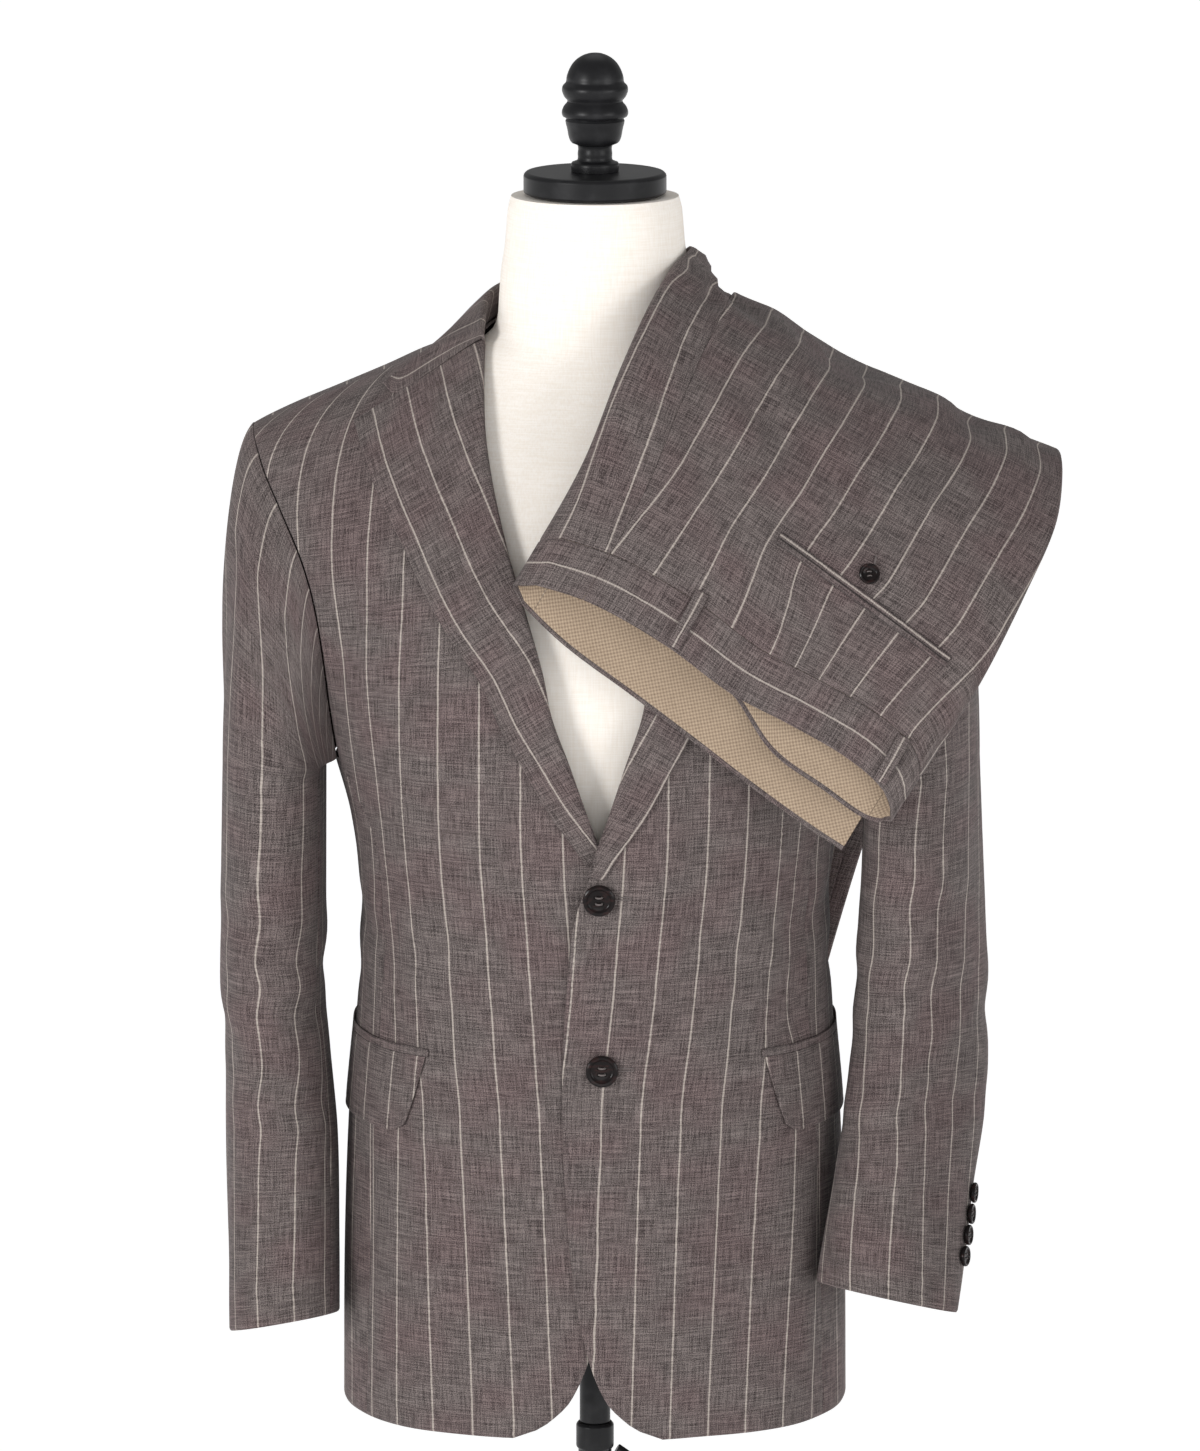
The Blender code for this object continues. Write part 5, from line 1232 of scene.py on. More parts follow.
def dart_nearness(points):
    """How near each point of a front is to its waist dart, which ends above and below in a point; the finish
    paints shade there as a dark line.
    """
    x, z = np.abs(points[:, :, 0]), points[:, :, 2]
    apart = np.abs(x - np.interp(z, [DART.low, DART.high], [DART.low_x, DART.high_x]))
    beyond = np.maximum(0, np.maximum(DART.low - z, z - DART.high))
    return np.clip(1 - np.hypot(apart, beyond) / LINE_REACH, 0, 1)


def make_front(side, sizes, suit):
    levels = finer(list(SKIRT_LEVELS) + climb_levels(), sizes.cloth_step)
    rows, turns = body_panel(lambda level: front_start(side, level),
                             lambda level: front_seam_turn(level, side),
                             levels, FRONT_COLUMNS, lambda x, z: lap(side, x, z))
    points, normals = grid_of(rows)
    across = [[front_stripe(side, turn, level) for turn in row] for row, level in zip(turns, levels)]
    # The dart is drawn as a line of painted shade
    return suit_piece(f"jacket_front_{side_word(side)}", f"front_{side_word(side)}",
                      seam_gap(points, ("end", "last")), pattern_grid(points, across), BODY_WALL, normals,
                      suit, sewn=("end", "last"), folded=("start", "first"), stitched=("start",),
                      line=dart_nearness(points))


def make_side(side, sizes, suit):
    levels = finer(list(PLAIN_LEVELS), sizes.cloth_step)
    rows, across = [], []
    for level in levels:
        row, places = [], []
        for j in range(SIDE_COLUMNS + 1):
            part = j / SIDE_COLUMNS
            turn = side_turn(side, level, part)
            row.append(on_body(turn, armpit_level(level, part)))
            places.append(arc_at(turn, level) - SIDE_MIDDLE)
        rows.append(row)
        across.append(places)
    points, normals = grid_of(rows)
    return suit_piece(f"jacket_side_{side_word(side)}", f"side_{side_word(side)}",
                      seam_gap(points, ("start", "end")), pattern_grid(points, across), BODY_WALL, normals,
                      suit, sewn=("start", "end", "last"), folded=("first",))


def make_back(side, sizes, suit):
    levels = finer(list(PLAIN_LEVELS) + climb_levels(), sizes.cloth_step)
    rows, turns = body_panel(lambda level: back_seam_turn(level, side),
                             lambda level: back_neck_turn(level, side), levels, BACK_COLUMNS)
    points, normals = grid_of(rows)
    across = [[back_stripe(turn, level) for turn in row] for row, level in zip(turns, levels)]
    return suit_piece(f"jacket_back_{side_word(side)}", f"back_{side_word(side)}",
                      seam_gap(points, ("start", "end", "last")), pattern_grid(points, across), BODY_WALL,
                      normals, suit, sewn=("start", "end", "last"), folded=("first",))


def make_lapel(side, suit):
    rolls = [Roll(*row) for row in curve(LAPEL_ROLL, LAPEL_FINER, 0)]
    parts = [LAPEL_START + (1 - LAPEL_START) * i / LAPEL_STEPS for i in range(LAPEL_STEPS + 1)]
    points, normals = grid_of([[lapel_point(side, part, roll) for roll in rolls] for part in parts])
    inward = lengths(points, 1)
    inward = inward[:, -1:] - inward
    first = np.array([along(LAPEL_GRAIN, part, side_word(side)) for part in parts])
    return suit_piece(f"lapel_{side_word(side)}", f"lapel_{side_word(side)}_cloth", points,
                      pattern_grid(points, inward - first[:, None]), LAPEL_WALL, normals, suit,
                      sewn=("last",), folded=("end", "first"), stitched=("end",))


def make_collar(suit):
    parts = [i / 8 for i in range(8)]
    sections = [gorge_section(-1)]
    sections += [collar_section(-1, part) for part in reversed(parts)]
    sections += [collar_section(1, part) for part in parts[1:]]
    sections += [gorge_section(1)]
    points = curve(curve([[point[:] for point in section] for section in sections], 8, 0), 4, 1)
    down = lengths(points, 0)
    # The stripes cross the collar, so their place runs with its length from each front end
    length = np.minimum(down, down[-1:] - down)[:, COLLAR_MEASURE:COLLAR_MEASURE + 1]
    across = np.repeat(length - COLLAR_STRIPE, points.shape[1], axis=1)
    pattern = np.stack([across, lengths(points, 1)], axis=2)
    up = np.zeros(points.shape)
    up[:, :, 2] = 1
    return suit_piece("collar", "collar_cloth", points, pattern, LAPEL_WALL, up, suit, sewn=("start",),
                      folded=("end", "first", "last"), stitched=("end",))


def make_sleeve(kind, side, table, creases, start, end, columns, sizes, suit):
    """One of a sleeve's two pieces, from one seam round to the other."""
    caps = finer([step - 1 for step in CAP_STEPS] + [0.0], sizes.cloth_step * 4)
    stations = caps + finer(list(SLEEVE_RUNS) + [table[-1].run], sizes.cloth_step)[1:]
    rows, depths = [], []
    for station in stations:
        arounds = [start + (end - start) * j / columns for j in range(columns + 1)]
        rows.append([(sleeve_point(side, table, around % 1.0, station),
                      sleeve_normal(side, table, around % 1.0, station)) for around in arounds])
        depths.append([sleeve_crease(creases, around, station) for around in arounds])
    points, normals = grid_of(rows)
    points = points + normals * np.array(depths)[:, :, None]
    from_start = lengths(points, 1)
    middle = round(-columns * start / (end - start) if kind == "top" else columns * 0.5)
    across = from_start - from_start[:, middle:middle + 1]
    if kind == "top":
        across = [[sleeve_stripe(side, arc, station) for arc in row]
                  for row, station in zip(across, stations)]
    return suit_piece(f"sleeve_{kind}_{side_word(side)}", f"sleeve_{kind}_{side_word(side)}_cloth",
                      seam_gap(points, ("start", "end"), 3 * SEAM_GAP), pattern_grid(points, across),
                      SLEEVE_WALL, normals, suit, sewn=("start", "end", "first"), folded=("last",))


def make_flap(side, suit):
    rows, across = [], []
    for i in range(FLAP_STEPS + 1):
        part = i / FLAP_STEPS
        row, places = [], []
        first = turn_at(side * (FLAP_FRONT + FLAP_SLANT * part), FLAP_TOP)
        for j in range(POCKET_COLUMNS + 1):
            turn = first + (side * FLAP_BACK_TURN - first) * j / POCKET_COLUMNS
            corner = FLAP_CORNER * max(0.0, 1 - j / 4.5) ** 2 * part**3
            level = FLAP_TOP - FLAP_DEEP * part + corner
            row.append(on_body(turn, level, FLAP_WALL + LAY_GAP + FLAP_LIFT * part))
            places.append(front_stripe(side, turn, FLAP_TOP))
        rows.append(row)
        across.append(places)
    points, normals = grid_of(rows)
    return suit_piece(f"pocket_flap_{side_word(side)}", f"flap_{side_word(side)}", points,
                      pattern_grid(points, across), FLAP_WALL, normals, suit, sewn=("first",),
                      folded=("start", "end", "last"), stitched=("start", "end", "last"))


def make_jet(side, suit):
    rows = []
    for i in range(JET_STEPS + 1):
        level = FLAP_TOP + SEAM_GAP + JET_DEEP * i / JET_STEPS
        first = turn_at(side * (FLAP_FRONT - JET_BEYOND), level)
        turns = [first + (side * FLAP_BACK_TURN - first) * j / POCKET_COLUMNS
                 for j in range(POCKET_COLUMNS + 1)]
        rows.append([on_body(turn, level, FLAP_WALL + LAY_GAP) for turn in turns])
    points, normals = grid_of(rows)
    pattern = np.stack([lengths(points, 0) + PITCH / 3, lengths(points, 1)], axis=2)
    return suit_piece(f"pocket_jet_{side_word(side)}", f"jet_{side_word(side)}", points, pattern,
                      FLAP_WALL, normals, suit, folded=("first", "last", "start", "end"))


def same_facing(one, other):
    return math.isclose(cos(one.angle), cos(other.angle), abs_tol=1e-6)


def fine_threads(threads):
    """A list of threads with more between them, the same number of them at every reach."""
    counts = []
    reference = threads(WAIST_REACH)
    for low, high in zip(reference, reference[1:]):
        apart = math.hypot(high.across - low.across, high.depth - low.depth)
        counts.append(max(1 if same_facing(low, high) else 2, math.ceil(apart / THREAD_STEP)))

    def finer_threads(reach):
        rows = threads(reach)
        fine = []
        for index, count in enumerate(counts):
            low, high = rows[index], rows[index + 1]
            for k in range(count):
                if same_facing(low, high):
                    level = high._replace(angle=low.angle)
                    fine.append(Thread(*(a + (b - a) * k / count for a, b in zip(low, level))))
                else:
                    fine.append(round_the_fold(low, high, k / count))
        return fine + [rows[-1]]

    return finer_threads


def round_the_fold(low, high, t):
    """A thread on the arc between two others whose angles differ."""
    turn = high.angle - low.angle
    chord = Vector((high.across - low.across, high.depth - low.depth))
    radius = chord.length / (2 * sin(abs(turn) / 2))
    angle = low.angle + turn * t
    centre = Vector((low.across - radius * sin(low.angle), low.depth + radius * cos(low.angle)))
    return Thread(centre.x + radius * sin(angle), centre.y - radius * cos(angle), angle,
                  low.share + (high.share - low.share) * t)


def leg_stripe(word, reach, travelled):
    """Where the stripes of a leg run, from its length across and its drop below the ridge."""
    if word not in LEG_GRAIN:
        return travelled
    table, numbers = LEG_GRAIN[word]
    drop = along(DRAPE, reach, "drop") if reach < 0 else 0.0
    return stripe_number(table, drop, numbers, travelled) * PITCH


def leg_grid(threads, places, inset=0.0):
    """Points and directions for threads at each of the places given for them."""
    rows = []
    for reaches in places:
        row = []
        for index, reach in enumerate(reaches):
            thread = threads(reach)[index]
            point, outward = on_trousers(thread, reach, inset)
            facing = drape_frame(thread.across, reach)[0]
            row.append((point + facing * leg_crease(thread.across, reach), outward))
        rows.append(row)
    return grid_of(rows)


def leg_across(word, threads, places, points):
    """The place of each point of a leg panel across its stripes."""
    across = []
    sign = 1 if threads(0.0)[3].across > threads(0.0)[0].across else -1
    for reaches, line in zip(places, lengths(points, 1)):
        start = width_at(threads(reaches[0])[0].across, reaches[0])
        across.append([leg_stripe(word, reach, start + sign * place) for reach, place in zip(reaches, line)])
    return across


def make_leg(word, plain_threads, other, thick, seams, sizes, suit):
    threads = cached_threads(fine_threads(plain_threads))
    base = threads(WAIST_REACH)
    places = []
    for step in range(YOKE_STEPS * 5):
        share = step / (YOKE_STEPS * 5)
        row = []
        for thread in base:
            seam = waist_reach(thread, other) + BAND
            row.append(seam + (PANEL_REACHES[0] - seam) * share)
        places.append(row)
    for reach in finer(list(PANEL_REACHES), sizes.cloth_step * 1.25):
        places.append([reach] * len(base))
    points, normals = leg_grid(threads, places)
    across = leg_across(word, threads, places, points)
    wall = [layer(np.mean(row), thick) if thick else TROUSER_WALL for row in places]
    return suit_piece(f"trouser_{word}", f"leg_{word}", seam_gap(points, seams + ("first",)),
                      pattern_grid(points, across), wall, normals, suit, sewn=seams + ("first",),
                      folded=("last",))


def cached_threads(threads):
    store = {}

    def look_up(reach):
        if reach not in store:
            store[reach] = threads(reach)
        return store[reach]

    return look_up


def make_band(word, plain_threads, other, seams, suit, beige):
    """A panel's part of the waistband, and the waist curtain inside it."""
    threads = cached_threads(fine_threads(plain_threads))
    edge = [waist_reach(thread, other) for thread in threads(WAIST_REACH)]
    places = [[reach + BAND * k / BAND_STEPS for reach in edge] for k in range(BAND_STEPS + 1)]
    points, normals = leg_grid(threads, places)
    pattern = np.stack([lengths(points, 0) - BAND / 2, lengths(points, 1)], axis=2)
    band = cloth(f"band_{word}", seam_gap(points, seams + ("last",)), pattern, TROUSER_WALL, normals, suit,
                 sewn=seams + ("last",), folded=("first",))
    settle(band, [f"waistband_{word}"])
    places = []
    for k in range(BAND_STEPS + CURTAIN_STEPS + 1):
        row = []
        for reach in edge:
            beyond = (PANEL_REACHES[0] - reach - BAND) / YOKE_STEPS
            start = reach + CURTAIN_INSET
            row.append(start + (BAND + reach - start) * min(1.0, k / BAND_STEPS)
                       + beyond * max(0.0, (k - BAND_STEPS) / CURTAIN_STEPS))
        places.append(row)
    points, normals = leg_grid(threads, places, TROUSER_WALL + LAY_GAP)
    pattern = np.stack([lengths(points, 1), lengths(points, 0)], axis=2)
    curtain = cloth(f"curtain_{word}_cloth", seam_gap(points, seams), pattern, CURTAIN_WALL, normals, beige,
                    folded=("first", "last"))
    settle(curtain, [f"curtain_{word}"])
    return band, curtain


def on_leg(width, drop, lift):
    """A place on the nearest layer of the trousers with its creases, by its drop from the ridge."""
    reach = reach_at(drop)
    across = across_at(width, reach)
    normal = drape_frame(across, reach)[0]
    return drape_point(across, reach) + normal * lift + normal * leg_crease(across, reach), normal


def make_belt_loop(index, loop, suit):
    rows = []
    for k in range(LOOP_STEPS + 1):
        share = k / LOOP_STEPS
        lift = LOOP_WALL + LAY_GAP + LOOP_RISE * sin(pi * share)
        drop = loop.high + (loop.low - loop.high) * share
        rows.append([on_leg(loop.across + (j / LOOP_COLUMNS - 0.5) * LOOP_WIDTH, drop, lift)
                     for j in range(LOOP_COLUMNS + 1)])
    points, normals = grid_of(rows)
    middle = lengths(points, 1) - LOOP_WIDTH / 2
    pattern = np.stack([middle, lengths(points, 0)], axis=2)
    return suit_piece(f"belt_loop_{index + 1}", f"loop_{index + 1}", points, pattern, LOOP_WALL, normals,
                      suit, folded=("start", "end", "first", "last"))


def make_trouser_jet(word, start, end, stripe, suit):
    rows = []
    for i in range(5):
        offset = start + (end - start) * i / 4
        row = []
        for k in range(POCKET_COLUMNS + 1):
            across = POCKET_START.across + (POCKET_END.across - POCKET_START.across) * k / POCKET_COLUMNS
            drop = POCKET_START.drop + (POCKET_END.drop - POCKET_START.drop) * k / POCKET_COLUMNS
            row.append(on_leg(across, drop - offset, LOOP_WALL + LAY_GAP))
        rows.append(row)
    points, normals = grid_of(rows)
    pattern = np.stack([lengths(points, 0) - POCKET_JET / 2 + stripe, lengths(points, 1)], axis=2)
    # Painted shade: a dark line along the jets' upper and lower edges, where the gaps between them would be
    # shaded
    line = np.repeat(JET_SHADE_LINE * abs(np.linspace(-1, 1, len(rows)))[:, None], points.shape[1], axis=1)
    return suit_piece(f"back_pocket_jet_{word}", f"trouser_jet_{word}", points, pattern, LOOP_WALL,
                      normals, suit, folded=("start", "end", "first", "last"), line=line)


def make_torso(linen):
    """The linen torso, smooth and whole, and clear of the cloth."""
    vertices = []
    for height in finer([row.height for row in TORSO], CLOTH_STEP):
        exponent = 2 / along(TORSO, height, "squareness")
        for j in range(TORSO_SIDES):
            angle = 2 * pi * j / TORSO_SIDES
            forward = power(cos(angle), exponent)
            x = along(TORSO, height, "half_width") * power(sin(angle), exponent)
            vertices.append((x, -forward * along(TORSO, height, "front" if forward > 0 else "back"), height))
    piece = closed_rings("torso", vertices, TORSO_SIDES, linen)
    piece.data.set_sharp_from_angle(angle=radians(SHARP))
    return settle(piece, ["form_torso"])


def plug(tree, source, socket):
    """Link a (node, output) pair to a socket."""
    tree.links.new(source[0].outputs[source[1]], socket)


def math_node(tree, operation, first, second=None, third=None, clamp=False):
    """A Math node on numbers or on (node, output) pairs."""
    node = tree.nodes.new("ShaderNodeMath")
    node.operation = operation
    node.use_clamp = clamp
    for index, value in enumerate((first, second, third)):
        if value is None:
            continue
        if isinstance(value, tuple):
            plug(tree, value, node.inputs[index])
        else:
            node.inputs[index].default_value = value
    return node, 0


def times(tree, first, second):
    return math_node(tree, "MULTIPLY", first, second)


def plus(tree, first, second):
    return math_node(tree, "ADD", first, second)


def less(tree, first, second):
    return math_node(tree, "SUBTRACT", first, second)


def mix_colours(tree, share, first, second):
    """A colour mixed from two, each a colour or an (node, output) pair."""
    node = tree.nodes.new("ShaderNodeMix")
    node.data_type = "RGBA"
    for index, value in ((0, share), (6, first), (7, second)):
        if isinstance(value, tuple) and len(value) == 2:
            plug(tree, value, node.inputs[index])
        elif index == 0:
            node.inputs[0].default_value = value
        else:
            node.inputs[index].default_value = (*value, 1.0)
    return node, 2


def noise(tree, vector, scale, detail=2.0, roughness=0.5):
    node = tree.nodes.new("ShaderNodeTexNoise")
    node.inputs["Scale"].default_value = scale
    node.inputs["Detail"].default_value = detail
    node.inputs["Roughness"].default_value = roughness
    plug(tree, vector, node.inputs["Vector"])
    return node, 0


def stretched(tree, vector, size):
    """A place scaled by its own amount along each axis."""
    node = tree.nodes.new("ShaderNodeMapping")
    node.inputs["Scale"].default_value = size
    plug(tree, vector, node.inputs["Vector"])
    return node, 0


def fibres(tree, vector, size, detail, roughness=0.5):
    """Noise that is drawn out by its own amount along each axis."""
    return noise(tree, stretched(tree, vector, size), 1.0, detail, roughness)


def object_place(tree):
    """A place in the object's own coordinates."""
    return tree.nodes.new("ShaderNodeTexCoord"), 3


def uv_place(tree, name):
    node = tree.nodes.new("ShaderNodeUVMap")
    node.uv_map = name
    return node, 0


def parts_of(tree, vector):
    node = tree.nodes.new("ShaderNodeSeparateXYZ")
    plug(tree, vector, node.inputs[0])
    return (node, 0), (node, 1)


def ramp(tree, value, low, high):
    """A soft step from 0 to 1 as a value goes from low to high."""
    node = tree.nodes.new("ShaderNodeMapRange")
    node.interpolation_type = "SMOOTHSTEP"
    node.inputs["From Min"].default_value = low
    node.inputs["From Max"].default_value = high
    plug(tree, value, node.inputs["Value"])
    return node, 0


def new_finish(name, roughness, sheen=0.0, gloss=0.3):
    material = bpy.data.materials.new(name)
    material.use_nodes = True
    shader = material.node_tree.nodes["Principled BSDF"]
    shader.inputs["Roughness"].default_value = roughness
    shader.inputs["Sheen Weight"].default_value = sheen
    shader.inputs["Sheen Roughness"].default_value = 0.45
    shader.inputs["Specular IOR Level"].default_value = gloss
    return material, material.node_tree, shader


def bump(tree, shader, height, distance, strength=1.0):
    node = tree.nodes.new("ShaderNodeBump")
    node.inputs["Strength"].default_value = strength
    node.inputs["Distance"].default_value = distance
    plug(tree, height, node.inputs["Height"])
    tree.links.new(node.outputs[0], shader.inputs["Normal"])


def worsted(name, sizes, colours):
    """Mottled worsted with slubs both ways, chalk stripes, pick stitching, and painted shade along the dart
    and the pocket jets.
    """
    material, tree, shader = new_finish(name, 0.90, sheen=0.06)
    place = uv_place(tree, "cloth")
    across = parts_of(tree, place)[0]
    # Yarns both ways, each thick and thin along its own length
    warp = ramp(tree, fibres(tree, place, (1100, 48, 1), 3.0, 0.6), 0.32, 0.68)
    weft = ramp(tree, fibres(tree, place, (48, 1100, 1), 3.0, 0.6), 0.32, 0.68)
    grain = ramp(tree, fibres(tree, place, (1500, 1500, 1), 1.0), 0.30, 0.70)
    both = times(tree, plus(tree, warp, weft), 0.28)
    yarns = ramp(tree, math_node(tree, "MULTIPLY_ADD", grain, 0.44, both), 0.12, 0.88)
    streak = ramp(tree, fibres(tree, place, (26, 620, 1), 1.0), 0.38, 0.66)
    cloud = ramp(tree, fibres(tree, place, (16, 22, 1), 1.5), 0.35, 0.68)
    ground = mix_colours(tree, yarns, colours.dark_yarn, colours.pale_yarn)
    tint = mix_colours(tree, yarns, colours.dark_tint, colours.pale_tint)
    tinted = mix_colours(tree, times(tree, cloud, 0.62), ground, tint)
    tinted = mix_colours(tree, times(tree, streak, 0.24), tinted, colours.dark_yarn)
    # A stripe lies wherever the place across is a whole number of pitches
    sway = less(tree, fibres(tree, place, (0, 26, 1), 2.0), 0.5)
    pitches = math_node(tree, "DIVIDE", plus(tree, across, times(tree, sway, 0.0011)), PITCH)
    part = math_node(tree, "FRACT", plus(tree, pitches, 0.5))
    beside_stripe = math_node(tree, "ABSOLUTE", less(tree, part, 0.5))
    half = sizes.stripe_width / PITCH / 2
    fringe = less(tree, fibres(tree, place, (900, 230, 1), 2.0), 0.5)
    edge = plus(tree, beside_stripe, times(tree, fringe, 0.030))
    stripe = less(tree, 1.0, ramp(tree, edge, half * 0.55, half * 1.25))
    worn = math_node(tree, "MULTIPLY_ADD", weft, 0.40, 0.40)
    stripe = times(tree, stripe, worn)
    chalk = mix_colours(tree, stripe, tinted, colours.stripe)
    # Stitches beside an edge, and painted shade: a dark line along the dart and along the pocket jets' edges
    away, ahead = parts_of(tree, uv_place(tree, "edge"))
    beside_stitch = math_node(tree, "ABSOLUTE", less(tree, away, STITCH_IN))
    row = less(tree, 1.0, ramp(tree, beside_stitch, 0.00015, 0.00060))
    dash = ramp(tree, math_node(tree, "PINGPONG", ahead, 0.0029), 0.0017, 0.0023)
    stitch = times(tree, row, dash)
    attribute = tree.nodes.new("ShaderNodeAttribute")
    attribute.attribute_name = "seam_line"
    # The attribute read here paints shade: a dark line in the stitch colour where the dart's groove and the
    # gaps beside the jets would be shaded
    line = ramp(tree, (attribute, 2), 0.93, 0.985)
    dark = math_node(tree, "MAXIMUM", times(tree, stitch, 0.55), times(tree, line, 0.62))
    base = mix_colours(tree, dark, chalk, colours.stitch)
    plug(tree, base, shader.inputs["Base Color"])
    height = plus(tree, times(tree, yarns, 0.55), times(tree, stripe, 0.35))
    height = less(tree, height, times(tree, dark, 1.4))
    bump(tree, shader, height, 0.00022, 0.8)
    return material


def canvas(name, colours):
    """Basket-woven canvas, two threads over two."""
    material, tree, shader = new_finish(name, 0.95, sheen=0.02)
    place = uv_place(tree, "cloth")
    across, down = parts_of(tree, place)
    turn = 2 * pi / CANVAS_STEP
    waves = times(tree, math_node(tree, "SINE", times(tree, across, turn)),
                  math_node(tree, "SINE", times(tree, down, turn)))
    woven = math_node(tree, "MULTIPLY_ADD", waves, 0.5, 0.5)
    slub = fibres(tree, place, (260, 700, 1), 2.0)
    share = math_node(tree, "MULTIPLY_ADD", slub, 0.45, times(tree, woven, 0.75), clamp=True)
    cloud = fibres(tree, place, (30, 45, 1), 1.5)
    base = mix_colours(tree, share, colours.canvas_dark, colours.canvas_pale)
    base = mix_colours(tree, times(tree, cloud, 0.3), base, colours.canvas_dark)
    plug(tree, base, shader.inputs["Base Color"])
    bump(tree, shader, woven, 0.0004, 0.8)
    return material


def linen_cover(name, colours):
    """Plain cream linen, close woven, with a few thicker threads."""
    material, tree, shader = new_finish(name, 0.95, sheen=0.02)
    place = object_place(tree)
    upright = fibres(tree, place, (900, 900, 60), 2.0)
    level = fibres(tree, place, (50, 50, 1100), 2.0)
    threads = math_node(tree, "MULTIPLY_ADD", upright, 0.5, times(tree, level, 0.5))
    cloud = noise(tree, place, 9.0, 2.0)
    base = mix_colours(tree, ramp(tree, threads, 0.3, 0.7), colours.linen_shade, colours.linen)
    base = mix_colours(tree, times(tree, cloud, 0.25), base, colours.linen_shade)
    plug(tree, base, shader.inputs["Base Color"])
    bump(tree, shader, threads, 0.0004, 0.6)
    return material


def horn(name, colours):
    """Polished dark horn with faint cloudy streaks."""
    material, tree, shader = new_finish(name, 0.20, gloss=0.12)
    streaks = fibres(tree, object_place(tree), (160, 160, 420), 3.0)
    base = mix_colours(tree, ramp(tree, streaks, 0.45, 0.75), colours.horn, colours.horn_streak)
    plug(tree, base, shader.inputs["Base Color"])
    bump(tree, shader, streaks, 0.00008, 0.3)
    return material


def satin_black(name, colours):
    """Black lacquer, satin, with a little orange peel and dust."""
    material, tree, shader = new_finish(name, 0.36, gloss=0.20)
    place = object_place(tree)
    dust = ramp(tree, noise(tree, place, 60.0, 4.0), 0.45, 0.85)
    base = mix_colours(tree, times(tree, dust, 0.5), colours.lacquer, colours.dust)
    plug(tree, base, shader.inputs["Base Color"])
    bump(tree, shader, noise(tree, place, 700.0, 2.0), 0.00006, 0.5)
    return material


def thread_finish(name, colours):
    """Twisted sewing thread."""
    material, tree, shader = new_finish(name, 0.7, sheen=0.2)
    twist = fibres(tree, object_place(tree), (2500, 900, 2500), 1.0)
    base = mix_colours(tree, twist, colours.stitch, colours.pale_yarn)
    plug(tree, base, shader.inputs["Base Color"])
    bump(tree, shader, twist, 0.0001, 0.6)
    return material


def floor_finish(name, colours):
    material, tree, shader = new_finish(name, 0.9)
    cloud = noise(tree, object_place(tree), 0.6)
    base = mix_colours(tree, times(tree, cloud, 0.15), colours.floor, colours.floor_shade)
    plug(tree, base, shader.inputs["Base Color"])
    shader.inputs["Emission Color"].default_value = (1.0, 1.0, 1.0, 1.0)
    shader.inputs["Emission Strength"].default_value = colours.floor_glow
    return material


def finish_named(name):
    """A material of the suit by its name, made the first time that it is asked for."""
    if name in bpy.data.materials and bpy.data.materials[name].get("suit_finish"):
        return bpy.data.materials[name]
    sizes, colours = bpy.context.scene.suit_sizes, bpy.context.scene.suit_colours
    if name in ("Worsted", "Trouser worsted"):
        material = worsted(name, sizes, colours)
    else:
        makers = {"Canvas": canvas, "Linen": linen_cover, "Horn": horn, "Satin black": satin_black,
                  "Thread": thread_finish, "Floor": floor_finish}
        material = makers[name](name, colours)
    material["suit_finish"] = True
    return material


def deselect():
    if bpy.context.mode != "OBJECT":
        bpy.ops.object.mode_set(mode="OBJECT")
    bpy.ops.object.select_all(action="DESELECT")


def pick(*items):
    """Select these objects alone, the first one active."""
    deselect()
    for item in items:
        item.select_set(True)
    bpy.context.view_layer.objects.active = items[0]


def turn_up(name, profile, sides, material):
    """Draw a disc up through a profile of (radius, height), as on a lathe."""
    deselect()
    radius, height = profile[0]
    bpy.ops.mesh.primitive_circle_add(vertices=sides, radius=radius, fill_type="NGON",
                                      location=(0, 0, height))
    item = bpy.context.active_object
    item.name = name
    bpy.ops.object.mode_set(mode="EDIT")
    bpy.ops.mesh.select_all(action="SELECT")
    for next_radius, next_height in profile[1:]:
        bpy.ops.mesh.extrude_region_move(TRANSFORM_OT_translate={"value": (0, 0, next_height - height)})
        scale = next_radius / radius
        bpy.ops.transform.resize(value=(scale, scale, 1), center_override=(0, 0, next_height))
        radius, height = next_radius, next_height
    bpy.ops.mesh.select_all(action="SELECT")
    bpy.ops.mesh.normals_make_consistent(inside=False)
    bpy.ops.object.mode_set(mode="OBJECT")
    bpy.ops.object.transform_apply(location=True, rotation=True, scale=True)
    bpy.ops.object.shade_smooth_by_angle(angle=TURNED_SHARP)
    item.data.materials.clear()
    item.data.materials.append(material)
    return item


def rounded(item, width, segments=2, angle=30):
    """Round an object's sharp edges."""
    pick(item)
    modifier = item.modifiers.new("Round", "BEVEL")
    modifier.width = width
    modifier.segments = segments
    modifier.limit_method = "ANGLE"
    modifier.angle_limit = radians(angle)
    bpy.ops.object.modifier_apply(modifier=modifier.name)
    bpy.ops.object.shade_smooth_by_angle(angle=TURNED_SHARP)
    return item


def put(item, place):
    """Move an object's mesh to its place, and leave the object at the origin."""
    item.data.transform(place)
    item.data.update()
    return item


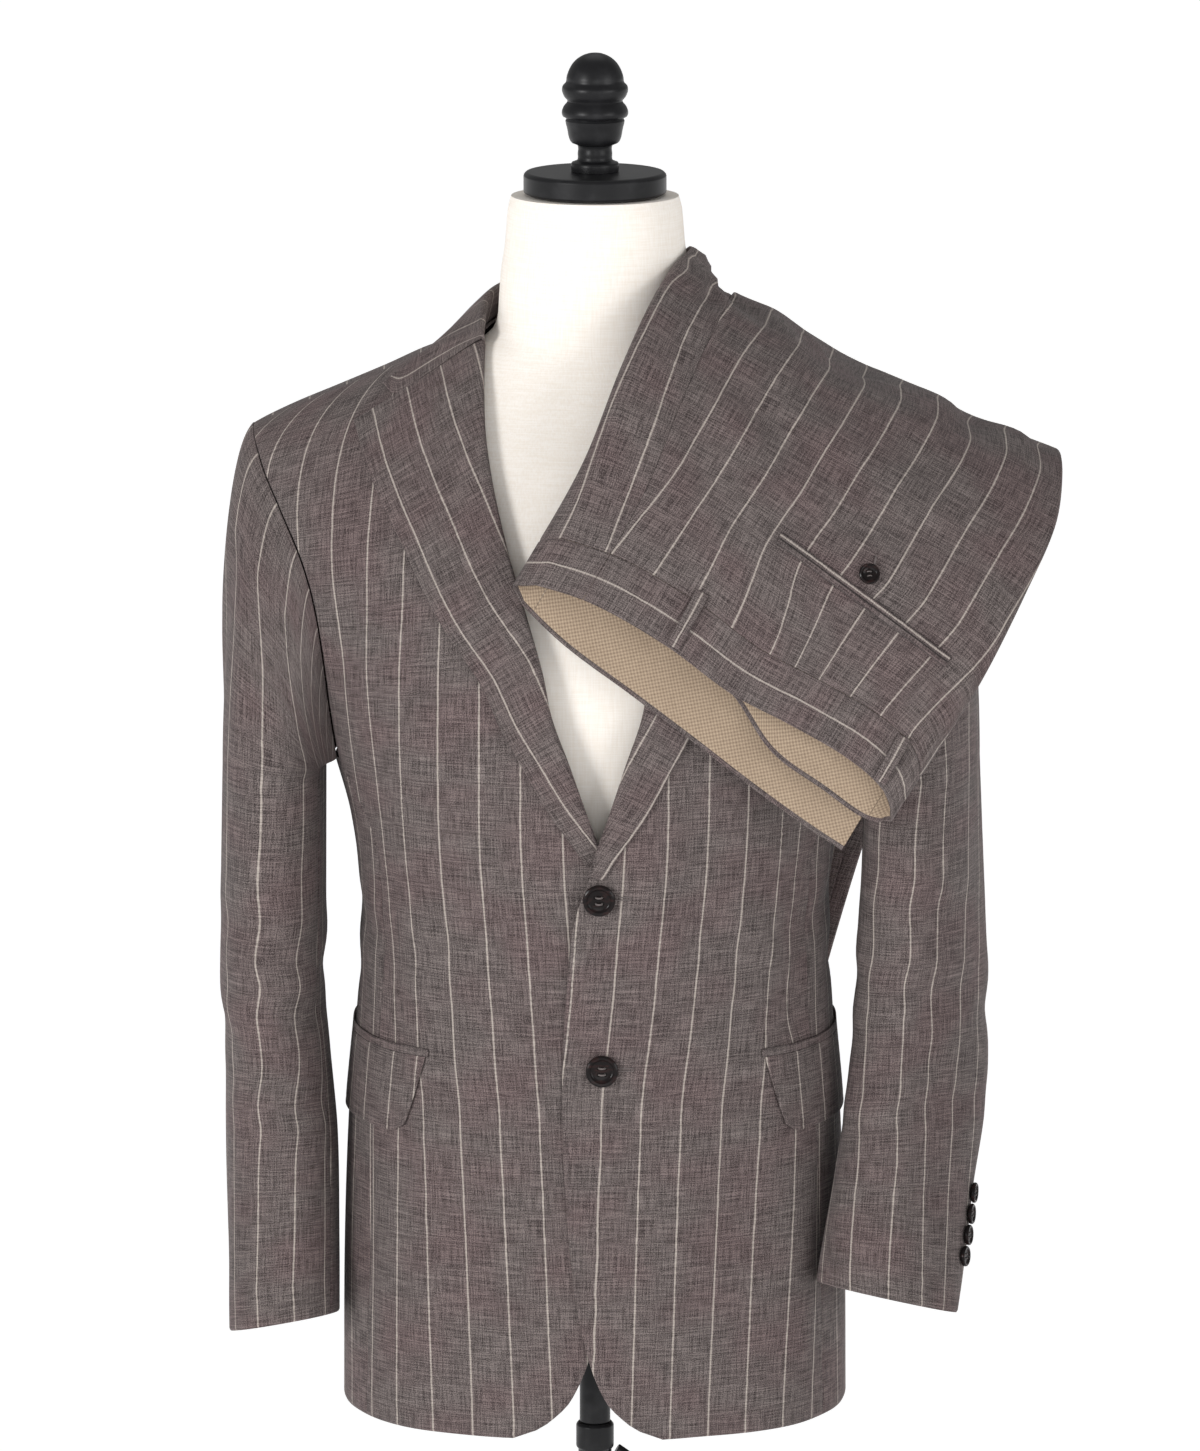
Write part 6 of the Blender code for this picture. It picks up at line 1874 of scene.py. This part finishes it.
def button_model(radius, thick):
    """A dished four-hole button with its thread, its back at the origin."""
    profile = [(radius * out, thick * up) for out, up in BUTTON_TURN]
    item = turn_up("button", profile, 48, finish_named("Horn"))
    apart = radius * HOLE_APART
    for x, y in ((-1, -1), (1, -1), (1, 1), (-1, 1)):
        deselect()
        bpy.ops.mesh.primitive_cylinder_add(vertices=14, radius=radius * HOLE_SIZE, depth=thick * 3,
                                            location=(x * apart, y * apart, 0))
        cutter = bpy.context.active_object
        pick(item)
        modifier = item.modifiers.new("Hole", "BOOLEAN")
        modifier.operation = "DIFFERENCE"
        modifier.solver = "EXACT"
        modifier.object = cutter
        bpy.ops.object.modifier_apply(modifier=modifier.name)
        bpy.data.objects.remove(cutter, do_unlink=True)
    item = rounded(item, radius * 0.012, 1, 50)
    loops = []
    for y in (-1, 1):
        deselect()
        bpy.ops.mesh.primitive_torus_add(major_radius=apart, minor_radius=radius * HOLE_THREAD,
                                         major_segments=20, minor_segments=8,
                                         location=(0, y * apart, thick * 0.50), rotation=(pi / 2, 0, 0))
        loop = bpy.context.active_object
        bpy.ops.object.transform_apply(location=True, rotation=True, scale=True)
        loop.data.materials.append(finish_named("Thread"))
        bpy.ops.object.shade_smooth()
        loops.append(loop)
    pick(item, *loops)
    bpy.ops.object.join()
    return item


def copy_of(item, name, place):
    mesh = item.data.copy()
    mesh.name = name
    return put(linked(name, mesh), place)


def tube(name, path, radius, material, sides=8):
    """A thread along a path of points, closed at both ends."""
    path = [Vector(point) for point in path]
    rings = []
    for index, point in enumerate(path):
        ahead = (path[min(index + 1, len(path) - 1)] - path[max(index - 1, 0)]).normalized()
        side = ahead.orthogonal().normalized()
        if rings:
            side = (last_side - ahead * last_side.dot(ahead)).normalized()
        last_side = side
        other = ahead.cross(side)
        size = radius * (0.5 if index in (0, len(path) - 1) else 1.0)
        rings.append([point + side * cos(a) * size + other * sin(a) * size
                      for a in (2 * pi * k / sides for k in range(sides))])
    return closed_rings(name, [tuple(point) for ring in rings for point in ring], sides, material)


def through(rows, step):
    """A finer turned profile, on a smooth curve through the rows of a table."""
    heights = finer([row.height for row in rows], step)
    return [(max(0.0005, along(rows, height, "radius")), height) for height in heights]


def make_stand(black):
    """The form's black parts: a name, its node, the sides, the rounding and the profile of each."""
    collar = TUBE_RADIUS + 0.0016
    parts = (
        ("cap_disc", "form_neck_disc", 96, 0.0008, (
            (CAP_DISC_RADIUS - 0.004, CAP_DISC_LOW), (CAP_DISC_RADIUS, CAP_DISC_LOW + 0.002),
            (CAP_DISC_RADIUS, CAP_DISC_HIGH - 0.002), (CAP_DISC_RADIUS - 0.002, CAP_DISC_HIGH),
            (CAP_DISC_RADIUS * 0.5, CAP_DISC_HIGH + 0.0001))),
        ("finial", "form_finial", 64, None, through(FINIAL_TURN, 0.0012)),
        ("pole", "form_pole", 48, 0.0006, (
            (POLE_RADIUS, TUBE_TOP + SEAM_GAP), (POLE_RADIUS, TUBE_TOP + 0.10),
            (POLE_RADIUS, TORSO[0].height - SEAM_GAP))),
        ("stand_tube", "form_tube", 48, 0.0006, (
            (TUBE_RADIUS, BOSS_HIGH + SEAM_GAP), (TUBE_RADIUS, TUBE_TOP - 0.020),
            (collar, TUBE_TOP - 0.018), (collar, TUBE_TOP - 0.002), (TUBE_RADIUS, TUBE_TOP))),
        ("base", "form_base", 128, 0.0012, (
            (BASE_RADIUS - 0.003, 0.0), (BASE_RADIUS, 0.003), (BASE_RADIUS, BASE_THICK - 0.005),
            (BASE_RADIUS - 0.005, BASE_THICK), (BASE_RADIUS * 0.7, BASE_THICK + 0.0012),
            (BOSS_RADIUS + 0.006, BASE_THICK + 0.0035), (BOSS_RADIUS, BASE_THICK + 0.006),
            (BOSS_RADIUS - 0.005, BOSS_HIGH - 0.003), (BOSS_RADIUS - 0.008, BOSS_HIGH))),
        ("lever", "form_lever", 32, 0.0006, (
            (LEVER_RADIUS, 0.0), (LEVER_RADIUS * 0.8, 0.010), (LEVER_RADIUS * 0.8, LEVER_LONG * 0.5),
            (LEVER_RADIUS * 1.2, LEVER_LONG * 0.62), (LEVER_RADIUS * 1.5, LEVER_LONG * 0.80),
            (LEVER_RADIUS * 1.45, LEVER_LONG * 0.92), (LEVER_RADIUS * 1.0, LEVER_LONG - 0.001),
            (LEVER_RADIUS * 0.3, LEVER_LONG))),
    )
    for name, node, sides, rounding, profile in parts:
        piece = turn_up(name, profile, sides, black)
        if rounding:
            rounded(piece, rounding)
        if name == "lever":
            axis = Vector((cos(LEVER_SLOPE), 0, -sin(LEVER_SLOPE)))
            start = Vector((TUBE_RADIUS + SEAM_GAP + LEVER_RADIUS * math.tan(LEVER_SLOPE), 0, LEVER_HEIGHT))
            put(piece, axis_place(start, axis))
        settle(piece, [node])


def make_thread(name, path, radius):
    """A sewing thread that stands for no solid."""
    piece = tube(name, path, radius, finish_named("Thread"))
    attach(piece, "root")


def make_front_buttons(sizes):
    model = button_model(BUTTON_RADIUS, BUTTON_THICK)
    for index, (x, height) in enumerate(FRONT_BUTTONS):
        point, normal = on_front(x, height, lap(1, x, height) + LAY_GAP)
        button = copy_of(model, f"button_{index + 1}", axis_place(point, normal))
        settle(button, [f"front_button_{index + 1}"])
        path = []
        for step in range(9):
            place = x + BUTTON_RADIUS * 0.8 + BUTTONHOLE_LONG * step / 8
            path.append(on_front(place, height + 0.0016, lap(1, place, height) + THREAD_LIFT)[0])
        back = [on_front(point.x, height - 0.0002, lap(1, point.x, height) + THREAD_LIFT)[0]
                for point in reversed(path)]
        make_thread(f"buttonhole_{index + 1}", path + back, sizes.thread_radius)
    bpy.data.objects.remove(model, do_unlink=True)


def make_cuff_buttons(side, table, creases):
    word = side_word(side)
    model = button_model(CUFF_BUTTON_RADIUS, CUFF_BUTTON_THICK)
    around = BACK_SLEEVE_SEAM + CUFF_BUTTON_IN[word] / CUFF_ROUND
    run = table[-1].run - CUFF_BUTTON_FIRST
    for index in range(CUFF_BUTTON_COUNT):
        lower = sleeve_point(side, table, around, run)
        while index and (sleeve_point(side, table, around, run) - lower).length < CUFF_BUTTON_STEP:
            run -= 0.0002
        normal = sleeve_normal(side, table, around, run)
        lift = LAY_GAP + sleeve_crease(creases, around, run)
        place = axis_place(sleeve_point(side, table, around, run) + normal * lift, normal)
        button = copy_of(model, f"cuff_button_{word[0]}{index + 1}", place)
        settle(button, [f"cuff_button_{word}_{index + 1}"])
    bpy.data.objects.remove(model, do_unlink=True)


def make_pocket_button(sizes):
    model = button_model(CUFF_BUTTON_RADIUS, CUFF_BUTTON_THICK)
    point, normal = on_leg(POCKET_BUTTON.across, POCKET_BUTTON.drop, LAY_GAP)
    settle(copy_of(model, "pocket_button", axis_place(point, normal)), ["back_pocket_button"])
    bpy.data.objects.remove(model, do_unlink=True)
    path = []
    for share in (0.0, 0.2, 0.4, 0.6, 0.8, 1.0):
        across = POCKET_BUTTON.across + 0.0008 - 0.0022 * share
        drop = POCKET_BUTTON.drop - 0.0055 - 0.0075 * share
        path.append(on_leg(across, drop, 0.0007 + 0.0006 * sin(pi * share))[0])
    make_thread("pocket_loop", path, sizes.thread_radius * 1.5)


# Each leg panel: its threads, the layer its waist follows, its thickness and its sewn sides
LEGS = (
    ("back_left", back_left_threads, "middle", None, ("start", "end")),
    ("front_left", front_left_threads, "middle", "near_thick", ("start",)),
    ("back_right", back_right_threads, "far", None, ("start", "end")),
    ("front_right", front_right_threads, "far", "far_thick", ("start",)),
)


def colour_property(name, description, default):
    return bpy.props.FloatVectorProperty(name=name, description=description, default=default, size=3,
                                         min=0.0, max=1.0, subtype="COLOR")


class SuitSizes(bpy.types.PropertyGroup):
    """Sizes that a user would change."""
    cloth_step: bpy.props.FloatProperty(
        name="Cloth step", description="How far apart the cloth's points are", default=CLOTH_STEP, min=0.004,
        max=0.03, unit="LENGTH")
    stripe_width: bpy.props.FloatProperty(
        name="Stripe width", description="Width of a chalk stripe", default=0.0013, min=0.0005, max=0.01,
        unit="LENGTH")
    thread_radius: bpy.props.FloatProperty(
        name="Thread radius", description="Radius of the buttonhole thread", default=0.00038, min=0.0001,
        max=0.002, unit="LENGTH")
    light_power: bpy.props.FloatProperty(
        name="Light power", description="Strength of the main soft light", default=1.5, min=0.0)
    sky_strength: bpy.props.FloatProperty(
        name="Sky strength", description="Brightness of the white light all round", default=0.34, min=0.0)


class SuitColours(bpy.types.PropertyGroup):
    """Colours that a user would change."""
    dark_yarn: colour_property("Dark yarn", "The darker yarns of the worsted", (0.021, 0.015, 0.015))
    pale_yarn: colour_property("Pale yarn", "The paler yarns of the worsted", (0.222, 0.186, 0.177))
    dark_tint: colour_property("Dark tint", "The darker yarns where the cloth is warmer",
                               (0.030, 0.016, 0.018))
    pale_tint: colour_property("Pale tint", "The paler yarns where the cloth is warmer",
                               (0.215, 0.150, 0.148))
    stripe: colour_property("Stripe", "The chalk stripes", (0.520, 0.460, 0.410))
    # The stitch colour also paints shade: the dark lines along the dart and the pocket jets' edges
    stitch: colour_property("Stitch", "Stitches and pressed lines", (0.045, 0.038, 0.038))
    canvas_pale: colour_property("Canvas", "The waist curtain's canvas", (0.520, 0.400, 0.290))
    canvas_dark: colour_property("Canvas shade", "The gaps in the canvas", (0.150, 0.105, 0.070))
    linen: colour_property("Linen", "The dress form's cover", (0.965, 0.920, 0.865))
    linen_shade: colour_property("Linen shade", "The gaps in the linen", (0.890, 0.820, 0.735))
    horn: colour_property("Horn", "The buttons", (0.010, 0.008, 0.008))
    horn_streak: colour_property("Horn streak", "The streaks in the buttons", (0.028, 0.014, 0.013))
    lacquer: colour_property("Lacquer", "The form's black parts", (0.010, 0.010, 0.011))
    dust: colour_property("Dust", "Dust on the black parts", (0.045, 0.045, 0.048))
    floor_glow: bpy.props.FloatProperty(
        name="Floor glow", description="Light that the lit floor gives", default=0.48, min=0.0)
    floor: colour_property("Floor", "The pale floor", (0.960, 0.960, 0.960))
    floor_shade: colour_property("Floor shade", "Faint clouds on the floor", (0.940, 0.940, 0.942))


class SUIT_OT_stage(bpy.types.Operator):
    """Lay the pale floor, hang the soft lights and set the camera"""
    bl_idname = "suit.stage"
    bl_label = "Stage"

    def execute(self, context):
        sizes = context.scene.suit_sizes
        deselect()
        bpy.ops.mesh.primitive_plane_add(size=120, location=(0, 0, -0.0005))
        floor = context.active_object
        floor.name = "floor"
        bpy.ops.object.transform_apply(location=True)
        floor.data.materials.append(finish_named("Floor"))
        world = bpy.data.worlds.new("White room")
        context.scene.world = world
        world.use_nodes = True
        background = world.node_tree.nodes["Background"]
        background.inputs["Color"].default_value = (1.0, 1.0, 1.0, 1.0)
        background.inputs["Strength"].default_value = sizes.sky_strength
        for lamp in LAMPS:
            azimuth, elevation = radians(lamp.azimuth), radians(lamp.elevation)
            ray = Vector((sin(azimuth) * cos(elevation), -cos(azimuth) * cos(elevation),
                          sin(elevation)))
            bpy.ops.object.light_add(type="SUN", location=ray * LAMP_AWAY)
            light = context.active_object
            light.data.angle = radians(lamp.softness)
            light.data.energy = sizes.light_power * lamp.share
            light.rotation_euler = ray.to_track_quat("Z", "Y").to_euler()
        context.scene.view_settings.view_transform = "Standard"
        bpy.ops.object.camera_add()
        camera = context.active_object
        ahead = Vector((0, cos(CAMERA_DOWN), -sin(CAMERA_DOWN)))
        camera.location = Vector((0, 0, CAMERA_AIM)) - ahead * CAMERA_AWAY
        camera.rotation_euler = ahead.to_track_quat("-Z", "Y").to_euler()
        camera.data.sensor_fit = "VERTICAL"
        camera.data.sensor_height = 36
        camera.data.lens = CAMERA_LENS
        camera.data.shift_x = CAMERA_SHIFT
        camera.data.clip_end = 200
        context.scene.camera = camera
        return {"FINISHED"}


class SUIT_OT_torso(bpy.types.Operator):
    """Build the linen torso of the dress form"""
    bl_idname = "suit.torso"
    bl_label = "Linen torso"

    def execute(self, context):
        make_torso(finish_named("Linen"))
        return {"FINISHED"}


class SUIT_OT_stand(bpy.types.Operator):
    """Turn the form's cap, finial, pole, tube and base, and its lever"""
    bl_idname = "suit.stand"
    bl_label = "Cap and stand"

    def execute(self, context):
        make_stand(finish_named("Satin black"))
        return {"FINISHED"}


class SUIT_OT_body(bpy.types.Operator):
    """Build the jacket's fronts, sides and backs"""
    bl_idname = "suit.body"
    bl_label = "Jacket body"

    def execute(self, context):
        suit, sizes = finish_named("Worsted"), context.scene.suit_sizes
        for side in (1, -1):
            make_front(side, sizes, suit)
            make_side(side, sizes, suit)
            make_back(side, sizes, suit)
        return {"FINISHED"}


class SUIT_OT_lapels(bpy.types.Operator):
    """Build the lapels and the collar"""
    bl_idname = "suit.lapels"
    bl_label = "Lapels and collar"

    def execute(self, context):
        suit = finish_named("Worsted")
        for side in (1, -1):
            make_lapel(side, suit)
        make_collar(suit)
        return {"FINISHED"}


class SUIT_OT_sleeves(bpy.types.Operator):
    """Build both pieces of each sleeve"""
    bl_idname = "suit.sleeves"
    bl_label = "Sleeves"

    def execute(self, context):
        suit, sizes = finish_named("Worsted"), context.scene.suit_sizes
        for sleeve in SLEEVES:
            top = make_sleeve("top", *sleeve, BACK_SLEEVE_SEAM - 1, FRONT_SLEEVE_SEAM, TOP_SLEEVE_COLUMNS,
                              sizes, suit)
            under = make_sleeve("under", *sleeve, FRONT_SLEEVE_SEAM, BACK_SLEEVE_SEAM, UNDER_SLEEVE_COLUMNS,
                                sizes, suit)
        return {"FINISHED"}


class SUIT_OT_pockets(bpy.types.Operator):
    """Build the jacket's pocket flaps and jets"""
    bl_idname = "suit.pockets"
    bl_label = "Jacket pockets"

    def execute(self, context):
        suit = finish_named("Worsted")
        for side in (1, -1):
            make_flap(side, suit)
            make_jet(side, suit)
        return {"FINISHED"}


class SUIT_OT_buttons(bpy.types.Operator):
    """Turn the buttons, and work the front buttonholes"""
    bl_idname = "suit.buttons"
    bl_label = "Buttons and buttonholes"

    def execute(self, context):
        make_front_buttons(context.scene.suit_sizes)
        for sleeve in SLEEVES:
            make_cuff_buttons(*sleeve)
        make_pocket_button(context.scene.suit_sizes)
        return {"FINISHED"}


class SUIT_OT_trousers(bpy.types.Operator):
    """Build the trousers' legs, waistband and waist curtain"""
    bl_idname = "suit.trousers"
    bl_label = "Trousers"

    def execute(self, context):
        suit, beige = finish_named("Trouser worsted"), finish_named("Canvas")
        sizes = context.scene.suit_sizes
        for word, threads, other, thick, seams in LEGS:
            leg = make_leg(word, threads, other, thick, seams, sizes, suit)
            band, curtain = make_band(word, threads, other, seams, suit, beige)
        return {"FINISHED"}


class SUIT_OT_trouser_trims(bpy.types.Operator):
    """Build the belt loops and the back pocket's jets"""
    bl_idname = "suit.trouser_trims"
    bl_label = "Belt loops and back pocket"

    def execute(self, context):
        suit = finish_named("Trouser worsted")
        for index, loop in enumerate(BELT_LOOPS):
            make_belt_loop(index, loop, suit)
        upper = make_trouser_jet("upper", SEAM_GAP / 2 + POCKET_JET, SEAM_GAP / 2, 0.0, suit)
        lower = make_trouser_jet("lower", -SEAM_GAP / 2, -SEAM_GAP / 2 - POCKET_JET, PITCH / 2, suit)
        return {"FINISHED"}


OPERATORS = (SUIT_OT_stage, SUIT_OT_torso, SUIT_OT_stand, SUIT_OT_body, SUIT_OT_lapels, SUIT_OT_sleeves,
             SUIT_OT_pockets, SUIT_OT_buttons, SUIT_OT_trousers, SUIT_OT_trouser_trims)


class SUIT_PT_panel(bpy.types.Panel):
    """Lists the suit's pieces with their sizes and colours"""
    bl_idname = "SUIT_PT_panel"
    bl_label = "Striped suit"
    bl_space_type = "VIEW_3D"
    bl_region_type = "UI"
    bl_category = "Suit"

    def draw(self, context):
        column = self.layout.column()
        for group in (context.scene.suit_sizes, context.scene.suit_colours):
            for key in group.__annotations__:
                column.prop(group, key)
        for operator in OPERATORS:
            column.operator(operator.bl_idname)


CLASSES = (SuitSizes, SuitColours, *OPERATORS, SUIT_PT_panel)


def register():
    for item in CLASSES:
        bpy.utils.register_class(item)
    bpy.types.Scene.suit_sizes = bpy.props.PointerProperty(type=SuitSizes)
    bpy.types.Scene.suit_colours = bpy.props.PointerProperty(type=SuitColours)


def unregister():
    del bpy.types.Scene.suit_colours
    del bpy.types.Scene.suit_sizes
    for item in reversed(CLASSES):
        bpy.utils.unregister_class(item)


def main():
    register()
    bpy.ops.suit.stage()
    bpy.ops.suit.torso()
    bpy.ops.suit.stand()
    bpy.ops.suit.body()
    bpy.ops.suit.lapels()
    bpy.ops.suit.sleeves()
    bpy.ops.suit.pockets()
    bpy.ops.suit.buttons()
    bpy.ops.suit.trousers()
    bpy.ops.suit.trouser_trims()


if __name__ == "__main__":
    main()
